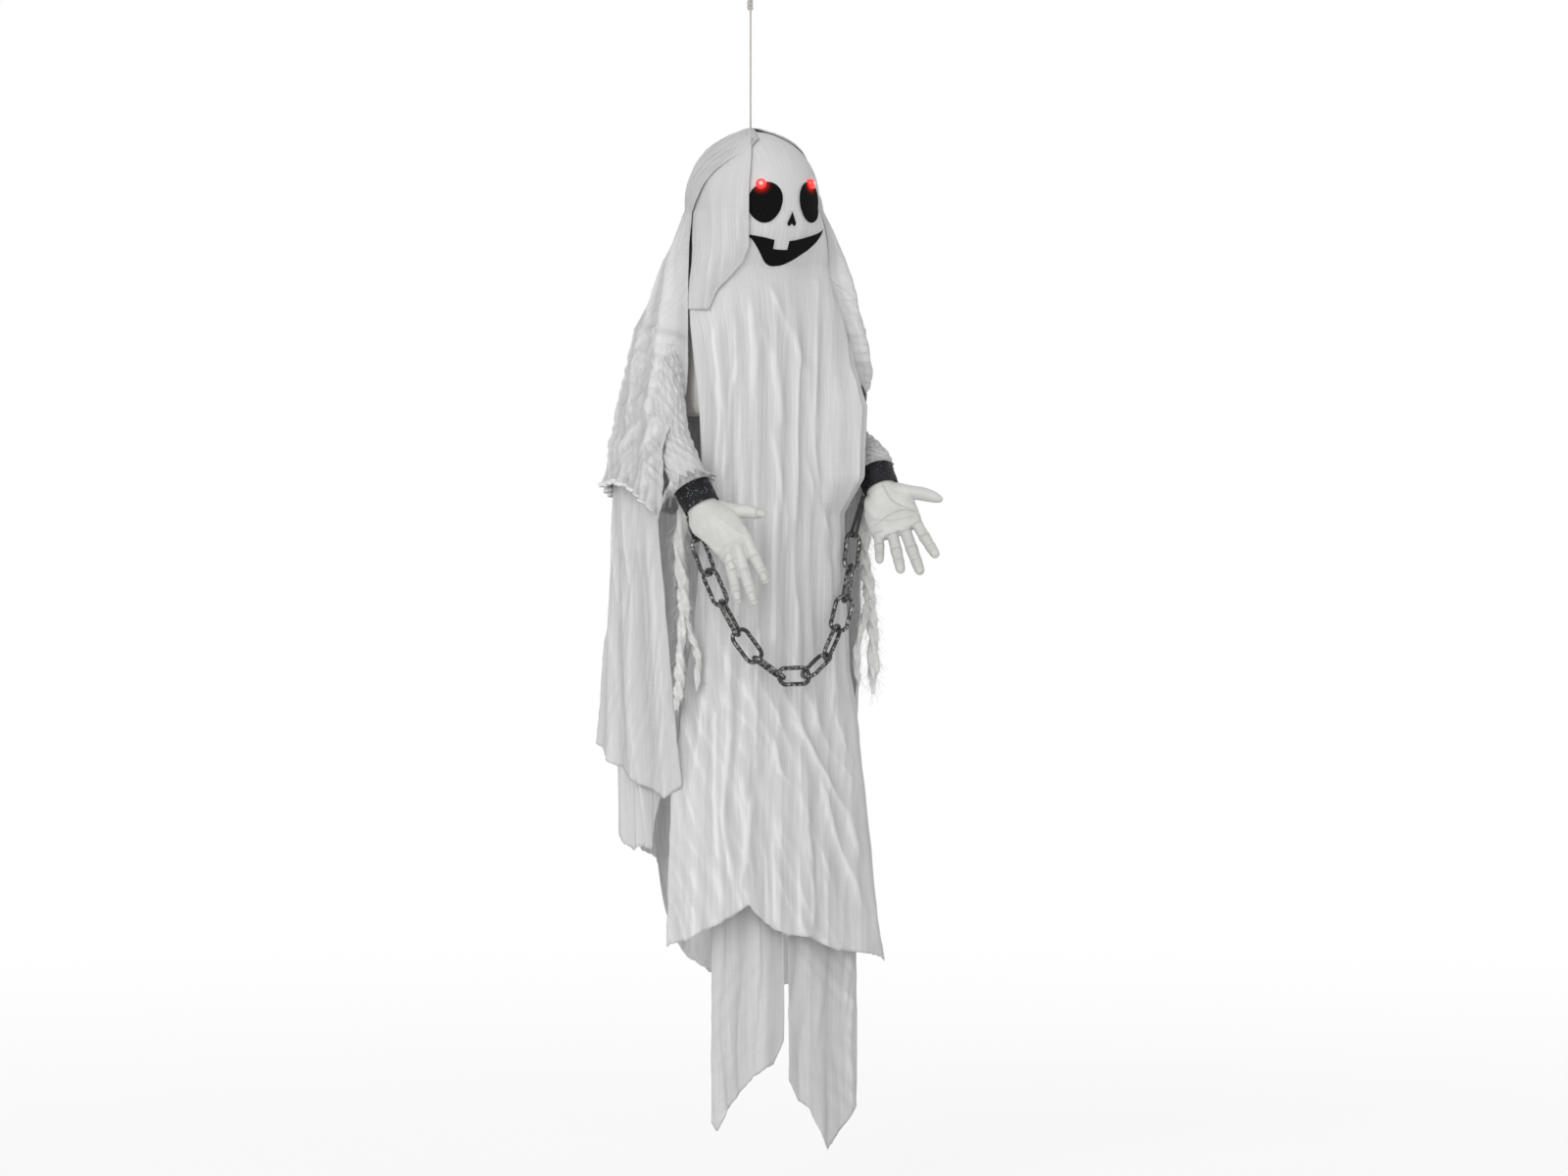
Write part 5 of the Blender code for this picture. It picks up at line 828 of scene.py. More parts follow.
CAPE_SECTIONS = (
    # level, middle y, half width, front depth, back depth, squareness
    (0.121, -0.0120, 0.1010, 0.1140, 0.1150, 2.0), (0.170, -0.0110, 0.1180, 0.1140, 0.1190, 2.2),
    (0.225, -0.0080, 0.1400, 0.1120, 0.1230, 2.5), (0.306, -0.0050, 0.1740, 0.1160, 0.1290, 2.8),
    (0.360, -0.0050, 0.1850, 0.1260, 0.1330, 2.9), (0.420, -0.0050, 0.1950, 0.1430, 0.1380, 3.0),
    (0.483, -0.0050, 0.2080, 0.1690, 0.1560, 3.0), (0.600, -0.0050, 0.2150, 0.1820, 0.1740, 3.0))
CAPE_LEFT = (
    # level, angle of the left front edge from straight ahead, in degrees
    (0.000, 20), (0.006, 28), (0.012, 36), (0.020, 46), (0.031, 56), (0.047, 70), (0.064, 80),
    (0.083, 82), (0.110, 70), (0.135, 61), (0.160, 53), (0.192, 49), (0.240, 51), (0.297, 57),
    (0.330, 60), (0.360, 64), (0.390, 74), (0.420, 86), (0.460, 89), (0.600, 92))
CAPE_RIGHT = (
    # level, angle of the right front edge above the chin, in degrees
    (0.000, 12), (0.006, 16), (0.012, 22), (0.020, 32), (0.031, 40), (0.047, 60), (0.064, 73),
    (0.083, 82), (0.102, 88), (0.121, 91))
CAPE_RIGHT_SEEN = (
    # level, place of the right front edge as the camera sees it, below the chin
    (0.121, -0.0880), (0.140, -0.0895), (0.170, -0.0930), (0.225, -0.0945), (0.360, -0.0945),
    (0.400, -0.0970), (0.430, -0.1130), (0.460, -0.1260), (0.483, -0.1310), (0.600, -0.1350))
CAPE_CLING = ((0.250, 0.0), (0.312, 0.35), (0.360, 0.60), (0.390, 0.90), (0.430, 0.0))
CAPE_HEM = ((0.00, 0.500), (0.04, 0.505), (0.08, 0.520), (0.14, 0.530), (0.20, 0.545),
            (0.35, 0.570), (0.50, 0.590), (0.65, 0.565), (0.75, 0.545), (0.82, 0.534),
            (0.87, 0.538), (0.92, 0.550), (0.97, 0.570), (1.00, 0.590))
CAPE_LIFT, CAPE_FLARE = 0.0039, 0.0050
open_gauze = gauze("open_gauze", (0.86, 0.86, 0.86, 1.0), (0.70, 0.70, 0.705, 1.0),
                   0.0019, 0.90, 0.25, 0.0012)


def cape_point(angle, level, lift):
    """Point of the cape: over the head, then on a plan that grows squarer lower down."""
    if level <= CAPE_SECTIONS[0][0]:
        return head_point(angle, level, CAPE_LIFT + CAPE_FLARE * level / 0.121 + lift)
    middle, wide, front, back, square = between(CAPE_SECTIONS, level)
    sine, cosine = math.sin(angle), math.cos(angle)
    deep = front if cosine > 0 else back
    radius = (abs(sine / wide) ** square + abs(cosine / deep) ** square) ** (-1 / square) + lift
    return at_level(radius * sine, middle - radius * cosine, level)


def cape_lift(share, level, angle):
    """Crinkles of the gauze: fine upright ones, slanting ones on the arm, and a frilled hem."""
    place = share * 0.62
    hem = between(CAPE_HEM, share)[0]
    grown = ease(0.121, 0.241, level)
    lift = 0.0034 * grown * math.cos(math.tau * 11 * (share - 0.5))
    lift += 0.0015 * ease(0.0, 0.03, level) * creases(place, level, 0.012, 0.10, 0.0, 21.0)
    lift += 0.0009 * grown * creases(place, level, 0.007, 0.08, 0.06, 26.0)
    lift += 0.0026 * grown * creases(place, level, 0.024, 0.16, 0.05, 22.0)
    arm = ease(0.235, 0.320, level)
    side = math.sin(angle)
    lift += 0.0026 * arm * abs(side) * creases(place, level, 0.015, 0.070,
                                               0.85 * (1 if side < 0 else -1), 23.0)
    lift += 0.0011 * arm * creases(place, level, 0.006, 0.030, 0.3, 24.0)
    frill = ease(hem - 0.030, hem, level)
    lift += frill * (0.0034 * math.sin(math.tau * 34 * share + 2.0 * math.sin(share * 40))
                     + 0.0030)
    return max(lift, -0.0052)


def cape_sheet(share, level):
    """Point of the cape's sheet; its two front edges turn in to lie on the gown."""
    left, right = math.radians(between(CAPE_LEFT, level)[0]), between(cape_right, level)[0]
    angle = left + (math.tau - left - right) * share
    lift = cape_lift(share, level, angle)
    free = cape_point(angle, level, lift)
    if share < 0.5:
        free.x += 0.006 * ease(0.05, 0.10, level) * (1 - ease(0.20, 0.30, level)) \
            * (1 - ease(0.25, 0.50, share))
        near = between(CAPE_CLING, level)[0] * (1 - ease(math.radians(55), math.radians(88), angle))
        near = max(near, (1 - ease(0.0, 0.05, share)) * (1 - ease(0.38, 0.42, level)))
        return free.lerp(gown_point(angle, level, 0.0034 + lift * 0.3), near)
    near = ease(0.93, 1.0, share) * ease(0.09, 0.14, level) * (1 - ease(0.40, 0.46, level))
    return free.lerp(gown_point(angle - math.tau, level, 0.0066 + lift * 0.2), near)


def right_edge(level, angle):
    """Place of the cape's right front edge at a level and an angle."""
    near = 1 - ease(0.40, 0.46, level)
    return cape_point(angle, level, 0.0).lerp(gown_point(angle, level, 0.0066), near)


EDGE_TOP, EDGE_DROP, EDGE_STEPS = 0.125, 0.475, 59
cape_right = [(level, math.radians(turn)) for level, turn in CAPE_RIGHT[:-1]]
for step in range(EDGE_STEPS + 1):
    level = EDGE_TOP + EDGE_DROP * step / EDGE_STEPS
    seen = between(CAPE_RIGHT_SEEN, level)[0]
    cape_right.append((level, -angle_seen_at(seen, lambda angle: right_edge(level, angle))))
CAPE_COLUMNS, CAPE_HEAD_ROWS, CAPE_ROWS = 181, 26, 112
grid = []
for row in range(CROWN_ROWS):
    radius = CROWN_START + (CROWN_EDGE - CROWN_START) * row / CROWN_ROWS
    right, left = (math.radians(turn + 18 * (row / CROWN_ROWS) ** 1.2) for turn in (12, 20))
    line = []
    for column in range(CAPE_COLUMNS):
        angle = left + (math.tau - left - right) * column / (CAPE_COLUMNS - 1)
        pucker = 0.0016 * ease(0, 3, row) * creases(angle * 0.05, row * 0.01, 0.010, 0.1, 0.0, 25.0)
        rise = 0.0040 * (1 - ease(0, 5, row))
        inside = ease(0.0, 5.0, min(column, CAPE_COLUMNS - 1 - column))
        offset = 0.0036 + (CAPE_LIFT - 0.0036 + max(pucker, -0.0008)) * inside
        line.append(crown_point(angle, radius, offset) + Vector((0, 0, rise)))
    grid.append(line)
for row in range(CAPE_HEAD_ROWS + CAPE_ROWS + 1):
    line = []
    for column in range(CAPE_COLUMNS):
        share = column / (CAPE_COLUMNS - 1)
        if row < CAPE_HEAD_ROWS:
            ring = -CROWN_DEPTH - crown_point(math.radians(38) + math.radians(292) * share,
                                              CROWN_EDGE, CAPE_LIFT).z
            level = ring + (0.121 - ring) * row / CAPE_HEAD_ROWS
        else:
            torn = 0.0020 * noise.noise(Vector((share * 90, 7.3, 0.0)))
            hem = between(CAPE_HEM, share)[0] + torn
            level = 0.121 + (hem - 0.121) * (row - CAPE_HEAD_ROWS) / CAPE_ROWS
        line.append(cape_sheet(share, level))
    grid.append(line)
hood_cape = cloth("hood_cape_gauze", grid, open_gauze)
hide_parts("hood_cape")
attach(hood_cape, "body")


# Side drapes
#
# Two wide voile panels sewn inside the cape's hem at each side. They hang free and sheer, in two
# or three soft folds, to a slanting torn edge.

DRAPE_PLANS = {
    # share of the width, angle of the top inside the cape, x and y of the hem
    -1: ((0.00, 78, 0.1500, -0.056), (0.20, 89, 0.1720, -0.014), (0.45, 103, 0.1870, 0.040),
         (0.75, 118, 0.1945, 0.096), (1.00, 129, 0.1920, 0.142)),
    1: ((0.00, 91, 0.1640, -0.026), (0.20, 97, 0.1790, 0.000), (0.45, 107, 0.1900, 0.046),
        (0.75, 119, 0.1950, 0.098), (1.00, 129, 0.1920, 0.142))}
DRAPE_HEMS = {
    -1: ((0.00, 0.995), (0.12, 1.015), (0.25, 1.004), (0.40, 0.992), (0.55, 0.975),
         (0.72, 0.966), (0.85, 0.955), (1.00, 0.939)),
    1: ((0.00, 0.985), (0.20, 1.004), (0.45, 0.985), (0.70, 0.958), (1.00, 0.939))}
drape_voile = gauze("drape_voile", (0.84, 0.84, 0.845, 1.0), (0.70, 0.70, 0.71, 1.0),
                    0.0011, 0.80, 0.10, 0.0006)
DRAPE_COLUMNS, DRAPE_ROWS = 81, 90
for side, label in ((-1, "right"), (1, "left")):
    grid = []
    for row in range(DRAPE_ROWS + 1):
        down = row / DRAPE_ROWS
        line = []
        for column in range(DRAPE_COLUMNS):
            share = column / (DRAPE_COLUMNS - 1)
            turn, low_x, low_y = between(DRAPE_PLANS[side], share)
            top = cape_point(side * math.radians(turn), 0.490, -0.0062 if side > 0 else -0.0050)
            torn = 0.0025 * noise.noise(Vector((share * 40, side * 3.1, 0.0)))
            hem = at_level(side * low_x, low_y, between(DRAPE_HEMS[side], share)[0] + torn)
            level = 0.490 + (hem.z + CROWN_DEPTH + 0.490) * -down
            fold = 0.0040 * min(1.0, down * 3) * math.sin(math.tau * 3 * share)
            fold += 0.0024 * ease(0, 0.3, down) * creases(share * 0.18, down * 0.5, 0.030, 0.30,
                                                          0.05, 31.0 + side)
            fold += 0.0012 * ease(0, 0.3, down) * creases(share * 0.18, down * 0.5, 0.012, 0.12,
                                                          -0.25, 33.0 + side)
            line.append(top + (hem - top) * down + Vector((side * fold, 0, 0)))
        grid.append(line if side > 0 else line[::-1])
    drape = cloth("side_drape_%s_voile" % label, grid, drape_voile)
    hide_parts("side_drape_" + label)
    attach(drape, "body")

UNDER_TOP, UNDER_FRONT, UNDER_REAR = 0.640, (-0.1600, -0.010), (-0.1860, 0.080)
UNDER_HEM = ((0.00, 1.014), (0.12, 1.048), (0.28, 1.096), (0.45, 1.092), (0.70, 1.098),
             (0.84, 1.090), (1.00, 1.070))
grid = []
for row in range(61):
    down = row / 60
    line = []
    for column in range(61):
        share = column / 60
        torn = 0.0030 * noise.noise(Vector((share * 34, 6.4, 0.0)))
        level = UNDER_TOP + (between(UNDER_HEM, share)[0] + torn - UNDER_TOP) * down
        out = 0.0030 * math.sin(math.tau * 2.5 * share)
        out += 0.0018 * creases(share * 0.10, level, 0.016, 0.20, 0.12, 37.0)
        line.append(at_level(UNDER_FRONT[0] + (UNDER_REAR[0] - UNDER_FRONT[0]) * share - out,
                             UNDER_FRONT[1] + (UNDER_REAR[1] - UNDER_FRONT[1]) * share, level))
    grid.append(line[::-1])
under_drape = cloth("side_drape_right_under", grid, drape_voile)
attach(under_drape, "body")


# Leg tails
#
# Two long narrow voile panels that start on the face of the housing, inside the gown, and end
# in points below its hem, like trouser legs without feet.

TAILS = {
    # inner and outer x of the hem, then its level from the inner to the outer edge
    "right": (0.014, -0.098, ((0.00, 1.390), (0.15, 1.425), (0.30, 1.430), (0.45, 1.442),
                              (0.62, 1.466), (0.80, 1.490), (0.94, 1.526), (1.00, 1.512))),
    "left": (0.021, 0.158, ((0.00, 1.449), (0.14, 1.482), (0.28, 1.496), (0.34, 1.515),
                            (0.55, 1.561), (0.80, 1.525), (1.00, 1.499)))}
tail_voile = gauze("tail_voile", (0.78, 0.78, 0.78, 1.0), (0.62, 0.62, 0.625, 1.0),
                   0.0011, 0.90, 0.08, 0.0005)
TAIL_COLUMNS, TAIL_ROWS = 61, 150
for label, (inner, outer, hem_levels) in TAILS.items():
    side = 1 if outer > 0 else -1
    grid = []
    for row in range(TAIL_ROWS + 1):
        down = row / TAIL_ROWS
        line = []
        for column in range(TAIL_COLUMNS):
            share = column / (TAIL_COLUMNS - 1)
            torn = 0.0020 * noise.noise(Vector((share * 30, side * 5.1, 0.0)))
            level = 0.402 + (between(hem_levels, share)[0] + torn - 0.402) * down
            settle = min(1.0, max(0.0, (level - 0.432) / 0.686))
            narrow = side * (0.004 + 0.096 * share)
            wide = inner + (outer - inner) * share
            low_y = -0.080 + 0.028 * share ** 2
            x = narrow + (wide - narrow) * settle
            y = -0.0485 + (low_y + 0.0485) * settle
            middle, wide_at, deep_at = between(BODY_SECTIONS, level)[:3]
            reach = min(abs(x) / wide_at, 0.98)
            limit = middle - deep_at * math.sqrt(1 - reach ** 2) + 0.0125
            fold = 0.0030 * math.sin(math.tau * 2 * share)
            fold += 0.0020 * creases(share * 0.13, level, 0.026, 0.35, 0.04, 41.0 + side)
            fold += 0.0010 * creases(share * 0.13, level, 0.030, 0.10, -0.9, 43.0 + side)
            line.append(at_level(x, max(y, limit * settle - 0.0485 * (1 - settle))
                                 + fold * settle, level))
        grid.append(line[::-1] if side < 0 else line)
    tail = cloth("leg_tail_%s_voile" % label, grid, tail_voile)
    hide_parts("leg_tail_" + label)
    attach(tail, "body")


# Face patches and eye lamps
#
# Die-cut black felt glued over the voile: two tall ovals, a spade nose and a wide grin with one
# square tooth. A red lamp bulb stands out through the top of each eye, and a painted red glow lies
# on what is near.

EYE_ACROSS, EYE_LEVEL, EYE_WIDE, EYE_TALL = 0.0375, 0.111, 0.0245, 0.0315
EYE_TAPER, EYE_LEAN = 0.06, 0.14
NOSE_LEVEL, NOSE_TALL, NOSE_WIDE = 0.124, 0.023, 0.0085
NOSE_TOP = ((0.00, 0.00), (0.55, 0.45), (1.00, 0.80))
NOSE_FOOT = ((0.00, 0.86), (0.28, 0.96), (0.55, 1.01), (0.75, 1.00), (0.92, 0.92), (1.00, 0.80))
MOUTH = (
    # x, then the levels of the upper and the lower edge
    (-0.070, 0.1580, 0.1582), (-0.058, 0.1600, 0.1670), (-0.049, 0.1615, 0.1800),
    (-0.041, 0.1630, 0.1905), (-0.034, 0.1645, 0.1990), (-0.028, 0.1660, 0.2040),
    (-0.021, 0.1675, 0.2073), (-0.013, 0.1685, 0.2085), (0.000, 0.1690, 0.2075),
    (0.009, 0.1685, 0.2050), (0.020, 0.1670, 0.2005), (0.031, 0.1650, 0.1950),
    (0.046, 0.1615, 0.1850), (0.058, 0.1580, 0.1730), (0.066, 0.1545, 0.1620),
    (0.073, 0.1505, 0.1507))
TOOTH_LEFT, TOOTH_RIGHT, TOOTH_DROP = -0.022, 0.004, 0.0135
FACE_SHIFT = 0.0035
FELT_FOOT, FELT_FACE = 0.0024, 0.0042
LAMP_ANGLE, LAMP_LEVEL = math.radians(27), 0.084
LAMP_RADIUS, LAMP_STEM, LAMP_PROUD = 0.0080, 0.0059, 0.0060
LAMP_FLANGE, LAMP_BACK, LAMP_FOOT = 0.0088, -0.0046, -0.0061


def face_point(x, level, offset):
    """Point over the face, straight behind a place as seen from the front."""
    reach = gown_point(math.pi / 2, level, offset).x
    return gown_point(math.asin(max(-0.98, min(0.98, x / reach))), level, offset)


def lamp_frame(side):
    """Place of an eye lamp on the shell, and the way it points."""
    at = head_point(side * LAMP_ANGLE, LAMP_LEVEL, 0.0)
    beside = head_point(side * LAMP_ANGLE + 0.01, LAMP_LEVEL, 0.0) - at
    below = head_point(side * LAMP_ANGLE, LAMP_LEVEL + 0.001, 0.0) - at
    ahead = below.cross(beside).normalized()
    return at, ahead if ahead.y < 0 else -ahead


def lamp_gap(finish, along):
    """Distance from the nearer lamp's axis point at a height over the shell."""
    where = finish.place()
    gaps = [finish.node("VectorMath", {"operation": "DISTANCE"}, where, tuple(at + ahead * along),
                        output=1) for at, ahead in (lamp_frame(-1), lamp_frame(1))]
    return gaps[0].least(gaps[1])


def painted_red_glow(finish, reach, colour):
    """Painted red glow: red emission on what lies round the lamps, where their light would fall."""
    finish.shader.inputs["Emission Strength"].default_value = 1.0
    glow = (1 - lamp_gap(finish, 0.008).ramp(0.0045, reach)) ** 2.0
    finish.feed("Emission Color", finish.tint(glow, (0.0, 0.0, 0.0, 1.0), colour))


felt = Finish("black_felt", {"Roughness": 0.97, "Specular IOR Level": 0.05, "Sheen Weight": 0.02,
                             "Sheen Roughness": 0.6})
where = felt.place()
fibres = felt.noise(where, 1500.0, 4.0, 0.6, 0.8)
lint = felt.noise(where, 620.0, 1.0).ramp(0.70, 0.76)
matted = felt.tint(fibres, (0.0015, 0.0015, 0.0018, 1.0), (0.0100, 0.0100, 0.0110, 1.0))
felt.feed("Base Color", felt.tint(lint * 0.3, matted, (0.07, 0.07, 0.07, 1.0)))
felt.raise_by(fibres, 0.0008)
# Painted red glow round the eye lamps, on the felt and on the face's voile.
painted_red_glow(felt, 0.021, (0.62, 0.016, 0.010, 1.0))
painted_red_glow(gown_voile, 0.019, (0.25, 0.0, 0.0, 1.0))
painted_red_glow(fold_voile, 0.019, (0.25, 0.0, 0.0, 1.0))


def felt_patch(name, node, columns, leaned=lambda x, level: x):
    """Patch from columns of x, upper level and lower level, its edge turned down to the cloth."""
    shares = ((0.0, FELT_FOOT), (0.0, 0.0038), (0.02, FELT_FACE))
    shares += tuple((0.02 + 0.96 * step / 11, FELT_FACE) for step in range(1, 11))
    shares += ((0.98, FELT_FACE), (1.0, 0.0038), (1.0, FELT_FOOT))
    grid = []
    for share, offset in shares:
        line = []
        for x, upper, lower in columns:
            level = upper + (lower - upper) * share
            line.append(face_point(leaned(x, level), level, offset))
        grid.append(line)
    patch = cloth(name, grid, felt, wall=0.0)
    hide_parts(node)
    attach(patch, "body")
    return [grid[1], [line[-1] for line in grid[1:-1]], grid[-2][::-1],
            [line[0] for line in grid[-2:0:-1]]]


rims = []
for side, label in ((-1, "right"), (1, "left")):
    columns = []
    for step in range(41):
        turn = math.pi * step / 40
        half = EYE_TALL * math.sin(turn)
        columns.append((-EYE_WIDE * math.cos(turn), EYE_LEVEL - half, EYE_LEVEL + half))

    def leaned(x, level):
        up = (EYE_LEVEL - level) / EYE_TALL
        return (x * (1 + EYE_TAPER * up) + max(side, 0) * FACE_SHIFT
                + side * (EYE_ACROSS - EYE_LEAN * EYE_WIDE * up))

    rims.append(felt_patch("eye_%s_felt" % label, "eye_patch_" + label, columns, leaned))

columns = []
for step in range(-14, 15):
    share = math.sin(math.pi / 2 * abs(step) / 14)
    columns.append((FACE_SHIFT + NOSE_WIDE * share * (1 if step > 0 else -1),
                    NOSE_LEVEL + NOSE_TALL * between(NOSE_TOP, share)[0],
                    NOSE_LEVEL + NOSE_TALL * between(NOSE_FOOT, share)[0]))
rims.append(felt_patch("nose_felt", "nose_patch", columns))

start, end = MOUTH[0][0], MOUTH[-1][0]
places = [start + (end - start) * (1 - math.cos(math.pi * step / 72)) / 2 for step in range(73)]
places += [TOOTH_LEFT - 1e-5, TOOTH_LEFT, TOOTH_RIGHT, TOOTH_RIGHT + 1e-5]
columns = []
for x in sorted(places):
    upper, lower = between(MOUTH, x)
    if TOOTH_LEFT <= x <= TOOTH_RIGHT:
        upper += TOOTH_DROP
    columns.append((x, upper, lower))
rims.append(felt_patch("mouth_felt", "mouth_patch", columns))

glue = moulded("glue_rim", (0.70, 0.70, 0.69, 1.0), (0.58, 0.58, 0.575, 1.0), {"Roughness": 0.5},
               1500.0, 0.0003)
edges = []
for sides in rims:
    loop = [point for side in sides for point in side]
    loop = [point for step, point in enumerate(loop) if (point - loop[step - 1]).length > 2e-5]
    edges.append((loop + [loop[0]], 0.00055, 6))
rim = bundle("patch_rims", edges, glue)
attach(rim, "body")

lit_red = Finish("lit_red_lens", {"Roughness": 0.16, "Coat Weight": 0.5, "Emission Strength": 1.0})
heart = lamp_gap(lit_red, LAMP_STEM + 0.0035).ramp(0.0005, 0.0052)
flare = lit_red.noise(lit_red.place(), 900.0, 2.0)
lit_red.feed("Base Color", lit_red.tint(heart, (0.75, 0.22, 0.20, 1.0), (0.55, 0.012, 0.010, 1.0)))
lit_red.feed("Emission Color", lit_red.tint((heart + (flare - 0.5) * 0.3).top(0.0).least(1.0),
                                            (1.0, 0.70, 0.69, 1.0), (0.78, 0.022, 0.016, 1.0)))
for side, label in ((-1, "right"), (1, "left")):
    at, ahead = lamp_frame(side)
    turned = ahead.to_track_quat("Z", "Y").to_matrix().to_4x4()
    turned.translation = at
    profile = [(LAMP_RADIUS * math.sin(math.pi / 2 * step / 14) + 1e-6,
                LAMP_STEM + LAMP_PROUD * math.cos(math.pi / 2 * step / 14)) for step in range(15)]
    profile += [(LAMP_RADIUS, LAMP_BACK), (LAMP_FLANGE, LAMP_BACK), (LAMP_FLANGE, LAMP_FOOT),
                (1e-6, LAMP_FOOT)]
    verts, faces = [], []
    for radius, height in profile:
        for step in range(48):
            turn = math.tau * step / 48
            verts.append(tuple(turned @ Vector((radius * math.cos(turn), radius * math.sin(turn),
                                                height))))
    for row in range(len(profile) - 1):
        for step in range(48):
            after = (step + 1) % 48
            faces.append((row * 48 + step, row * 48 + after, row * 48 + 48 + after,
                          row * 48 + 48 + step))
    mesh = bpy.data.meshes.new("lamp")
    mesh.from_pydata(verts, [], faces)
    shape = bmesh.new()
    shape.from_mesh(mesh)
    bmesh.ops.remove_doubles(shape, verts=shape.verts, dist=5e-6)
    bmesh.ops.recalc_face_normals(shape, faces=shape.faces)
    shape.to_mesh(mesh)
    shape.free()
    lamp = show("eye_led_%s_lens" % label, mesh, lit_red)
    lamp.data.set_sharp_from_angle(angle=math.radians(40))
    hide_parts("eye_led_" + label)
    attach(lamp, "body")


# Sleeves and wrist frills
#
# Short tubes of the same open gauze, gathered in rings over each forearm. The lower end is drawn
# in round the cuff, and its raw edge stands out in a loose frill, fuller on the right arm.

ARM_LINES = {
    # shoulder, elbow, wrist, way of the hand, way of the thumb, size of the frill
    "right": ((-0.150, 0.000, 0.316), (-0.160, -0.026, 0.450), (-0.160, -0.115, 0.553),
              (0.22, -0.50, -0.84), (0.78, -0.43, 0.46), 0.023),
    "left": ((0.150, 0.000, 0.316), (0.160, -0.002, 0.440), (0.180, -0.078, 0.535),
             (0.00, -0.62, -0.78), (0.81, -0.46, 0.36), 0.006)}
CUFF_LENGTH, CUFF_WIDE, CUFF_FOOT = 0.040, 0.0275, -0.0040
SLEEVE_ROUTE = ((-0.156, -0.010, 0.300), (-0.165, -0.034, 0.390), (-0.171, -0.062, 0.470))
SLEEVE_WIDTHS = {
    # share of the length, half width and half depth
    "right": ((0.00, 0.0180, 0.0200), (0.35, 0.0230, 0.0260), (0.70, 0.0260, 0.0270),
              (0.90, 0.0270, 0.0270), (1.00, 0.0290, 0.0290)),
    "left": ((0.00, 0.0185, 0.0185), (0.35, 0.0215, 0.0215), (0.66, 0.0265, 0.0265),
             (0.83, 0.0290, 0.0290), (1.00, 0.0290, 0.0290))}
SLEEVE_COLUMNS, SLEEVE_ROWS, FRILL_ROWS = 97, 60, 12


def eased_line(points, count):
    """Points of a smooth curve through a few places."""
    padded = [points[0] * 2 - points[1]] + list(points) + [points[-1] * 2 - points[-2]]
    line = []
    for step in range(count + 1):
        place = min(step / count * (len(points) - 1), len(points) - 1 - 1e-9)
        span, t = int(place), place - int(place)
        a, b, c, d = padded[span:span + 4]
        line.append((b * 2 + (c - a) * t + (a * 2 - b * 5 + c * 4 - d) * t * t
                     + (b * 3 - a - c * 3 + d) * t ** 3) / 2)
    return line


def arm_line(label):
    """Wrist, way of the hand, way of the thumb, frill size and the arm's middle line."""
    shoulder, elbow, wrist, along, thumb, frill = ARM_LINES[label]
    shoulder, elbow, wrist = at_level(*shoulder), at_level(*elbow), at_level(*wrist)
    along, thumb = Vector(along).normalized(), Vector(thumb)
    line = eased_line([shoulder - Vector((0, 0, 0.00575)), elbow, wrist - along * 0.040], 10)
    return wrist, along, thumb, frill, line + [wrist - along * 0.0218, wrist - along * 0.0143]


def square_to(across, along, origin):
    """Frame with its X across and its Y along."""
    y = along.normalized()
    x = (across - y * across.dot(y)).normalized()
    turned = Matrix((x, y, x.cross(y))).transposed().to_4x4()
    turned.translation = origin
    return turned


for label in ("right", "left"):
    wrist, along, thumb, frill, line = arm_line(label)
    path = [point for point in line if (point - wrist).dot(along) < -CUFF_LENGTH / 2]
    path = path[int(len(path) * 0.46):] + [wrist - along * 0.0152]
    if label == "right":
        path = [at_level(*place) for place in SLEEVE_ROUTE] + [wrist - along * 0.0152]
    spine = eased_line(path, SLEEVE_ROWS)
    grid = []
    for row in range(SLEEVE_ROWS + FRILL_ROWS + 1):
        share = min(1.0, row / SLEEVE_ROWS)
        at = spine[min(row, SLEEVE_ROWS)]
        ahead = spine[min(row + 1, SLEEVE_ROWS)] - spine[max(min(row, SLEEVE_ROWS) - 1, 0)]
        out = max(0, row - SLEEVE_ROWS) / FRILL_ROWS
        turned = square_to(Vector((1, 0, 0)), ahead.lerp(along * ahead.length, share), at)
        ring = []
        for column in range(SLEEVE_COLUMNS - 1):
            turn = math.tau * column / (SLEEVE_COLUMNS - 1)
            cos, sin = math.cos(turn), math.sin(turn)
            sewn = Vector((cos * 1.6, sin * 1.6, share * 9.0))
            scrunch = 0.0022 * noise.noise(Vector((cos, sin, share * 16 + 2.0)))
            scrunch += 0.0010 * math.sin(share * 70 + 3 * noise.noise(sewn))
            scrunch += 0.0008 * math.sin(turn * 18 + 4 * noise.noise(sewn)) * (1 - 0.5 * share)
            slid = turn - 7.0 * share
            slant = noise.noise(Vector((math.cos(slid) * 3.4, math.sin(slid) * 3.4, share * 4)))
            fine = noise.noise(Vector((math.cos(slid) * 6, math.sin(slid) * 6, share * 7)))
            scrunch += (0.0020 * (1 - 2.6 * abs(slant) ** 0.8)
                        + 0.0006 * (1 - 2.6 * abs(fine) ** 0.8))
            scrunch *= 1 - ease(0.80, 0.95, share)
            wide, deep = (size + scrunch for size in between(SLEEVE_WIDTHS[label], share))
            full = 0.35 + 0.65 * ease(-0.6, 0.7, -cos * 0.8 - sin * 0.3)
            wave = math.sin(turn * 13 + 2.2 * math.sin(turn * 3))
            flare = frill * full * (out ** 0.8) * (0.75 + 0.45 * wave * out)
            back = -frill * full * (0.30 * math.sin(out * 2.6) - 0.60 * out * out * wave)
            ring.append(turned @ Vector(((wide + flare) * cos, back, (deep + flare) * sin)))
        grid.append(ring)
    sleeve = cloth("sleeve_%s_gauze" % label, grid, open_gauze, wall=0.0005, closed=True)
    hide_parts("sleeve_" + label)
    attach(sleeve, "arms")


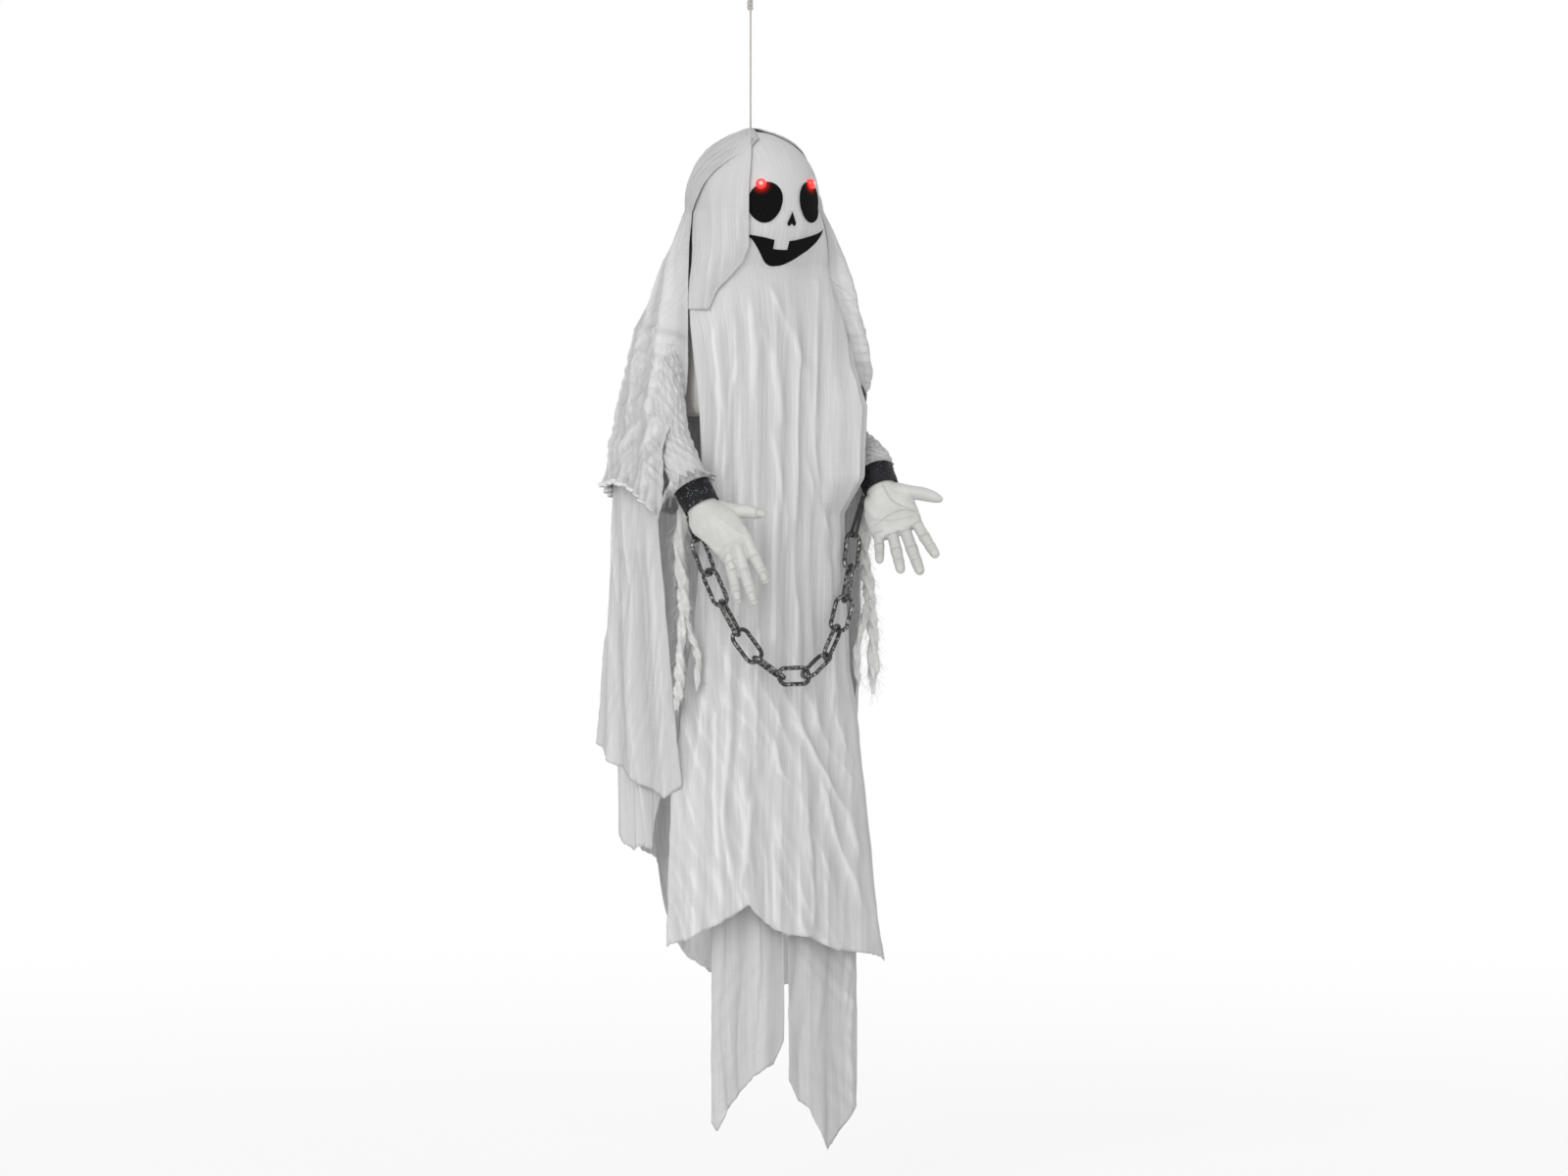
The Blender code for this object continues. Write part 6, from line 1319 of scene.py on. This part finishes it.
# Hands
#
# Soft vinyl hands, cast hollow in pale grey, wrist to fingertip in one piece. The right one shows
# its back and nails, the left one its palm, with creases, tendons and fine pores cast in.

PALM = 0.100
DIGITS = {
    # base across and along, tip across and along, drop of the tip, girth, in palm lengths
    "right": ((0.37, 0.96, 0.34, 1.71, 0.10, 1.00), (0.20, 1.01, 0.03, 1.92, 0.14, 1.05),
              (0.05, 0.98, -0.17, 1.77, 0.18, 1.00), (-0.06, 0.90, 0.00, 1.30, 0.34, 0.90)),
    "left": ((0.30, 0.96, 0.40, 1.70, 0.10, 1.00), (0.10, 1.01, 0.08, 1.90, 0.14, 1.05),
             (-0.10, 0.98, -0.19, 1.77, 0.18, 1.00), (-0.29, 0.88, -0.44, 1.46, 0.16, 0.88))}
KNUCKLES = {"right": (0.15, 0.74), "left": (0.0, 1.0)}
THUMB = ((0.06, 0.22, 0.02), (0.34, 0.42, 0.06), (0.58, 0.58, 0.06), (0.80, 0.76, 0.02))
PALM_RINGS = (
    # along in palm lengths, half width, half thickness, lift
    (-0.140, 0.598, 1.69, 0.00), (0.100, 0.598, 1.67, 0.00), (0.250, 0.61, 1.62, 0.00),
    (0.360, 0.81, 1.36, 0.00), (0.500, 0.97, 1.15, 0.02), (0.700, 1.00, 1.00, 0.04),
    (0.920, 0.98, 0.86, 0.03), (1.020, 0.86, 0.62, 0.00))
HAND_VOXEL = 0.00115
PALM_SIDES = 32
BALL_RINGS = 12


def ball(centre, sizes):
    """Vertices and faces of an ellipsoid."""
    made = bmesh.new()
    bmesh.ops.create_uvsphere(made, u_segments=BALL_RINGS * 2, v_segments=BALL_RINGS, radius=1.0)
    verts = [centre + Vector([a * b for a, b in zip(vert.co, sizes)]) for vert in made.verts]
    faces = [tuple(vert.index for vert in face.verts) for face in made.faces]
    made.free()
    return verts, faces


def hand_forms(label, flip):
    """Overlapping closed forms of one hand in its own frame: palm, digits, thumb and its ball."""
    forms = []
    verts = []
    shift, narrow = KNUCKLES[label]
    for along, wide, thick, lift in PALM_RINGS:
        spread = ease(0.20, 0.95, along)
        wide *= 1 + (narrow - 1) * spread
        for step in range(PALM_SIDES):
            turn = math.tau * step / PALM_SIDES
            verts.append(Vector((0.041 * wide * math.cos(turn) + shift * spread * PALM,
                                 PALM * along,
                                 flip * 0.0145 * (lift + thick * math.sin(turn)))))
    forms.append((verts, tube_faces(len(PALM_RINGS), PALM_SIDES)))
    for base_x, base_y, tip_x, tip_y, drop, girth in DIGITS[label]:
        base = Vector((base_x, base_y, 0.0))
        reach = Vector((tip_x - base_x, tip_y - base_y, 0.0))
        path, radii = [], []
        for share, radius in ((-0.22, 0.92), (0.0, 1.04), (0.14, 0.98), (0.30, 0.97), (0.40, 1.05),
                              (0.48, 1.00), (0.60, 0.92), (0.70, 0.97), (0.78, 0.90), (0.88, 0.86),
                              (0.94, 0.78), (0.975, 0.64), (1.0, 0.36)):
            path.append((base + reach * share
                         + Vector((0, 0, -flip * drop * max(share, 0.0) ** 2))) * PALM)
            radii.append(0.0090 * girth * radius)
        forms.append(swept(path, radii, 20))
        forms.append(ball(path[1] + Vector((0, 0, flip * 0.002)), (0.0098, 0.0120, 0.0078)))
    thumb = [Vector((x, y, -flip * drop)) * PALM for x, y, drop in THUMB]
    path = eased_line(thumb, 12)
    forms.append(swept(path, [0.0105 * r for r in (1.15, 1.20, 1.20, 1.16, 1.08, 1.02, 1.00, 1.03,
                                                   1.00, 0.94, 0.86, 0.68, 0.34)], 20))
    forms.append(ball(Vector((0.020, 0.046, -flip * 0.004)), (0.0180, 0.0240, 0.0130)))
    forms.append(ball(Vector((-0.023 + shift * 0.08, 0.050, -flip * 0.003)),
                      (0.0135, 0.0280, 0.0120)))
    return forms


def hand_vinyl(name):
    """Satin vinyl, warm pale grey: soft blotches, pores, and painted shade in its creases."""
    finish = Finish(name, {"Roughness": 0.45, "Specular IOR Level": 0.4, "Coat Roughness": 0.35})
    where = finish.place()
    cloud = finish.noise(where, 34.0, 3.0)
    pores = finish.noise(where, 1500.0, 2.0)
    crease = finish.node("Attribute", {"attribute_name": "crease"}, output=2)
    tone = finish.tint(cloud.ramp(0.30, 0.70), (0.52, 0.52, 0.495, 1.0), (0.58, 0.58, 0.555, 1.0))
    # Painted shade: darker grey along the cast creases, palm lines and nail rims.
    finish.feed("Base Color", finish.tint(crease * 0.6, tone, (0.27, 0.27, 0.245, 1.0)))
    finish.feed("Roughness", cloud * 0.2 + 0.36 + crease * 0.2)
    finish.feed("Coat Weight", (1 - crease) * 0.12)
    finish.raise_by(pores * 0.4 - crease * 2.0, 0.00025)
    return finish


vinyl = hand_vinyl("hand_vinyl")
for label, side in (("right", -1), ("left", 1)):
    wrist, along, thumb, frill, line = arm_line(label)
    turned = square_to(thumb, along, wrist)
    flip = side
    verts, faces = [], []
    for form_verts, form_faces in hand_forms(label, flip):
        faces += [tuple(index + len(verts) for index in face) for face in form_faces]
        verts += [tuple(vert) for vert in form_verts]
    mesh = bpy.data.meshes.new("hand_forms")
    mesh.from_pydata(verts, [], faces)
    rough = show("hand_forms", mesh)
    voxels = rough.modifiers.new("voxels", "REMESH")
    voxels.mode, voxels.voxel_size = "VOXEL", HAND_VOXEL
    soften = rough.modifiers.new("soften", "SMOOTH")
    soften.factor, soften.iterations = 0.5, 7
    mesh = bpy.data.meshes.new_from_object(rough.evaluated_get(
        bpy.context.evaluated_depsgraph_get()))
    bpy.data.objects.remove(rough, do_unlink=True)
    count = len(mesh.vertices)
    places = np.zeros(count * 3)
    mesh.vertices.foreach_get("co", places)
    places = places.reshape(count, 3)
    normals = np.zeros(count * 3)
    mesh.vertices.foreach_get("normal", normals)
    normals = normals.reshape(count, 3)
    # crease: depth of the cast creases, palm lines and nail rims; it sinks the surface, and the
    # vinyl paints shade along it.
    crease = np.zeros(count)
    lift = np.zeros(count)
    inner = np.clip(-flip * normals[:, 2], 0, 1)
    outer = np.clip(flip * normals[:, 2], 0, 1)
    for base_x, base_y, tip_x, tip_y, drop, girth in DIGITS[label]:
        base = np.array((base_x, base_y)) * PALM
        reach = np.array((tip_x - base_x, tip_y - base_y)) * PALM
        length = np.linalg.norm(reach)
        ahead, beside = reach / length, np.array((reach[1], -reach[0])) / length
        run = (places[:, :2] - base) @ ahead / length
        off = np.abs((places[:, :2] - base) @ beside)
        near = np.exp(-(off / (0.0105 * girth)) ** 6) * (places[:, 1] > 0.086)
        for share, deep in ((0.06, 0.9), (0.405, 1.0), (0.435, 0.6), (0.70, 0.9)):
            line_here = np.exp(-((run - share) * length / 0.0010) ** 2) * near
            crease = np.maximum(crease, line_here * inner * deep)
            crease = np.maximum(crease, line_here * outer * 0.55 * (share > 0.2))
        nail_x, nail_y = off / (0.0056 * girth), (run - 0.875) * length / 0.0066
        nail = np.clip(1.15 - (nail_x ** 4 + nail_y ** 4), 0, 1) * (outer > 0.35)
        rim = np.exp(-((nail_x ** 4 + nail_y ** 4 - 1.05) / 0.5) ** 2) * (outer > 0.25) * near
        lift += np.minimum(nail * 4, 1) * 0.00035
        crease = np.maximum(crease, rim * 0.8 * (run > 0.7))
    tip, knuckle = (np.array(THUMB[3][:2]) * PALM, np.array(THUMB[2][:2]) * PALM)
    ahead = (tip - knuckle) / np.linalg.norm(tip - knuckle)
    run = (places[:, :2] - tip) @ ahead
    off = np.abs((places[:, :2] - tip) @ np.array((ahead[1], -ahead[0])))
    nail_x, nail_y = off / 0.0066, (run + 0.0060) / 0.0080
    shape = nail_x ** 4 + nail_y ** 4
    lift += np.minimum(np.clip(1.15 - shape, 0, 1) * 4, 1) * 0.0004 * (outer > 0.35)
    crease = np.maximum(crease, np.exp(-((shape - 1.05) / 0.5) ** 2) * (outer > 0.25) * 0.8)
    for start, middle, end, deep in (((0.36, 0.80), (0.12, 0.72), (-0.30, 0.78), 0.9),
                                     ((0.30, 0.88), (0.00, 0.84), (-0.36, 0.66), 0.6),
                                     ((0.36, 0.80), (0.10, 0.55), (0.04, 0.24), 1.0),
                                     ((-0.30, 0.30), (-0.10, 0.26), (0.12, 0.28), 0.5)):
        route = eased_line([Vector((x * PALM, y * PALM, 0.0)) for x, y in (start, middle, end)], 40)
        gaps = np.min([np.hypot(places[:, 0] - point.x, places[:, 1] - point.y)
                       for point in route], axis=0)
        crease = np.maximum(crease, np.exp(-(gaps / 0.0011) ** 2) * inner * deep)
    for base_x, base_y, *_ in DIGITS[label]:
        route = [np.array((base_x * k + 0.02 * (1 - k), base_y * k + 0.30 * (1 - k))) * PALM
                 for k in np.linspace(0.35, 0.95, 24)]
        gaps = np.min([np.hypot(*(places[:, :2] - point).T) for point in route], axis=0)
        lift += np.exp(-(gaps / 0.0028) ** 2) * outer * 0.0007
    places += normals * (lift - crease * 0.00045)[:, None]
    mesh.vertices.foreach_set("co", places.ravel())
    mesh.attributes.new("crease", "FLOAT", "POINT").data.foreach_set("value", crease)
    mesh.transform(turned)
    mesh.update()
    hand = show("hand_%s_vinyl" % label, mesh, vinyl)
    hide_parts("hand_" + label)
    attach(hand, "arms")


# Cuffs
#
# Stiff bands of black glitter cloth wrapped round each wrist, glued at the back over a turned-in
# edge; silver and blue flakes lie in scattered clusters.

glitter = Finish("black_glitter", {"Roughness": 0.55, "Specular IOR Level": 0.25})
where = glitter.place()
flakes = glitter.noise(where, 460.0, 2.0).ramp(0.600, 0.650)
patches = glitter.noise(where, 95.0, 4.0).ramp(0.49, 0.60)
tinge = glitter.noise(where, 700.0, 0.0)
flake_colour = glitter.tint(tinge.ramp(0.40, 0.60), (0.50, 0.53, 0.56, 1.0),
                            (0.24, 0.34, 0.46, 1.0))
sparkle = flakes * (patches * 0.90 + 0.08)
ground = glitter.tint(glitter.noise(where, 480.0), (0.0025, 0.0025, 0.0030, 1.0),
                      (0.0100, 0.0100, 0.0115, 1.0))
glitter.feed("Base Color", glitter.tint(sparkle, ground, flake_colour))
glitter.feed("Metallic", sparkle * 0.7)
glitter.feed("Roughness", 0.62 - sparkle * 0.30)
glitter.raise_by(glitter.noise(where, 900.0) + flakes * 0.6, 0.0006)
for label in ("right", "left"):
    wrist, along, thumb, frill, line = arm_line(label)
    turned = square_to(thumb, along, wrist)
    profile = []
    for step in range(41):
        share = step / 40
        edge = math.exp(-(min(share, 1 - share) / 0.055) ** 2)
        profile.append((CUFF_WIDE + 0.00075 * math.sin(math.pi * share) + 0.0005 * edge,
                        CUFF_FOOT + CUFF_LENGTH * (1.1 * (1 - share) - 0.5)))
    for step in range(41):
        share = step / 40
        profile.append((CUFF_WIDE - 0.0014, CUFF_FOOT + CUFF_LENGTH * (1.1 * share - 0.5)))
    verts, faces = [], []
    for row, (radius, height) in enumerate(profile):
        for step in range(96):
            turn = math.tau * step / 96
            crumple = 0.00035 * noise.noise(Vector((math.cos(turn) * 2, math.sin(turn) * 2,
                                                    height * 90)))
            lap = 0.0006 * ease(4.30, 4.34, turn) * (1 - ease(4.55, 4.75, turn))
            wide = radius + (crumple + lap if row <= 40 else 0.0)
            verts.append(turned @ Vector((wide * math.cos(turn), height, wide * math.sin(turn))))
    for row in range(len(profile)):
        for step in range(96):
            after, below = (step + 1) % 96, (row + 1) % len(profile)
            faces.append((row * 96 + step, below * 96 + step, below * 96 + after,
                          row * 96 + after))
    mesh = bpy.data.meshes.new("cuff")
    mesh.from_pydata([tuple(vert) for vert in verts], [], faces)
    shape = bmesh.new()
    shape.from_mesh(mesh)
    bmesh.ops.recalc_face_normals(shape, faces=shape.faces)
    shape.to_mesh(mesh)
    shape.free()
    cuff = show("cuff_%s_band" % label, mesh, glitter)
    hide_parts("cuff_" + label)
    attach(cuff, "arms")


# Chain
#
# Eleven long oval links moulded in dark grey plastic with a rubbed gunmetal finish. A black felt
# strap on each cuff loops round the end link; the links are worn bright in scattered patches.

LINK_LENGTH, LINK_WIDE, LINK_WIRE = 0.0640, 0.0310, 0.0060


class Growth:
    """A Geometry Nodes tree with named sizes, whose result becomes a plain mesh."""

    def __init__(self, name, sizes):
        self.tree = bpy.data.node_groups.new(name, "GeometryNodeTree")
        face = self.tree.interface
        face.new_socket("Geometry", in_out="INPUT", socket_type="NodeSocketGeometry")
        face.new_socket("Geometry", in_out="OUTPUT", socket_type="NodeSocketGeometry")
        self.given = self.tree.nodes.new("NodeGroupInput").outputs
        self.sizes = {}
        for size, value in sizes.items():
            socket = face.new_socket(size, in_out="INPUT", socket_type="NodeSocketFloat")
            self.sizes[socket.identifier] = value

    def node(self, kind, settings, inputs, output=0):
        """A node by its full type, its settings, and the values or links of its sockets."""
        made = self.tree.nodes.new(kind)
        for key, value in settings.items():
            setattr(made, key, value)
        for key, value in inputs.items():
            if isinstance(value, bpy.types.NodeSocket):
                self.tree.links.new(value, made.inputs[key])
            else:
                made.inputs[key].default_value = value
        return made.outputs[output]

    def scaled(self, size, share):
        """A share of one of the tree's own sizes."""
        return self.node("ShaderNodeMath", {"operation": "MULTIPLY"},
                         {0: self.given[size], 1: share})

    def grown(self, name, base, shape, finish):
        """The tree's shape on a base mesh, as an object with a plain mesh."""
        real = self.node("GeometryNodeRealizeInstances", {}, {"Geometry": shape})
        dressed = self.node("GeometryNodeSetMaterial", {}, {"Geometry": real,
                                                            "Material": finish.material})
        out = self.tree.nodes.new("NodeGroupOutput")
        self.tree.links.new(dressed, out.inputs[0])
        seed = bpy.data.objects.new(name, base)
        scene.collection.objects.link(seed)
        step = seed.modifiers.new("growth", "NODES")
        step.node_group = self.tree
        for identifier, value in self.sizes.items():
            step[identifier] = value
        mesh = bpy.data.meshes.new_from_object(seed.evaluated_get(
            bpy.context.evaluated_depsgraph_get()))
        bpy.data.objects.remove(seed, do_unlink=True)
        return show(name, mesh)


gunmetal = Finish("worn_gunmetal", {"Roughness": 0.38, "Metallic": 0.8, "Coat Roughness": 0.3})
where = gunmetal.place()
worn = gunmetal.noise(where, 210.0, 5.0, 0.65)
brushed = gunmetal.noise(where, 1300.0, 2.0)
rub = (worn * 0.7 + brushed * 0.3).ramp(0.49, 0.63)
dark = gunmetal.tint(gunmetal.noise(where, 40.0), (0.020, 0.020, 0.020, 1.0),
                     (0.052, 0.050, 0.050, 1.0))
gunmetal.feed("Base Color", gunmetal.tint(rub, dark, (0.50, 0.49, 0.48, 1.0)))
gunmetal.feed("Roughness", 0.50 - rub * 0.20 + brushed * 0.08)
gunmetal.feed("Metallic", rub * 0.35 + 0.60)
gunmetal.raise_by(brushed * 0.4 + worn * 0.9, 0.0006)

middles, turns = [], []
for index in range(1, 12):
    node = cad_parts["chain_link_%02d" % index]
    spots = np.array([node.matrix_world @ vert.co for vert in node.data.vertices])
    middle = (spots.max(axis=0) + spots.min(axis=0)) / 2
    axes = np.linalg.svd(spots - spots.mean(axis=0), full_matrices=False)[2]
    long_way, wide_way = Vector(axes[0]), Vector(axes[1])
    middles.append(tuple(middle))
    turned = Matrix((long_way, wide_way, long_way.cross(wide_way))).transposed()
    turns.append(turned.to_euler())
spots_mesh = bpy.data.meshes.new("link_places")
spots_mesh.from_pydata(middles, [], [])
spots_mesh.attributes.new("turn", "FLOAT_VECTOR", "POINT").data.foreach_set(
    "vector", [angle for turn in turns for angle in turn])
links = Growth("oval_links", {"Length": LINK_LENGTH, "Width": LINK_WIDE, "Wire": LINK_WIRE})
long_side = links.node("ShaderNodeMath", {"operation": "SUBTRACT"},
                       {0: links.given["Length"], 1: links.given["Wire"]})
short_side = links.node("ShaderNodeMath", {"operation": "SUBTRACT"},
                        {0: links.given["Width"], 1: links.given["Wire"]})
bend = links.node("ShaderNodeMath", {"operation": "MULTIPLY"}, {0: short_side, 1: 0.499})
wire_radius = links.node("ShaderNodeMath", {"operation": "MULTIPLY"},
                         {0: links.given["Wire"], 1: 0.5})
oval = links.node("GeometryNodeCurvePrimitiveQuadrilateral", {},
                  {"Width": long_side, "Height": short_side})
oval = links.node("GeometryNodeFilletCurve", {"mode": "POLY"},
                  {"Curve": oval, "Count": 12, "Radius": bend})
oval = links.node("GeometryNodeResampleCurve", {}, {"Curve": oval, "Count": 72})
section = links.node("GeometryNodeCurvePrimitiveCircle", {}, {"Resolution": 14,
                                                              "Radius": wire_radius})
link = links.node("GeometryNodeCurveToMesh", {}, {"Curve": oval, "Profile Curve": section})
pitted = links.node("ShaderNodeTexNoise", {}, {"Scale": 420.0, "Detail": 2.0}, output=0)
pitted = links.node("ShaderNodeMath", {"operation": "MULTIPLY"}, {0: pitted, 1: 0.0005})
outward = links.node("GeometryNodeInputNormal", {}, {})
pushed = links.node("ShaderNodeVectorMath", {"operation": "SCALE"},
                    {"Vector": outward, "Scale": pitted})
link = links.node("GeometryNodeSetPosition", {}, {"Geometry": link, "Offset": pushed})
rotation = links.node("FunctionNodeEulerToRotation", {}, {"Euler": links.node(
    "GeometryNodeInputNamedAttribute", {"data_type": "FLOAT_VECTOR"}, {"Name": "turn"})})
placed = links.node("GeometryNodeInstanceOnPoints", {}, {
    "Points": links.given["Geometry"], "Instance": link, "Rotation": rotation})
chain = links.grown("chain_links", spots_mesh, placed, gunmetal)
chain.data.shade_smooth()
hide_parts(*["chain_link_%02d" % index for index in range(1, 12)])
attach(chain, "chain")

felt_strap = Finish("felt_strap", {"Roughness": 0.95, "Sheen Weight": 0.3})
where = felt_strap.place()
fibres = felt_strap.noise(where, 1800.0, 4.0)
felt_strap.feed("Base Color", felt_strap.tint(fibres, (0.006, 0.006, 0.007, 1.0),
                                              (0.040, 0.040, 0.043, 1.0)))
felt_strap.raise_by(fibres, 0.0008)
for label in ("right", "left"):
    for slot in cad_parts["chain_tab_" + label].material_slots:
        slot.material = felt_strap.material


# Twisted strips
#
# A torn ribbon of the gauze hangs from the back of each cuff, twisted on itself into a loose
# rope that swells and narrows, with feathery tufts of broken threads and one short side strand.

STRIPS = {
    # places below the sleeve, then those of the side strand
    "right": (((-0.163, -0.067, 0.640), (-0.155, -0.068, 0.715), (-0.160, -0.065, 0.790),
               (-0.162, -0.067, 0.840), (-0.168, -0.066, 0.879)),
              ((-0.156, -0.068, 0.725), (-0.145, -0.071, 0.765), (-0.133, -0.071, 0.800),
               (-0.134, -0.069, 0.852))),
    "left": (((0.177, -0.042, 0.640), (0.184, -0.046, 0.710), (0.188, -0.050, 0.770),
              (0.185, -0.055, 0.865)),
             ((0.183, -0.046, 0.715), (0.170, -0.049, 0.755), (0.158, -0.051, 0.805),
              (0.162, -0.052, 0.852)))}
STRIP_RADIUS = 0.0092
TUFT_SPREAD = 0.6


def rope(line, radius, sides=20, turns=9.0, seed=0.0):
    """Vertices and faces of a lobed, twisted rope that swells and narrows along a line."""
    verts = []
    for row, (point, ahead, side) in enumerate(carried(line)):
        share = row / (len(line) - 1)
        swell = 0.78 + 0.34 * noise.noise(Vector((share * 9.0, seed, 1.3)))
        swell *= 0.30 + 0.70 * ease(1.0, 0.86, share) if share > 0.86 else 1.0
        for step in range(sides):
            turn = math.tau * step / sides
            lobe = 1 + 0.30 * math.cos(3 * turn + turns * math.tau * share)
            lobe += 0.26 * noise.noise(Vector((math.cos(turn) * 2, math.sin(turn) * 2,
                                               share * 46 + seed)))
            verts.append(point + (side * math.cos(turn) + ahead.cross(side) * math.sin(turn))
                         * radius * swell * lobe)
    return verts, tube_faces(len(line), sides)


def ravelled(name, pale, dark):
    """Loose cotton fibres, in pale and grey streaks along the strand with soft clouds."""
    finish = Finish(name, {"Roughness": 0.9, "Sheen Weight": 0.2, "Specular IOR Level": 0.15})
    where = finish.place()
    streak = finish.noise(finish.stretched(where, (900.0, 900.0, 120.0)), 1.0, 3.0)
    cloud = finish.noise(where, 120.0, 3.0)
    finish.feed("Base Color", finish.tint(streak * 0.6 + cloud.ramp(0.3, 0.7) * 0.4, dark, pale))
    finish.raise_by(streak + cloud * 0.5, 0.0010)
    return finish


def tufts(name, base, count, length, finish, seed):
    """Short bent threads grown from a mesh's faces, all leaning down."""
    grown = Growth(name, {"Density": count, "Length": length, "Seed": float(seed)})
    start = grown.node("ShaderNodeCombineXYZ", {}, {})
    middle = grown.node("ShaderNodeCombineXYZ", {}, {0: grown.scaled("Length", 0.22),
                                                     2: grown.scaled("Length", 0.45)})
    tip = grown.node("ShaderNodeCombineXYZ", {}, {0: grown.scaled("Length", 0.05),
                                                  2: grown.given["Length"]})
    thread = grown.node("GeometryNodeCurveQuadraticBezier", {}, {
        "Resolution": 3, "Start": start, "Middle": middle, "End": tip})
    section = grown.node("GeometryNodeCurvePrimitiveCircle", {}, {"Resolution": 3,
                                                                  "Radius": 0.00024})
    strand = grown.node("GeometryNodeCurveToMesh", {}, {"Curve": thread,
                                                        "Profile Curve": section})
    points = grown.tree.nodes.new("GeometryNodeDistributePointsOnFaces")
    grown.tree.links.new(grown.given["Geometry"], points.inputs["Mesh"])
    grown.tree.links.new(grown.given["Density"], points.inputs["Density"])
    points.inputs["Seed"].default_value = seed
    lean = grown.node("FunctionNodeRandomValue", {"data_type": "FLOAT_VECTOR"}, {
        "Min": (-TUFT_SPREAD, -TUFT_SPREAD, 0.0), "Max": (TUFT_SPREAD, TUFT_SPREAD, 0.0),
        "Seed": seed + 1})
    outward = grown.node("ShaderNodeVectorMath", {"operation": "SCALE"},
                         {0: points.outputs["Normal"], "Scale": TUFT_SPREAD})
    way = grown.node("ShaderNodeVectorMath", {"operation": "ADD"}, {0: lean, 1: outward})
    way = grown.node("ShaderNodeVectorMath", {"operation": "ADD"}, {0: way, 1: (0.0, 0.0, -1.0)})
    turn = grown.node("FunctionNodeAlignRotationToVector", {"axis": "Z"}, {"Vector": way})
    size = grown.node("FunctionNodeRandomValue", {"data_type": "FLOAT"}, {
        2: 0.35, 3: 1.0, "Seed": seed + 2}, output=1)
    placed = grown.node("GeometryNodeInstanceOnPoints", {}, {
        "Points": points.outputs["Points"], "Instance": strand, "Rotation": turn,
        "Scale": size})
    return grown.grown(name, base, placed, finish)


strip_cotton = ravelled("strip_cotton", (0.86, 0.86, 0.85, 1.0), (0.58, 0.58, 0.57, 1.0))
for label, side in (("right", -1), ("left", 1)):
    wrist, along, thumb, frill, line = arm_line(label)
    rear = (Vector((0, 1, 0)) - along * along.y).normalized()
    start = wrist - along * 0.0152 + rear * 0.0324
    main, branch = ([at_level(*place) for place in places] for places in STRIPS[label])
    verts, faces = [], []
    for route, radius, rows, seed in (([start] + main, STRIP_RADIUS, 150, 3.0 + side),
                                      (branch, STRIP_RADIUS * 0.62, 70, 8.0 + side)):
        more, joined = rope(eased_line(route, rows), radius, seed=seed, turns=rows / 17)
        faces += [tuple(index + len(verts) for index in face) for face in joined]
        verts += [tuple(vert) for vert in more]
    mesh = bpy.data.meshes.new("strip")
    mesh.from_pydata(verts, [], faces)
    strip = show("strip_%s_rope" % label, mesh, strip_cotton)
    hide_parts("sleeve_strip_" + label)
    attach(strip, "arms")
    fringe = tufts("strip_%s_tufts" % label, mesh.copy(), 34000.0, 0.021, strip_cotton,
                   5 + side)
    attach(fringe, "arms")


# Rolled hem of the cape
#
# The cape's lower edge and its right front corner are rolled over into a soft cord of gauze,
# stitched loosely, so it waves with the frill and reads as a bright bead.

ROLL_RADIUS = 0.0038
shares = [0.004 + 0.992 * step / 900 for step in range(901)]
roll_line = [cape_sheet(share, between(CAPE_HEM, share)[0]) for share in shares]
verts, faces = rope(roll_line, ROLL_RADIUS, sides=12, turns=110.0, seed=17.0)
mesh = bpy.data.meshes.new("roll")
mesh.from_pydata([tuple(vert) for vert in verts], [], faces)
hem_roll = show("hood_cape_hem_roll", mesh, ravelled("hem_cotton", (0.90, 0.90, 0.895, 1.0),
                                                     (0.66, 0.66, 0.655, 1.0)))
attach(hem_roll, "body")
